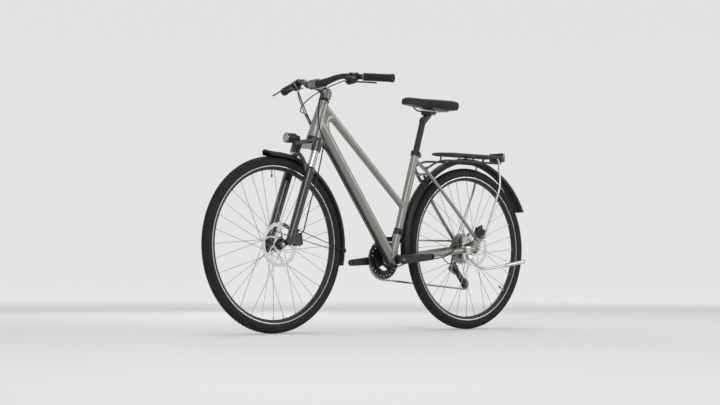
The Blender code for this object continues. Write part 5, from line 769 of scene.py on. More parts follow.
# Tyres: moulded black rubber, a round casing seated in the rim with three rows of centre blocks,
# shoulder blocks beside them and three fine raised lines on each sidewall.
TYRE_HALF = 0.021
TREAD_HEIGHT = 0.0022
RIM_EDGE = 0.317
TREAD_PITCHES = 108
WHEELS = (("front", FRONT_AXLE), ("rear", REAR_AXLE))


def round_about(axle, count):
    """Places of a shape that is repeated round an axle, as (place, turn, size)."""
    return [(axle, (0.0, -tau * number / count, 0.0), 1.0) for number in range(count)]


def casing_point(turn, lift=0.0):
    """(side, radius) on the tyre's section, 0 at the crown, lifted off its skin."""
    middle = TYRE_RADIUS - TYRE_HALF - TREAD_HEIGHT
    return ((TYRE_HALF - 0.0016 + lift) * sin(turn), middle + (TYRE_HALF - 0.0002 + lift) * cos(turn))


TYRE_RUBBER = soft_rubber("tyre rubber", "tyre_rubber", (0.011, 0.011, 0.011), (0.026, 0.026, 0.025), 0.72,
    1100.0)
block_shape = bmesh.new()
turn_step = tau / TREAD_PITCHES
for middle, half, shift, length in ((0.0, 0.15, 0.0, 0.62), (0.36, 0.15, 0.5, 0.62),
        (-0.36, 0.15, 0.5, 0.62), (0.74, 0.17, 0.0, 0.66), (-0.74, 0.17, 0.0, 0.66),
        (1.1, 0.12, 0.45, 0.45), (-1.1, 0.12, 0.45, 0.45)):
    rings = []
    for lift, size in ((-0.0006, 1.0), (TREAD_HEIGHT - 0.0005, 0.94), (TREAD_HEIGHT, 0.84)):
        ring = []
        for across, along in ((-1, -1), (1, -1), (1, 1), (-1, 1)):
            side, radius = casing_point(middle + across * half * size, lift)
            turn = turn_step * (shift + 0.5 * along * length * size
                + 0.1 * across * (1 if middle >= 0 else -1))
            ring.append(Vector((radius * cos(turn), side, radius * sin(turn))))
        rings.append(ring)
    skin_rings(block_shape, rings)
TREAD_PITCH = as_mesh("tread_pitch", block_shape, 20.0)
for label, axle in WHEELS:
    casing = bmesh.new()
    outline = [casing_point(radians(turn)) for turn in range(-126, 127, 9)]
    bead = [(0.0128, RIM_EDGE + 0.0021), (0.0106, RIM_EDGE + 0.0006), (0.0106, RIM_EDGE - 0.0062),
        (0.008, RIM_EDGE - 0.0062), (0.0078, RIM_EDGE + 0.002)]
    outline += bead
    outline += [(0.0165 * sin(radians(turn)), 0.333 + 0.0165 * cos(radians(turn)))
        for turn in range(120, -121, -40)]
    outline += [(-side, radius) for side, radius in bead[::-1]]
    turn_round(casing, outline, facing(axle, ACROSS), 144, closed=True)
    put(label + "_tyre_casing", casing, TYRE_RUBBER, label + "_wheel", label + "_tyre", crease=35.0)
    put_many(label + "_tread", TREAD_PITCH, round_about(axle, TREAD_PITCHES), TYRE_RUBBER, label + "_wheel")
    lines = bmesh.new()
    for side in (-1, 1):
        for turn in (88.0, 94.0, 104.0):
            away, radius = casing_point(radians(turn))
            out = side * away
            turn_round(lines, [(out - 0.0003, radius - 0.0005), (out + side * 0.00035, radius),
                (out - 0.0003, radius + 0.0005), (out + 0.0003 - side * 0.0009, radius)],
                facing(axle, ACROSS), 120, closed=True)
    put(label + "_sidewall_lines", lines, TYRE_RUBBER, label + "_wheel", crease=60.0)

# Wheels: black box-section rims with a machined edge on each side, thirty-two drawn spokes crossed
# three times, plated nipples, turned disc hubs and a brass valve with its ring nut and cap.
RIM_INNER = 0.2995
SPOKE_HOLES = 0.026
SPOKE_CROSSES = 3
SPOKES_A_SIDE = 16
ROTOR_SIDE = {"front": -0.0385, "rear": -0.0525}


def plain_metal(name, slot, dark, light, rough, metal=1.0, pits=0.00002):
    """Turned or cast metal whose tone and polish change a little from place to place."""
    made = finish_nodes(name, slot, rough, metal)
    shade(made, grain(made, 70.0, detail=5.0), dark, light)
    shade(made, grain(made, 160.0), rough * 0.8, rough * 1.25, socket="Roughness")
    relief(made, grain(made, 1900.0, detail=1.0), pits, 0.6)
    return made


MACHINED = plain_metal("machined rim edge", "silver", (0.5, 0.5, 0.49), (0.66, 0.66, 0.65), 0.28)
SPOKE_STEEL = plain_metal("drawn spoke steel", "steel", (0.3, 0.3, 0.3), (0.44, 0.44, 0.44), 0.3)
NIPPLE = plain_metal("plated nipple", "silver", (0.62, 0.61, 0.58), (0.78, 0.77, 0.74), 0.24)
BRASS = plain_metal("valve brass", "silver", (0.52, 0.44, 0.28), (0.66, 0.58, 0.4), 0.3)
HUB_BLACK = plain_metal("black hub shell", "hub_black", (0.014, 0.014, 0.015), (0.028, 0.028, 0.029), 0.34,
    0.4)


def spoke_set(flanges, heads):
    """Two crossing spokes from each flange, or their nipples, about an axle at the origin."""
    shape = bmesh.new()
    for index, flange in enumerate(flanges):
        for number in (0, 1):
            lean = 1 if number % 2 else -1
            hub_turn = tau * (number + 0.5 * index) / SPOKES_A_SIDE
            rim_turn = hub_turn + lean * tau * SPOKE_CROSSES / SPOKES_A_SIDE
            start = Vector((SPOKE_HOLES * cos(hub_turn), flange + lean * 0.0021,
                SPOKE_HOLES * sin(hub_turn)))
            end = Vector((RIM_INNER * cos(rim_turn), copysign(0.003, flange), RIM_INNER * sin(rim_turn)))
            along = (end - start).normalized()
            if heads:
                turn_solid(shape, [(0.0, 0.0017), (0.008, 0.0019), (0.0125, 0.0023)],
                    facing(end - 0.012 * along, along), 8)
            else:
                rod(shape, start, end - 0.002 * along, 0.001, 8, edge=0.0001)
                rod(shape, start + lean * 0.0008 * ACROSS, start - lean * 0.0048 * ACROSS, 0.0012, 8,
                    edge=0.0002)
                rod(shape, start - lean * 0.004 * ACROSS, start - lean * 0.0052 * ACROSS, 0.0021, 10,
                    edge=0.0003)
    return as_mesh("spoke_shape", shape, 30.0)


HUBS = (("front", FRONT_AXLE, -0.048, 0.048, -0.028, 0.034, 0.0048, 92.0),
    ("rear", REAR_AXLE, -0.0545, 0.0255, -0.035, 0.018, 0.0053, -38.0))
for label, axle, left, right, flange_left, flange_right, bore, valve_turn in HUBS:
    wheel, rotor_side = label + "_wheel", ROTOR_SIDE[label]
    rim = bmesh.new()
    half = [(0.011, RIM_EDGE - 0.0004), (0.011, 0.3112), (0.008, 0.3104), (0.0, 0.3098)]
    low = [(0.0125, RIM_EDGE - 0.0004), (0.0125, 0.31), (0.0119, 0.3068), (0.01, 0.303), (0.008, 0.3006),
        (0.0055, 0.2996), (0.0, RIM_INNER)]
    outline = half + [(-side, radius) for side, radius in half[-2::-1]]
    outline += [(-side, radius) for side, radius in low[:-1]] + low[::-1]
    turn_round(rim, outline, facing(axle, ACROSS), 168, closed=True)
    put(label + "_rim_hoop", rim, SATIN, wheel, label + "_rim", crease=35.0)
    edges = bmesh.new()
    for side in (-1, 1):
        turn_round(edges, [(side * 0.0109, RIM_EDGE - 0.0008), (side * 0.011, RIM_EDGE),
            (side * 0.0125, RIM_EDGE), (side * 0.0129, RIM_EDGE - 0.0006),
            (side * 0.0129, RIM_EDGE - 0.0042), (side * 0.0124, RIM_EDGE - 0.0048)], facing(axle, ACROSS),
            168, closed=True)
    put(label + "_rim_edges", edges, MACHINED, wheel, crease=40.0)
    for kind, heads, finish in (("spokes", False, SPOKE_STEEL), ("nipples", True, NIPPLE)):
        put_many(label + "_" + kind, spoke_set((flange_left, flange_right), heads),
            round_about(axle, SPOKES_A_SIDE // 2), finish, wheel)
    hub = bmesh.new()
    turn_round(hub, [(left, bore), (left, 0.009), (left + 0.0006, 0.0095), (rotor_side - 0.003, 0.015),
        (rotor_side - 0.0014, 0.0213), (rotor_side + 0.0012, 0.0213), (rotor_side + 0.0012, 0.029),
        (flange_left - 0.006, 0.024), (flange_left - 0.0024, 0.0296), (flange_left - 0.0018, 0.031),
        (flange_left + 0.0018, 0.031), (flange_left + 0.0025, 0.0302), (flange_left + 0.0032, 0.0215),
        (flange_left + 0.008, 0.0176), ((flange_left + flange_right) / 2, 0.016),
        (flange_right - 0.008, 0.0176), (flange_right - 0.0032, 0.0215), (flange_right - 0.0025, 0.0302),
        (flange_right - 0.0018, 0.031), (flange_right + 0.0018, 0.031), (flange_right + 0.0025, 0.03),
        (right - 0.003, 0.015), (right, 0.013), (right, bore)], facing(axle, ACROSS), 56, closed=True)
    put(label + "_hub_shell", hub, HUB_BLACK, wheel, label + "_hub_spokes", crease=32.0)
    foot = about(axle, RIM_INNER, valve_turn)
    inward = (axle - foot).normalized()
    valve = bmesh.new()
    turn_round(valve, [(-0.004, 0.0), (-0.004, 0.0034), (0.0, 0.0034), (0.0, 0.0058), (0.0024, 0.0058),
        (0.003, 0.005), (0.003, 0.0029)] + [(0.0034 + 0.0008 * step, 0.0029 if step % 2 else 0.0026)
        for step in range(19)] + [(0.0184, 0.0022), (0.02, 0.0)], facing(foot, inward), 20)
    put(label + "_valve_stem", valve, BRASS, wheel, crease=35.0)
    cap = bmesh.new()
    turn_round(cap, [(0.019, 0.0), (0.019, 0.0036), (0.026, 0.0034), (0.0292, 0.0024), (0.0298, 0.0)],
        facing(foot, inward), 20)
    put(label + "_valve_cap", cap, RUBBER, wheel, crease=35.0)

# Axles: bright ground steel spindles with thin six-sided lock nuts inside the dropouts and domed
# end nuts outside them.
for label, axle, radius, inner_left, inner_right, face, outer, nut, body in (
        ("front", FRONT_AXLE, 0.0045, -0.0483, 0.0483, 0.0503, 0.0593, 0.0085, "fork_lower"),
        ("rear", REAR_AXLE, 0.005, -0.0548, 0.0658, 0.0675, 0.0735, 0.009, "frame")):
    end = outer + 0.0083
    spindle = bmesh.new()
    turn_solid(spindle, [(-end + 0.001, radius), (end - 0.001, radius)], facing(axle, ACROSS), 28)
    for side, inner in ((-1, inner_left), (1, inner_right)):
        slab(spindle, circle(axle.x, axle.z, nut, 12)[1::2], inner, side * (face - SEAT_GAP), edge=0.0004)
        dome = [(0.0003, 0.0), (0.0003, nut), (0.0012, nut), (0.0014, nut * 0.93), (0.0055, nut * 0.9),
            (0.0072, nut * 0.66), (0.008, nut * 0.36), (0.0083, 0.0)]
        turn_round(spindle, dome, facing(axle + side * outer * ACROSS, side * ACROSS), 36)
    put(label + "_axle_set", spindle, BOLT_STEEL, body, label + "_axle")

# Brake rotors: stamped stainless discs, a wavy drilled braking ring on six leaning arms, bolted to
# the hub with six low screws.
ROTOR_STEEL = plain_metal("ground rotor steel", "steel", (0.6, 0.6, 0.59), (0.78, 0.78, 0.77), 0.24)


def cut_plate(shape, loops, half, place, edge=0.00015):
    """Flat stamping from an outline and the loops cut out of it, with eased edges."""
    curve = bpy.data.curves.new("stamping", "CURVE")
    curve.dimensions = "2D"
    curve.fill_mode = "BOTH"
    curve.extrude = half - edge
    curve.bevel_depth = edge
    curve.bevel_resolution = 0
    curve.offset = -edge
    for loop in loops:
        line = curve.splines.new("POLY")
        line.points.add(len(loop) - 1)
        line.points.foreach_set("co", [part for x, z in loop for part in (x, z, 0.0, 1.0)])
        line.use_cyclic_u = True
    holder = bpy.data.objects.new("stamping", curve)
    mesh = bpy.data.meshes.new_from_object(holder)
    mesh.transform(place)
    start = len(shape.verts)
    shape.from_mesh(mesh)
    shape.verts.ensure_lookup_table()
    bmesh.ops.remove_doubles(shape, verts=shape.verts[start:], dist=0.00002)
    bpy.data.objects.remove(holder, do_unlink=True)
    bpy.data.meshes.remove(mesh)
    bpy.data.curves.remove(curve)


def polar(radius, degrees):
    """Point of a plate at a radius and an angle."""
    return (radius * cos(radians(degrees)), radius * sin(radians(degrees)))


def standing(side):
    """Placement of a stamping in the X-Z plane, at a distance to one side."""
    return Matrix.Translation(side * ACROSS) @ UPRIGHT


ROTOR_RADIUS = {"front": 0.09, "rear": 0.08}
ARM_ROOT = 0.0315
for label, axle in WHEELS:
    side, radius = ROTOR_SIDE[label], ROTOR_RADIUS[label]
    inner = radius - 0.0155
    loops = [[polar(radius - 0.0008 + 0.0008 * cos(radians(30.0 * step)), 3.0 * step)
        for step in range(120)], circle(0.0, 0.0, 0.0222, 36)]
    for number in range(6):
        low, high = 60.0 * number + 8.0, 60.0 * number + 68.0
        window = [polar(ARM_ROOT, low + 6.5 + (47.0 * step / 6)) for step in range(7)]
        window += [polar(ARM_ROOT + (inner - ARM_ROOT) * share, high - 6.5 + 38.0 * share)
            for share in (0.35, 0.7)]
        window += [polar(inner + 0.0006 * cos(radians(36.0 * step)), high + 28.5 - 53.0 * step / 10)
            for step in range(11)]
        window += [polar(ARM_ROOT + (inner - ARM_ROOT) * share, low + 6.5 + 27.0 * share)
            for share in (0.7, 0.35)]
        loops.append(window)
        loops.append(circle(*polar(0.0268, low - 1.0), 0.0013, 8))
    for number in range(60):
        loops.append(circle(*polar(radius - (0.0038, 0.0078, 0.0118)[number % 3], 6.0 * number + 1.5),
            0.0019, 8))
    disc = bmesh.new()
    cut_plate(disc, loops, 0.0009, Matrix.Translation(axle) @ standing(side))
    put(label + "_rotor_disc", disc, ROTOR_STEEL, label + "_wheel", label + "_rotor")
    bolts(label + "_rotor_bolts", label + "_wheel", [(about(axle, 0.0262, 60.0 * number + 38.0,
        side - 0.0009), -ACROSS, 0.0024) for number in range(6)])

# Brake calipers: two cast halves and a bridge over the disc, with a turned piston cap and three
# screws on the inner side and a hose eye on the outer one, all anodised black.


def brick(shape, centre, size, axes=None, edge=0.0008):
    """Block with all its edges eased, turned to the given axes."""
    turn = Matrix(axes).transposed() if axes else Matrix.Identity(3)
    place = Matrix.Translation(centre) @ turn.to_4x4()
    made = bmesh.ops.create_cube(shape, size=1.0, matrix=place @ Matrix.Diagonal((*size, 1.0)))["verts"]
    edges = list({line for vert in made for line in vert.link_edges})
    bmesh.ops.bevel(shape, geom=edges, offset=edge, segments=2, profile=0.6, affect="EDGES")


for label, axle, degrees, near, far, outer, inner, body in (
        ("front", FRONT_AXLE, 12.0, 0.062, 0.106, -0.0582, -0.0292, "fork_lower"),
        ("rear", REAR_AXLE, 66.0, 0.052, 0.096, -0.0677, -0.0405, "frame")):
    side = ROTOR_SIDE[label]
    turn = radians(degrees)
    radial = Vector((cos(turn), 0.0, sin(turn)))
    tangent = Vector((-sin(turn), 0.0, cos(turn)))
    axes = (radial, ACROSS, tangent)
    caliper = bmesh.new()
    open_to = ROTOR_RADIUS[label] + 0.003
    for low, high in ((outer, side - 0.0019), (side + 0.0019, inner)):
        centre = axle + (near + far) / 2 * radial + (low + high) / 2 * ACROSS
        brick(caliper, centre, (far - near, high - low, 0.034), axes, 0.0022)
        brick(caliper, centre + 0.006 * radial, (far - near - 0.014, (high - low) * 0.92, 0.042), axes,
            0.0022)
    bridge = axle + (open_to + far) / 2 * radial + (outer + inner) / 2 * ACROSS
    brick(caliper, bridge, (far - open_to - 0.0006, inner - outer - 0.001, 0.03), axes, 0.0016)
    middle = axle + ((near + far) / 2 + 0.001) * radial
    turn_solid(caliper, [(0.0, 0.0128), (0.0022, 0.0125), (0.003, 0.0116), (0.003, 0.0072),
        (0.0022, 0.0066)], facing(middle + (inner - 0.0004) * ACROSS, ACROSS), 36)
    hose_eye = middle + 0.02 * radial + (outer + 0.004) * ACROSS
    rod(caliper, hose_eye, hose_eye + 0.024 * tangent, 0.0042, 20)
    put(label + "_caliper_castings", caliper, SATIN, body, label + "_caliper", crease=35.0)
    spots = [(middle + reach * radial + (inner - 0.0002) * ACROSS + shift * tangent, ACROSS, 0.0026)
        for reach, shift in ((0.016, 0.014), (0.016, -0.014), (-0.014, 0.012))]
    bolts(label + "_caliper_bolts", body, spots)

# Mudguards: strips of pressed black plastic, crowned and rolled at the edges, held by short pins
# from the fork's arch, the frame's bridges and the rack; the front one has two wire stays in clips.
GUARD_HALF = 0.0265
GUARD_WALL = 0.0014
GUARD_STEPS = 72
FRONT_GUARD = 0.3745
STAY_CLIP = (0.36, -3.0)
RACK_FOOT = 0.7619
GUARD_BLACK = soft_rubber("satin black mudguard", "guard_black", (0.012, 0.012, 0.013),
    (0.022, 0.022, 0.023), 0.36)


def angle_of(way):
    """Angle in degrees of a way in the X-Z plane, 0 to the rear and 90 up."""
    return atan2(way.z, way.x) / radians(1.0)


def front_guard(degrees):
    """Radius of the front guard, kicked up at its tip."""
    return FRONT_GUARD + 0.008 * (max(0.0, degrees - 88.0) / 9.0) ** 2


def rear_guard(degrees):
    """Radius of the rear guard, closing in towards its tail."""
    return 0.404 - 0.015 * (degrees - 25.0) / 162.0


for label, axle, radius_at, first, last, body in (("front", FRONT_AXLE, front_guard, -12.5, 97.0,
        "fork_lower"), ("rear", REAR_AXLE, rear_guard, 25.0, 187.0, "frame")):
    shell = bmesh.new()
    lean = radians(78.0)
    rims = {-1: [], 1: []}
    rings = []
    for index in range(GUARD_STEPS + 1):
        ring = []
        for wall, order in ((0.0, range(15)), (GUARD_WALL, range(14, -1, -1))):
            for step in order:
                turn = lean * (step / 7 - 1)
                drop = 0.02 * (1 - cos(turn)) / (1 - cos(lean))
                side = (GUARD_HALF - wall) * sin(turn) / sin(lean)
                low, high = (pull + 1.6 * abs(side / GUARD_HALF) ** 5 * way
                    for pull, way in ((first, 1), (last, -1)))
                degrees = low + (high - low) * index / GUARD_STEPS
                ring.append(about(axle, radius_at(degrees) - drop - wall, degrees, side))
                if not wall and step in (0, 14):
                    rims[-1 if step == 0 else 1].append(about(axle, radius_at(degrees) - drop, degrees,
                        copysign(GUARD_HALF - 0.001, side)))
        rings.append(ring)
    skin_rings(shell, rings)
    for side in (-1, 1):
        tube(shell, rims[side], 0.001, steps=8)
    if label == "front":
        arch = ARCH_TOP - axle
        turn = angle_of(arch)
        rod(shell, about(axle, FRONT_GUARD - 0.001, turn), about(axle, arch.length - 0.0088, turn), 0.006,
            20)
        for side, name in SIDES:
            brick(shell, about(axle, *STAY_CLIP, side * 0.027), (0.012, 0.002, 0.016), None, 0.0008)
            anchor = about(axle, STAY_CLIP[0] - 0.0015, STAY_CLIP[1], side * 0.0271)
            eye = steer(*GUARD_EYE, side * 0.0763)
            bend = eye + 0.006 * (anchor - eye).normalized() + side * 0.0014 * ACROSS
            tube(shell, eased_path([eye, bend, eye.lerp(anchor, 0.5), anchor]), 0.0016, steps=10)
            sleeve(shell, eye - 0.0019 * ACROSS, eye + 0.0019 * ACROSS, 0.005, 0.002, 20, 0.0003)
            bolts("front_stay_bolt_" + name, "fork_lower", [(eye + side * 0.0019 * ACROSS, side * ACROSS,
                0.0034)])
    else:
        for spot, width in ((STAY_BRIDGE, BRIDGE_RADIUS), (LOW_BRIDGE, LOW_BRIDGE_RADIUS)):
            away = spot - axle
            turn = angle_of(away)
            rod(shell, about(axle, radius_at(turn) - 0.001, turn), about(axle, away.length - 0.008, turn),
                width, 20)
        rod(shell, about(axle, radius_at(90.0) - 0.001, 90.0), Vector((axle.x, 0.0, RACK_FOOT)), 0.006, 20)
    put(label + "_guard_shell", shell, GUARD_BLACK, body, label + "_mudguard", crease=40.0)

# Bottom bracket: two threaded alloy cups with tool notches, anodised black, screwed into the
# frame's shell from both sides.
cups = bmesh.new()
for side in (-1, 1):
    notched = [circle(CRANK_AXLE.x, CRANK_AXLE.z, 0.0205 if step % 4 < 3 else 0.019, 64)[step]
        for step in range(64)]
    slab(cups, notched, side * 0.0343, side * 0.0372, edge=0.0003)
put("bottom_bracket_cups", cups, SATIN, "frame", "bottom_bracket")

# Crankset: forged black arms on a steel spindle, a four-armed spider and two stamped rings
# riveted to it, with the teeth of the half-inch pitch.
CRANK_LENGTH = 0.17
CRANK_TURN = 4.6
CRANK_SIDE = 0.069
RING_TEETH = (42, 30)
RING_SIDES = (0.05, 0.0425)
HALF_PITCH = 0.00635
RING_BLACK = plain_metal("black chainring", "satin_black", (0.016, 0.016, 0.017), (0.034, 0.034, 0.035),
    0.36, 0.5)
COG_STEEL = plain_metal("nickelled cog steel", "steel", (0.26, 0.26, 0.25), (0.4, 0.4, 0.39), 0.3)


def pitch_radius(teeth):
    """Radius of the circle on which a chain's pins lie round a wheel."""
    return HALF_PITCH / sin(pi / teeth)


def toothed(teeth, centre, turn=0.0):
    """Outline of a chain wheel's teeth about a point of the X-Z plane."""
    loop = []
    for tooth in range(teeth):
        for share, lift in ((-0.5, -0.004), (-0.3, -0.0034), (-0.2, -0.0014), (-0.07, 0.002), (0.07, 0.002),
                (0.2, -0.0014), (0.3, -0.0034)):
            spot = polar(pitch_radius(teeth) + lift, turn + 360.0 * (tooth + share) / teeth)
            loop.append((centre.x + spot[0], centre.z + spot[1]))
    return loop


def ring_about(centre, radius, steps=40, reach=0.0, degrees=0.0):
    """Round loop about a point of the X-Z plane, or about one at a reach and an angle from it."""
    spot = polar(reach, degrees)
    return circle(centre.x + spot[0], centre.z + spot[1], radius, steps)


for side, name in SIDES:
    end = about(CRANK_AXLE, -side * CRANK_LENGTH, CRANK_TURN)
    arm = bmesh.new()
    cut_plate(arm, [hull([(CRANK_AXLE.x, CRANK_AXLE.z, 0.0195), (end.x, end.z, 0.0135)], 12),
        ring_about(end, 0.0065, 24)], 0.007, standing(side * CRANK_SIDE), 0.0026)
    turn_solid(arm, [(0.0, 0.0118), (0.0006, 0.0112), (0.0008, 0.0064), (-0.004, 0.0055)],
        facing(CRANK_AXLE + side * 0.076 * ACROSS, side * ACROSS), 32)
    sleeve(arm, end + side * 0.062 * ACROSS, end + side * 0.0762 * ACROSS, 0.0092, 0.0066, 32, 0.0004)
    put("crank_arm_" + name, arm, SATIN, "crankset", "crank_" + name)
    bolts("crank_bolt_" + name, "crankset", [(CRANK_AXLE + side * 0.0728 * ACROSS, side * ACROSS, 0.005)])
spider = bmesh.new()
turn_solid(spider, [(-0.0718, 0.012), (0.0485, 0.012), (0.0492, 0.0185), (0.075, 0.0185)],
    facing(CRANK_AXLE, ACROSS), 40)
star = [about(CRANK_AXLE, reach, 90.0 * number + degrees) for number in range(4)
    for degrees, reach in ((-5.0, 0.023), (29.0, 0.044), (32.0, 0.0575), (48.0, 0.0575), (51.0, 0.044))]
slab(spider, [(spot.x, spot.z) for spot in star], 0.0512, 0.056, edge=0.001)
for teeth, side in zip(RING_TEETH, RING_SIDES):
    loops = [toothed(teeth, CRANK_AXLE), ring_about(CRANK_AXLE, 0.046, 64)]
    if teeth == RING_TEETH[0]:
        loops += [ring_about(CRANK_AXLE, 0.0024, 10, 0.072 - 0.004 * (number % 2), 15.0 * number)
            for number in range(24)]
    cut_plate(spider, loops, 0.0009, standing(side), 0.0002)
for number in range(4):
    spot = about(CRANK_AXLE, 0.052, 90.0 * number + 40.0)
    rod(spider, spot + 0.0405 * ACROSS, spot + 0.0562 * ACROSS, 0.004, 20)
put("chainring_set", spider, RING_BLACK, "crankset", "chainrings")

# Cassette: nine cogs stamped from steel and nickelled, slid on the splines of a black carrier and
# held there by a lock ring.
COG_TEETH = (11, 13, 15, 17, 20, 23, 26, 30, 34)
COG_SPACING = 0.00434
SMALL_COG_SIDE = 0.06302
cogs = bmesh.new()
for index, teeth in enumerate(COG_TEETH):
    radius = pitch_radius(teeth)
    loops = [toothed(teeth, REAR_AXLE, 5.0 * index), ring_about(REAR_AXLE, 0.0174, 32)]
    if radius > 0.039:
        for number in range(7):
            window = [polar(radius - 0.0095, 360.0 * number / 7 + 6.0 * step - 12.0) for step in range(5)]
            window += [polar(0.0245, 360.0 * number / 7 + 18.0 - 8.0 * step) for step in range(5)]
            loops.append([(REAR_AXLE.x + x, REAR_AXLE.z + z) for x, z in window])
    cut_plate(cogs, loops, 0.0008, standing(SMALL_COG_SIDE - COG_SPACING * index), 0.0002)
put("cassette_cogs", cogs, COG_STEEL, "rear_sprockets", "cassette")
carrier = bmesh.new()
sleeve(carrier, REAR_AXLE + 0.026 * ACROSS, REAR_AXLE + 0.064 * ACROSS, 0.0175, 0.011, 40, 0.0004)
for number in range(5):
    arm = about(Vector(), 1.0, 72.0 * number)
    brick(carrier, about(REAR_AXLE, 0.02, 72.0 * number, 0.0345), (0.022, 0.015, 0.007),
        (arm, ACROSS, arm.cross(ACROSS)), 0.001)
sleeve(carrier, REAR_AXLE + 0.0637 * ACROSS, REAR_AXLE + 0.0655 * ACROSS, 0.017, 0.0108, 40, 0.0004)
put("cassette_carrier", carrier, RING_BLACK, "rear_sprockets")

# Chain: bushed half-inch roller chain, plain steel, inner and outer links taking turns along
# its run over the ring, the cog and the two pulleys.
GUIDE = Vector((0.53, 0.0, 0.268))
TENSION = Vector((0.592, 0.0, 0.198))
PULLEY_TEETH = 11
DRIVEN_COG = 17
CHAIN_SIDE = 0.05
CHAIN_STEEL = plain_metal("oiled chain steel", "steel", (0.2, 0.2, 0.19), (0.42, 0.42, 0.41), 0.28)


def chain_runs(wheels):
    """Straight runs between each wheel and the next, as pairs of points."""
    runs = []
    for index, (centre, teeth, turn) in enumerate(wheels):
        other, other_teeth, other_turn = wheels[(index + 1) % len(wheels)]
        gap = other - centre
        offset = other_turn * pitch_radius(other_teeth) - turn * pitch_radius(teeth)
        lean = atan2(gap.z, gap.x) + acos(offset / gap.length)
        normal = Vector((cos(lean), 0.0, sin(lean)))
        runs.append((centre - turn * pitch_radius(teeth) * normal,
            other - other_turn * pitch_radius(other_teeth) * normal))
    return runs


def chain_spots():
    """Middle and turn of every link along the closed run."""
    wheels = ((REAR_AXLE, DRIVEN_COG, 1), (CRANK_AXLE, RING_TEETH[0], 1), (TENSION, PULLEY_TEETH, 1),
        (GUIDE, PULLEY_TEETH, -1))
    runs = chain_runs(wheels)
    path = []
    for index, (centre, teeth, turn) in enumerate(wheels):
        arrive, leave = runs[index - 1][1] - centre, runs[index][0] - centre
        first = atan2(arrive.z, arrive.x)
        swing = (atan2(leave.z, leave.x) - first) * turn % tau
        steps = max(2, round(swing / 0.03))
        path += [centre + pitch_radius(teeth) * Vector((cos(first + turn * swing * step / steps), 0.0,
            sin(first + turn * swing * step / steps))) for step in range(steps + 1)]
    lengths = [0.0]
    for one, two in zip(path, path[1:] + path[:1]):
        lengths.append(lengths[-1] + (two - one).length)
    count = 2 * round(lengths[-1] / (4 * HALF_PITCH))
    pins, index = [], 0
    for number in range(count):
        goal = lengths[-1] * number / count
        while lengths[index + 1] < goal:
            index += 1
        share = (goal - lengths[index]) / (lengths[index + 1] - lengths[index])
        pins.append(path[index].lerp(path[(index + 1) % len(path)], share))
    return [((one + two) / 2 + CHAIN_SIDE * ACROSS, two - one)
        for one, two in zip(pins, pins[1:] + pins[:1])]


plate = [(-0.0105, 0.0), (-0.0093, 0.003), (-0.0063, 0.0042), (-0.0035, 0.0034), (0.0, 0.0027),
    (0.0035, 0.0034), (0.0063, 0.0042), (0.0093, 0.003), (0.0105, 0.0)]
plate += [(x, -z) for x, z in plate[-2:0:-1]]
spots = chain_spots()
for first, kind, near, radius, reach, nodes in ((0, "inner", 0.0013, 0.0039, 0.0012, ("chain",)),
        (1, "outer", 0.0022, 0.0018, 0.0033, ())):
    link = bmesh.new()
    for low, high in ((near, near + 0.0008), (-near - 0.0008, -near)):
        skin_rings(link, [[Vector((x, height, z)) for x, z in plate] for height in (low, high)])
    for end in (-HALF_PITCH, HALF_PITCH):
        skin_rings(link, [[Vector((x, height, z)) for x, z in circle(end, 0.0, radius, 8)]
            for height in (-reach, reach)])
    put_many(kind + "_links", as_mesh("link", link, 30.0), [(spot, (0.0, -atan2(way.z, way.x), 0.0), 1.0)
        for spot, way in spots[first::2]], CHAIN_STEEL, "frame", *nodes)

# Rear derailleur: black alloy knuckles and links bolted to the hanger, and a stamped cage with two
# moulded pulleys turning on screws through it.
PLASTIC = soft_rubber("moulded black plastic", "black_plastic", (0.01, 0.01, 0.011), (0.021, 0.021, 0.022),
    0.42)
changer = bmesh.new()
turn_solid(changer, [(0.0733, 0.0117), (0.0741, 0.0125), (0.0866, 0.0125), (0.088, 0.011)],
    facing(HANGER_BOLT, ACROSS), 40)
rod(changer, HANGER_BOLT + 0.068 * ACROSS, HANGER_BOLT + 0.074 * ACROSS, 0.005, 24)
turn_solid(changer, [(0.0563, 0.0122), (0.0571, 0.013), (0.0764, 0.013), (0.078, 0.0112)],
    facing(GUIDE, ACROSS), 40)
start, end = HANGER_BOLT + 0.0815 * ACROSS, GUIDE + 0.069 * ACROSS
along = (end - start).normalized()
flat = along.cross(UP).cross(along).normalized()
axes = (along, flat.cross(along).normalized(), flat)
for shift in (-0.0062, 0.0062):
    brick(changer, (start + end) / 2 + shift * axes[1], ((end - start).length, 0.0042, 0.012), axes, 0.0012)
for share in (0.28, 0.72):
    spot = start.lerp(end, share)
    rod(changer, spot - 0.0085 * axes[1], spot + 0.0085 * axes[1], 0.0036, 20)
put("rear_changer", changer, SATIN, "frame", "rear_derailleur", crease=32.0)
bolts("rear_changer_bolts", "frame", [(HANGER_BOLT + 0.088 * ACROSS, ACROSS, 0.0052),
    (GUIDE + 0.078 * ACROSS, ACROSS, 0.0048)])
cage = bmesh.new()
for low, high in ((0.0545, 0.056), (0.044, 0.0455)):
    slot_ends = [GUIDE.lerp(TENSION, share) for share in (0.34, 0.66)]
    cut_plate(cage, [hull([(GUIDE.x, GUIDE.z, 0.01), (TENSION.x, TENSION.z, 0.012)], 8),
        hull([(spot.x, spot.z, 0.0045) for spot in slot_ends], 4)], (high - low) / 2,
        standing((low + high) / 2), 0.0002)
for spot in (GUIDE, TENSION):
    rod(cage, spot + 0.0442 * ACROSS, spot + 0.0559 * ACROSS, 0.0025, 20)
put("pulley_cage", cage, RING_BLACK, "frame", "derailleur_cage")
bolts("pulley_cage_bolts", "frame", [(spot + reach * ACROSS, way * ACROSS, 0.003)
    for spot in (GUIDE, TENSION) for reach, way in ((0.056, 1), (0.044, -1))])
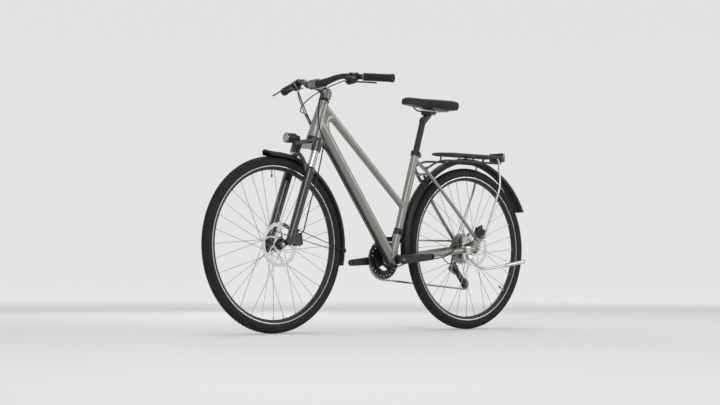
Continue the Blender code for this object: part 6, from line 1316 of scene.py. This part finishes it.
for label, spot, body in (("guide", GUIDE, "upper_pulley"), ("tension", TENSION, "lower_pulley")):
    wheel = bmesh.new()
    loops = [toothed(PULLEY_TEETH, spot), ring_about(spot, 0.0034, 16)]
    loops += [ring_about(spot, 0.003, 10, 0.0108, 72.0 * number) for number in range(5)]
    cut_plate(wheel, loops, 0.0009, standing(CHAIN_SIDE), 0.0002)
    sleeve(wheel, spot + (CHAIN_SIDE - 0.0026) * ACROSS, spot + (CHAIN_SIDE + 0.0026) * ACROSS, 0.006,
        0.0034, 24, 0.0003)
    put(label + "_pulley_wheel", wheel, PLASTIC, body, label + "_pulley")

# Front derailleur: a hinged black clamp band on the seat tube, a stubby arm and a stamped cage
# that straddles the chain.
shifter = bmesh.new()
sleeve(shifter, seat(0.112), seat(0.136), 0.0208, 0.0173, 48, 0.0008)
top = CRANK_AXLE.z + pitch_radius(RING_TEETH[0]) + 0.0086
corners = [(CRANK_AXLE.x + x, top + z) for x, z in ((0.018, 0.0044), (0.06, 0.0062), (0.096, 0.0064),
    (0.104, -0.0046), (0.1, -0.0226), (0.06, -0.0166), (0.02, -0.0116))]
for low, high in ((0.0439, 0.0451), (0.0559, 0.0571)):
    slab(shifter, corners, low, high, edge=0.0003)
bridge = [(CRANK_AXLE.x + x, top + z) for x, z in ((0.03, 0.0009), (0.03, 0.0039), (0.086, 0.0054),
    (0.086, 0.0024))]
slab(shifter, bridge, 0.0442, 0.0568, edge=0.0004)
start, end = seat(0.124, 0.002, 0.0222), Vector((CRANK_AXLE.x + 0.046, 0.0446, top + 0.0019))
tube(shifter, eased_path([start, start.lerp(end, 0.5), end]), 0.006, 0.0048, ends=0.85)
brick(shifter, seat(0.124, 0.0, -0.0215), (0.012, 0.006, 0.014), None, 0.0012)
put("front_changer", shifter, SATIN, "frame", "front_derailleur", crease=35.0)
bolts("front_changer_bolts", "frame", [(seat(0.124, -0.0208, 0.0), -SEAT_BACK, 0.003),
    (end + 0.0006 * UP, UP, 0.0026)])

# Seat post: drawn black alloy tube held by a clamp collar and its bolt, with a cast head that grips
# the saddle's rails between a cradle and a yoke drawn together by another.
CRADLE = seat(0.642) + Vector((0.0303, 0.0, 0.0211))
collar = bmesh.new()
sleeve(collar, seat(0.468), seat(0.4875), 0.021, 0.0175, 56, 0.0008)
for shift in (-0.0055, 0.0055):
    brick(collar, seat(0.4775, 0.0228, shift), (0.0115, 0.0072, 0.016), (SEAT_BACK, ACROSS, SEAT_UP),
        0.0014)
put("seat_collar", collar, SATIN, "frame", "seat_clamp", crease=32.0)
bolts("seat_collar_bolt", "frame", [(seat(0.4775, 0.0235, -0.009), -ACROSS, 0.0036)])
post = bmesh.new()
turn_solid(post, [(0.287, 0.0136), (0.6405, 0.0136), (0.642, 0.0122)], facing(CRANK_AXLE, SEAT_UP), 48)
neck = seat(0.628)
slab(post, hull([(neck.x, neck.z, 0.013), (CRADLE.x, CRADLE.z - 0.005, 0.01)], 10), -0.0115, 0.0115,
    edge=0.0024)
brick(post, CRADLE + 0.0012 * UP, (0.036, 0.056, 0.012), None, 0.0022)
brick(post, CRADLE + 0.017 * UP, (0.024, 0.054, 0.0044), None, 0.0012)
put("seatpost_alloy", post, SATIN, "seat", "seatpost", crease=32.0)
bolts("seatpost_bolt", "seat", [(CRADLE + 0.0192 * UP, UP, 0.0048)])

# Saddle: foam pad on a plastic base under a sewn black cover, drawn in along the sides, with a
# shallow relief channel and piping at the side seam, on two bent steel rails.
COVER = soft_rubber("sewn saddle cover", "saddle_cover", (0.012, 0.012, 0.013), (0.024, 0.024, 0.025), 0.52,
    900.0)


def spots_from(place, *offsets, side=1):
    """Points given from a place on the bicycle, as they lie on its right side or on its left."""
    return [place + Vector((x, side * y, z)) for x, y, z in offsets]


STATIONS = ((-0.15, 0.009, 0.048), (-0.147, 0.0145, 0.0555), (-0.139, 0.0188, 0.061),
    (-0.123, 0.0218, 0.0635), (-0.07, 0.0266, 0.0635), (-0.044, 0.031, 0.063), (-0.02, 0.0395, 0.063),
    (0.002, 0.0502, 0.0635), (0.05, 0.069, 0.0636), (0.103, 0.08, 0.063), (0.114, 0.07, 0.058),
    (0.12, 0.056, 0.052), (0.122, 0.042, 0.047))
SECTION = ((0.9, 0.0), (0.99, 0.22), (1.0, 0.45), (0.94, 0.68), (0.8, 0.84), (0.58, 0.94), (0.3, 0.99),
    (0.0, 1.0))


def saddle_base(x):
    """Height of the saddle's lower edge above the rail clamp."""
    return 0.034 - 0.019 * (x + 0.15) / 0.272 + 0.013 * (max(0.0, x - 0.092) / 0.03) ** 2


def saddle_point(station, wide, high, side):
    """Point of the cover at a station, by its shares of the width and of the height."""
    x, half, top = station
    y = half * wide
    base = saddle_base(x)
    channel = 0.0032 * exp(-(y / 0.0075) ** 2) * max(0.0, 1.0 - ((x + 0.01) / 0.11) ** 4) * high ** 4
    return CRADLE + Vector((x, side * y, base + (top - base) * high - channel))


stations = eased_path([Vector(spot) for spot in STATIONS], 5)
profile = eased_path([Vector((wide, high, 0.0)) for wide, high in SECTION], 4)
pad = bmesh.new()
skin_rings(pad, [[saddle_point(station, spot.x, spot.y, 1) for spot in profile]
    + [saddle_point(station, spot.x, spot.y, -1) for spot in profile[-2::-1]] for station in stations])
put("saddle_pad", pad, COVER, "seat", "saddle", crease=60.0)
piping = bmesh.new()
inner = stations[3:-3]
seam = [saddle_point(station, 0.957, 0.64, 1) for station in inner]
seam += [saddle_point(station, 0.957, 0.64, -1) for station in inner[::-1]]
tube(piping, seam, 0.0011, steps=8, loop=True)
put("saddle_piping", piping, COVER, "seat", crease=50.0)
under = bmesh.new()
skin_rings(under, [[CRADLE + Vector((station.x, side * 0.88 * station.y, saddle_base(station.x) + rise))
    for side, rise in ((1, -0.001), (1, 0.004), (-1, 0.004), (-1, -0.001))]
    for station in stations[4:-4:2]])
put("saddle_base", under, PLASTIC, "seat")
rails = bmesh.new()
for side in (-1, 1):
    spots = spots_from(CRADLE, (0.087, 0.035, saddle_base(0.087) - 0.0038), (0.062, 0.031, 0.0125),
        (0.034, 0.0225, 0.011), (-0.034, 0.022, 0.011), (-0.063, 0.017, 0.018),
        (-0.082, 0.009, saddle_base(-0.082) - 0.0041), side=side)
    tube(rails, eased_path(spots, 6), 0.0035, steps=14, ends=0.8)
put("saddle_wires", rails, BOLT_STEEL, "seat", "saddle_rails", crease=40.0)

# Rack: welded alloy tube, dark grey powder coat, with a slotted deck plate; it stands on two
# bright struts bolted to the dropouts and carries the rear light.
RACK_Z = 0.765
RACK_LOW_Z = 0.735
RACK_CROSS_TUBES = (0.45, 0.5505, 0.655)
POWDER = finish_nodes("dark grey powder coat", "rack_grey", 0.5, 0.15)
shade(POWDER, grain(POWDER, 60.0), (0.034, 0.035, 0.037), (0.052, 0.053, 0.056))
relief(POWDER, grain(POWDER, 1500.0, detail=2.0), 0.00004, 0.5)
half = [(0.365, 0.016), (0.371, 0.026), (0.395, 0.041), (0.42, 0.054), (0.44, 0.055), (0.6, 0.055),
    (0.712, 0.055), (0.732, 0.051), (0.739, 0.036)]
around = [Vector((x, y, RACK_Z)) for x, y in half] + [Vector((x, -y, RACK_Z)) for x, y in half[::-1]]
rack = bmesh.new()
tube(rack, eased_path(around + around[:1], 5)[:-1], 0.005, steps=16, loop=True)
for x in RACK_CROSS_TUBES:
    rod(rack, Vector((x, -0.053, RACK_Z)), Vector((x, 0.053, RACK_Z)), 0.004, 16)
deck = [[(0.42, -0.031), (0.71, -0.031), (0.71, 0.031), (0.42, 0.031)]]
for start, end in ((0.432, 0.512), (0.525, 0.605), (0.618, 0.698)):
    deck += [hull([(start + 0.006, y, 0.005), (end - 0.006, y, 0.005)], 4) for y in (-0.018, 0.0, 0.018)]
cut_plate(rack, deck, 0.0015, Matrix.Translation((0.0, 0.0, 0.7688)), 0.0004)
for side, name in SIDES:
    foot = Vector((STAY_BOSS.x, side * 0.0454, STAY_BOSS.z))
    low = spots_from(Vector(), (STAY_BOSS.x, 0.05, STAY_BOSS.z), (0.33, 0.052, 0.727),
        (0.42, 0.058, RACK_LOW_Z), (0.68, 0.058, RACK_LOW_Z), (0.714, 0.058, 0.742), (0.722, 0.056, 0.762),
        side=side)
    tube(rack, eased_path(low, 5), 0.0045, steps=14)
    turn_solid(rack, [(-0.0021, 0.0067), (-0.0016, 0.0072), (0.0016, 0.0072), (0.0021, 0.0067)],
        facing(foot, ACROSS), 24)
    for x in RACK_CROSS_TUBES[::2]:
        rod(rack, Vector((x, side * 0.058, RACK_LOW_Z)), Vector((x, side * 0.0545, RACK_Z)), 0.0034, 14)
    bolts("rack_bolt_" + name, "frame", [(foot + side * 0.0021 * ACROSS, side * ACROSS, 0.004)])
put("rack_frame", rack, POWDER, "frame", "rack", crease=38.0)
BRIGHT = plain_metal("bright anodised alloy", "silver", (0.5, 0.5, 0.5), (0.64, 0.64, 0.64), 0.3)
struts = bmesh.new()
for side, name in SIDES:
    foot = Vector((RACK_BOSS.x, side * 0.0828, RACK_BOSS.z))
    up = spots_from(Vector(), (RACK_BOSS.x, 0.0861, RACK_BOSS.z),
        (RACK_BOSS.x + 0.0595, 0.081, RACK_BOSS.z + 0.1254), (0.684, 0.078, 0.63), (0.69, 0.0705, 0.715),
        (0.69, 0.069, 0.74), (0.69, 0.061, 0.7547), side=side)
    tube(struts, eased_path(up, 6), 0.005, steps=16, ends=0.85)
    turn_solid(struts, [(-0.0025, 0.0074), (-0.0019, 0.008), (0.0019, 0.008), (0.0025, 0.0074)],
        facing(foot, ACROSS), 28)
    bolts("strut_bolt_" + name, "frame", [(foot + side * 0.0058 * ACROSS, side * ACROSS, 0.0046)])
put("rack_struts", struts, BRIGHT, "frame", "rack_strut", crease=38.0)

# Rear light: three red moulded lenses with a prism pattern on a black plastic housing, screwed to
# the rack's tail.
RED = finish_nodes("red prism lens", "red_lens", 0.16, 0.0, 0.8, 0.05, 0.6)
shade(RED, grain(RED, 260.0, detail=1.0), (0.2, 0.004, 0.006), (0.38, 0.01, 0.012))
relief(RED, grain(RED, 520.0, detail=0.0), 0.0004, 0.5)
lamp = bmesh.new()
for y in (-0.026, 0.0, 0.026):
    brick(lamp, Vector((0.7566, y, RACK_Z)), (0.0138, 0.0255, 0.039), None, 0.0035)
put("rear_light_lens", lamp, RED, "frame", "tail_light", crease=40.0)
housing = bmesh.new()
brick(housing, Vector((0.7478, 0.0, RACK_Z)), (0.0084, 0.08, 0.04), None, 0.0024)
put("rear_light_housing", housing, PLASTIC, "frame", crease=40.0)

# Side stand: a cast silver mount clamped below the left chainstay, a bent bright leg turning on
# a pin, and a ribbed alloy foot.
STAND_LEAN = radians(17.0)
STAND_AXIS = Vector((0.0, cos(STAND_LEAN), -sin(STAND_LEAN)))
PIVOT = Vector((0.478, -0.087, 0.312))
mount = bmesh.new()
brick(mount, PIVOT + Vector((0.0, 0.005, 0.033)), (0.03, 0.01, 0.034), None, 0.0024)
slab(mount, hull([(PIVOT.x, PIVOT.z + 0.033, 0.012), (PIVOT.x, PIVOT.z, 0.01)], 8), -0.0832, -0.0772,
    edge=0.0012)
rod(mount, PIVOT + 0.01 * STAND_AXIS, PIVOT, 0.0092, 32, edge=0.0008)
rod(mount, PIVOT, PIVOT - 0.0135 * STAND_AXIS, 0.004, 20)
put("stand_mount", mount, BRIGHT, "frame", "kickstand_mount", crease=35.0)
bolts("stand_mount_bolts", "frame", [(PIVOT + Vector((x, 0.0, 0.04)), -ACROSS, 0.0036)
    for x in (-0.008, 0.008)])
leg = bmesh.new()
turn_round(leg, [(-0.0003, 0.0043), (-0.0003, 0.0098), (-0.001, 0.0105), (-0.0118, 0.0105),
    (-0.0125, 0.0098), (-0.0125, 0.0043)], facing(PIVOT, STAND_AXIS), 32, closed=True)
bends = spots_from(PIVOT, (0.0005, -0.0098, -0.002), (0.019, -0.0142, -0.021), (0.05, -0.0164, -0.0385),
    (0.092, -0.017, -0.0455), (0.147, -0.017, -0.041), (0.212, -0.016, -0.0323))
tube(leg, eased_path(bends, 8), 0.0056, steps=18)
foot_start, foot_end = bends[-1], PIVOT + Vector((0.345, -0.014, -0.012))
foot_along = (foot_end - foot_start).normalized()
rod(leg, foot_start - 0.004 * foot_along, foot_start + 0.012 * foot_along, 0.0064, 20)
put("stand_leg", leg, BRIGHT, "stand", "kickstand_leg", crease=38.0)
shoe = bmesh.new()
reach = (foot_end - foot_start).length
turn_solid(shoe, [(0.008, 0.0078), (0.0088, 0.0085)] + [(0.014 + 0.004 * step,
    0.0085 if step % 2 else 0.0079) for step in range(26)] + [(reach - 0.004, 0.0082),
    (reach - 0.001, 0.0068), (reach, 0.0048)], facing(foot_start, foot_along), 28)
put("stand_foot", shoe, BRIGHT, "stand", "kickstand_foot", crease=25.0)

# Stem: forged alloy in bead-blasted grey, clamped to the steerer by two bolts, its faceplate
# holding the bar with four.
STEM_GREY = plain_metal("blasted grey alloy", "grey_alloy", (0.2, 0.2, 0.205), (0.3, 0.3, 0.305), 0.42, 0.9,
    0.00004)
STEM_TOP = 0.699
BAR_CENTRE = steer(STEM_TOP) + Vector((-0.0648, 0.0, 0.0193))
stem_middle = steer((STEM_FOOT + STEM_TOP) / 2)
reach = BAR_CENTRE - stem_middle
ahead = reach.normalized()
over = ahead.cross(ACROSS).normalized()
if over.z < 0:
    over = -over
stem = bmesh.new()
turn_round(stem, [(STEM_FOOT, 0.0145), (STEM_FOOT, 0.0178), (STEM_FOOT + 0.0008, 0.0185),
    (STEM_TOP - 0.0008, 0.0185), (STEM_TOP, 0.0178), (STEM_TOP, 0.0145)], facing(STEER_FOOT, STEER_UP), 48,
    closed=True)
turn_solid(stem, [(STEM_TOP + 0.0003, 0.0176), (STEM_TOP + 0.0032, 0.0172), (STEM_TOP + 0.004, 0.015)],
    facing(STEER_FOOT, STEER_UP), 48)
tube(stem, [stem_middle + 0.01 * ahead, stem_middle + reach * 0.45, BAR_CENTRE - 0.022 * ahead,
    BAR_CENTRE - 0.0165 * ahead], [0.015, 0.0135, 0.0175, 0.0205], [0.0155, 0.0135, 0.015, 0.0175], 32,
    over)
for shift in (-0.008, 0.008):
    brick(stem, steer((STEM_FOOT + STEM_TOP) / 2, -0.019, shift), (0.01, 0.006, 0.034), STEERING_AXES,
        0.0016)


def clamp_half(shape, way):
    """Half round shell about the bar on one side of the stem's split."""
    outline = [BAR_CENTRE + radius * (cos(turn) * way + sin(turn) * over)
        for radius, lean in ((0.0212, 1), (0.0162, -1)) for turn in (radians(lean * (12 * step - 84))
        for step in range(15))]
    skin_rings(shape, [[spot + side * ACROSS for spot in outline] for side in (-0.023, 0.023)])


clamp_half(stem, -ahead)
put("stem_forging", stem, STEM_GREY, "steering", "stem", crease=35.0)
face = bmesh.new()
clamp_half(face, ahead)
put("stem_face", face, STEM_GREY, "steering", "stem_faceplate", crease=35.0)
stem_bolts = [(steer(STEM_TOP + 0.004), STEER_UP, 0.0045)]
stem_bolts += [(BAR_CENTRE + 0.0085 * ahead + rise * over + side * ACROSS, ahead, 0.003)
    for rise in (-0.0186, 0.0186) for side in (-0.015, 0.015)]
stem_bolts += [(steer(place, -0.019, -0.011), -ACROSS, 0.0034)
    for place in (STEM_FOOT + 0.01, STEM_TOP - 0.01)]
bolts("stem_bolts", "steering", stem_bolts)

# Handlebar: one butted alloy tube, black, thickest in the stem's clamp, rising and sweeping back
# from there to the grips.
BAR_END = 0.0111
bar = bmesh.new()
bar_half = [((0.0, 0.0, 0.0), 0.0159), ((0.0, 0.03, 0.0), 0.0159), ((0.0035, 0.048, 0.0025), 0.0157),
    ((0.014, 0.072, 0.0105), 0.0138), ((0.0245, 0.1, 0.0195), 0.012), ((0.033, 0.125, 0.024), BAR_END),
    ((0.045, 0.15, 0.024), BAR_END), ((0.082, 0.243, 0.0148), BAR_END), ((0.1185, 0.336, 0.0055), BAR_END)]
spots = [BAR_CENTRE + Vector((x, way * y, z)) for way, part in ((-1, bar_half[:0:-1]), (1, bar_half))
    for (x, y, z), _ in part]
sizes = [size for part in (bar_half[:0:-1], bar_half) for _, size in part]
widths = [size + (after - size) * step / 7 for size, after in zip(sizes, sizes[1:]) for step in range(7)]
tube(bar, eased_path(spots, 6), widths + sizes[-1:], steps=28)
put("bar_tube", bar, SATIN, "steering", "handlebar", crease=35.0)

# Grips: moulded black rubber with fine ribs, thickened at the outer end, each locked on the bar by
# a grey alloy ring.
GRIP_START = 0.129
BAR_HOLE = BAR_END + 0.0002


def grip_axes(side):
    """Along the bar's end, forward of it and over it, on one side."""
    return (Vector((0.36595, side * 0.92607, -0.09211)), Vector((-0.86886, side * 0.30452, -0.39032)),
        Vector((-0.33342, side * 0.22287, 0.91606)))


for side, name in SIDES:
    out = grip_axes(side)[0]
    place = facing(BAR_CENTRE + Vector((0.1185, side * 0.336, 0.0055)) - GRIP_START * out, out)
    grip = bmesh.new()
    turn_round(grip, [(0.007, BAR_HOLE), (0.007, 0.016)] + [(0.009 + 0.0016 * step,
        0.0158 if step % 2 else 0.0152) for step in range(69)] + [(0.12, 0.016), (0.1225, 0.0172),
        (0.131, 0.0175), (0.133, 0.0164), (0.133, 0.0)], place, 36)
    put("grip_rubber_" + name, grip, RUBBER, "steering", "grip_" + name, crease=25.0)
    ring = bmesh.new()
    turn_round(ring, [(0.0, BAR_HOLE), (0.0, 0.0158), (0.0008, 0.0166), (0.006, 0.0166), (0.0068, 0.0158),
        (0.0068, BAR_HOLE)], place, 36, closed=True)
    put("grip_ring_" + name, ring, STEM_GREY, "steering")

# Brake levers and shifters: cast black master cylinders on hinged clamps with slim forged levers,
# and moulded shifter pods with a thumb paddle, each held by small screws.
LEVER_PIVOT = (0.012, 0.0465)


def lever_place(side):
    """Placement on the bar where a lever is clamped: along the bar, forward of it and over it."""
    turn = Matrix(grip_axes(side)).transposed().to_4x4()
    return Matrix.Translation((-0.27378, side * 0.186, 1.03543)) @ turn


def on_bar(side, along, forward=0.0, over=0.0):
    """Point given from the place where a lever is clamped."""
    return lever_place(side) @ Vector((along, forward, over))


for side, name in SIDES:
    place = lever_place(side)
    axes = grip_axes(side)
    out, top = axes[0], axes[2]
    parts = {"body": bmesh.new(), "lever": bmesh.new(), "pod": bmesh.new(), "paddle": bmesh.new()}
    sleeve(parts["body"], on_bar(side, -0.006), on_bar(side, 0.006), 0.0165, BAR_HOLE, 40, 0.0008)
    turn_solid(parts["body"], [(-0.036, 0.0048), (-0.033, 0.0056), (-0.029, 0.0086), (-0.027, 0.009),
        (0.016, 0.009), (0.019, 0.0078), (0.02, 0.006)], facing(on_bar(side, 0.0, 0.03), out), 36)
    brick(parts["body"], on_bar(side, 0.0, 0.018), (0.011, 0.018, 0.012), axes, 0.002)
    brick(parts["body"], on_bar(side, -0.005, 0.03, 0.0068), (0.03, 0.015, 0.005), axes, 0.0018)
    for low, high in ((0.0039, 0.0072), (-0.0072, -0.0039)):
        slab(parts["body"], hull([(0.01, 0.03, 0.008), (*LEVER_PIVOT, 0.007)], 8), low, high, place, 0.0007)
    reach = [on_bar(side, *spot) for spot in (LEVER_PIVOT, (0.03, 0.062), (0.058, 0.068), (0.082, 0.066),
        (0.106, 0.066), (0.126, 0.0715))]
    path = eased_path(reach, 6)
    widths = [(0.0045, 0.0048, 0.0042, 0.0041, 0.0042, 0.0036)[min(index // 7, 5)]
        for index in range(len(path))]
    tube(parts["lever"], path, widths, 0.0032, 16, top, ends=0.55)
    rod(parts["lever"], on_bar(side, *LEVER_PIVOT, -0.0036), on_bar(side, *LEVER_PIVOT, 0.0036), 0.0064, 28)
    sleeve(parts["pod"], on_bar(side, -0.03), on_bar(side, -0.018), 0.016, BAR_HOLE, 40, 0.0008)
    slab(parts["pod"], hull([(-0.03, 0.007, 0.008), (-0.03, 0.024, 0.007), (-0.017, 0.024, 0.007),
        (-0.017, 0.007, 0.008)], 8), -0.0235, -0.0105, place, 0.0022)
    slab(parts["paddle"], hull([(-0.024, 0.021, 0.007), (-0.012, 0.004, 0.0048), (-0.004, -0.014, 0.005)],
        8), -0.0275, -0.0238, place, 0.001)
    for part, finish, body, node in (("body", SATIN, "steering", "brake_body_"),
            ("lever", SATIN, "lever_" + name, "brake_lever_"), ("pod", PLASTIC, "steering", "shifter_"),
            ("paddle", PLASTIC, "trigger_" + name, "shift_trigger_")):
        put(part + "_" + name, parts[part], finish, body, node + name, crease=35.0)
    bolts("cockpit_bolts_" + name, "steering", [(on_bar(side, *LEVER_PIVOT, 0.0072), top, 0.003),
        (on_bar(side, -0.014, 0.03, 0.0093), top, 0.0022), (on_bar(side, 0.006, 0.03, 0.0093), top, 0.0022),
        (on_bar(side, 0.0, 0.0, -0.0166), -top, 0.003)])

# Headlight: turned black housing on a strap that stands on the fork's arch, with a bright dished
# reflector behind a clear moulded lens.
LAMP_FRONT = Vector((ARCH_TOP.x - 0.0583, 0.0, ARCH_TOP.z + 0.0628))
lamp_place = facing(LAMP_FRONT, REARWARD)
lamp = bmesh.new()
turn_solid(lamp, [(0.033, 0.0176), (0.001, 0.0186), (0.0, 0.019), (0.0, 0.0195), (0.0006, 0.02),
    (0.044, 0.02), (0.048, 0.018), (0.051, 0.014), (0.054, 0.0122)]
    + [(0.055 + 0.0012 * step, 0.0122 if step % 2 else 0.0114) for step in range(9)]
    + [(0.0662, 0.0114), (0.067, 0.0104)], lamp_place, 48)
foot = ARCH_TOP + 0.0102 * UP
strap_top = Vector((LAMP_FRONT.x + 0.034, 0.0, 0.777))
tube(lamp, eased_path([foot, foot.lerp(strap_top, 0.5) + 0.002 * REARWARD, strap_top]), 0.0045, 0.003, 16)
brick(lamp, foot - 0.0012 * UP, (0.016, 0.014, 0.0036), None, 0.001)
put("headlight_housing", lamp, PLASTIC, "fork_lower", "headlight", crease=32.0)
MIRROR = plain_metal("lamp reflector", "silver", (0.8, 0.8, 0.8), (0.9, 0.9, 0.9), 0.08, pits=0.0)
dish = bmesh.new()
turn_round(dish, [(0.03, 0.0), (0.0296, 0.005), (0.0255, 0.011), (0.018, 0.0152), (0.0045, 0.0174),
    (0.0045, 0.0178), (0.019, 0.0158), (0.031, 0.006), (0.0312, 0.0)], lamp_place, 40)
put("headlight_reflector", dish, MIRROR, "fork_lower")
CLEAR = finish_nodes("clear moulded lens", "clear_lens", 0.06, level=0.5)
set_inputs(CLEAR["surface"], {"Transmission Weight": 0.92, "IOR": 1.49})
shade(CLEAR, grain(CLEAR, 90.0), (0.86, 0.88, 0.9), (0.95, 0.96, 0.97))
relief(CLEAR, grain(CLEAR, 420.0, stretch=(1.0, 3.0, 0.4), detail=0.0), 0.0002, 0.4)
glass = bmesh.new()
turn_round(glass, [(-0.0038, 0.0), (-0.0036, 0.008), (-0.0028, 0.013), (-0.0014, 0.0168), (0.0004, 0.0182),
    (0.0022, 0.0182), (0.0022, 0.0)], lamp_place, 40)
put("headlight_glass", glass, CLEAR, "fork_lower", "headlight_lens")

# Hoses and cables: black plastic-covered brake hoses and shift housings with crimped ends; one goes
# down to the fork's caliper, three go round the head tube and along the down tube in lanes.
LANE_GAP = 0.0065
HOSE_RADIUS = 0.0025
CABLE_RADIUS = 0.0021
HOSE = soft_rubber("covered hose", "black_rubber", (0.012, 0.012, 0.013), (0.022, 0.022, 0.023), 0.34)


def bar_spots(side, start, outward, rise):
    """First three points of a hose leaving a control along the bar."""
    return [on_bar(side, start - back, outward, rise) for back in (0.0, 0.008, 0.016)]


def under_tube(along, side, extra=0.0):
    """Point below the down tube, at a length from its top and to one side."""
    return down_top + along * down_along - (DOWN_TUBE_RADIUS + 0.0031 + extra) * down_above + side * ACROSS


def lane_spots(lane):
    """Way round the right of the head tube and below the down tube, in one of three lanes."""
    spots = spots_from(steer(HEAD_TOP), (-0.0557, 0.037 + LANE_GAP * lane, -0.0559),
        (-0.0307, 0.0345 + LANE_GAP * lane, -0.0979))
    spots += [under_tube(0.045, 0.029 + LANE_GAP * lane), under_tube(0.09, 0.008 + 0.007 * lane, 0.003)]
    return spots + [under_tube(along, 0.008 * (lane - 1)) for along in (0.15, 0.4,
        (CRANK_AXLE - down_top).length - 0.031)]


ROUTES = {}
ROUTES["front_brake_hose"] = (HOSE_RADIUS, bar_spots(-1, -0.0363, 0.03, 0.0)
    + spots_from(BAR_CENTRE, (-0.011, -0.095, -0.007), (-0.017, -0.055, -0.05), (-0.014, -0.038, -0.125),
    (-0.011, -0.04, -0.18)) + spots_from(ARCH_TOP, (0.0867, -0.064, 0.0528), (0.0647, -0.078, -0.0092),
    (0.0307, -0.087, -0.1042), (-0.0043, -0.088, -0.2042)) + spots_from(FRONT_AXLE,
    (0.0945, -0.086, 0.0854), (0.0965, -0.07, 0.0534), (0.0905, -0.05, 0.0429)))
ROUTES["rear_brake_hose"] = (HOSE_RADIUS, bar_spots(1, -0.0363, 0.03, 0.0)
    + spots_from(BAR_CENTRE, (-0.023, 0.085, -0.015), (-0.031, 0.05, -0.065)) + lane_spots(0)
    + spots_from(CRANK_AXLE, (-0.018, -0.012, -0.0245), (0.01, -0.024, -0.029), (0.07, -0.036, -0.009),
    (0.15, -0.046, 0.001), (0.212, -0.054, 0.007)) + spots_from(REAR_AXLE, (-0.1945, -0.0715, -0.0346),
    (-0.1585, -0.0785, -0.0126), (-0.1255, -0.079, 0.0054), (-0.0725, -0.0805, 0.0164),
    (-0.0385, -0.085, 0.0354), (-0.0105, -0.083, 0.0704), (0.0215, -0.074, 0.1014), (0.039, -0.06, 0.0934)))
ROUTES["shift_cable_rear"] = (CABLE_RADIUS, bar_spots(1, -0.0383, 0.016, -0.017)
    + spots_from(BAR_CENTRE, (-0.007, 0.1, -0.027), (-0.023, 0.064, -0.073)) + lane_spots(2)
    + spots_from(CRANK_AXLE, (-0.018, 0.01, -0.0235), (0.008, 0.014, -0.028), (0.06, 0.03, -0.011),
    (0.135, 0.043, 0.0), (0.23, 0.054, 0.012)) + spots_from(REAR_AXLE, (-0.1005, 0.066, -0.0296),
    (-0.0455, 0.085, -0.0526), (-0.0005, 0.096, -0.0686), (0.0355, 0.092, -0.0586),
    (0.0375, 0.084, -0.0366), (0.024, 0.081, -0.0276)))
ROUTES["shift_cable_front"] = (CABLE_RADIUS, bar_spots(-1, -0.0383, 0.016, -0.017)
    + spots_from(BAR_CENTRE, (-0.015, -0.095, -0.023), (-0.039, -0.04, -0.05), (-0.048, 0.01, -0.08),
    (-0.041, 0.045, -0.109)) + lane_spots(1) + spots_from(CRANK_AXLE, (-0.018, 0.0, -0.0235),
    (0.004, 0.0, -0.027), (0.027, 0.0, -0.015)) + [seat(0.045, 0.024, 0.003), seat(0.085, 0.0225, 0.008)]
    + spots_from(CRANK_AXLE, (0.056, 0.02, 0.085), (0.059, 0.027, 0.0955)))
for node, (radius, spots) in ROUTES.items():
    hose = bmesh.new()
    path = eased_path(spots, 8)
    tube(hose, path, radius, steps=12)
    for tip, inward in ((path[0], path[2]), (path[-1], path[-3])):
        along = (inward - tip).normalized()
        rod(hose, tip, tip + 0.009 * along, radius + 0.0006, 14, edge=0.0003)
    piece = in_scene(node + "_cover", as_mesh(node + "_cover", hose, 50.0))
    piece.data.materials.append(HOSE["material"])
    if node == "front_brake_hose":
        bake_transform(piece)
    else:
        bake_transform(piece)
    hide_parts(node)
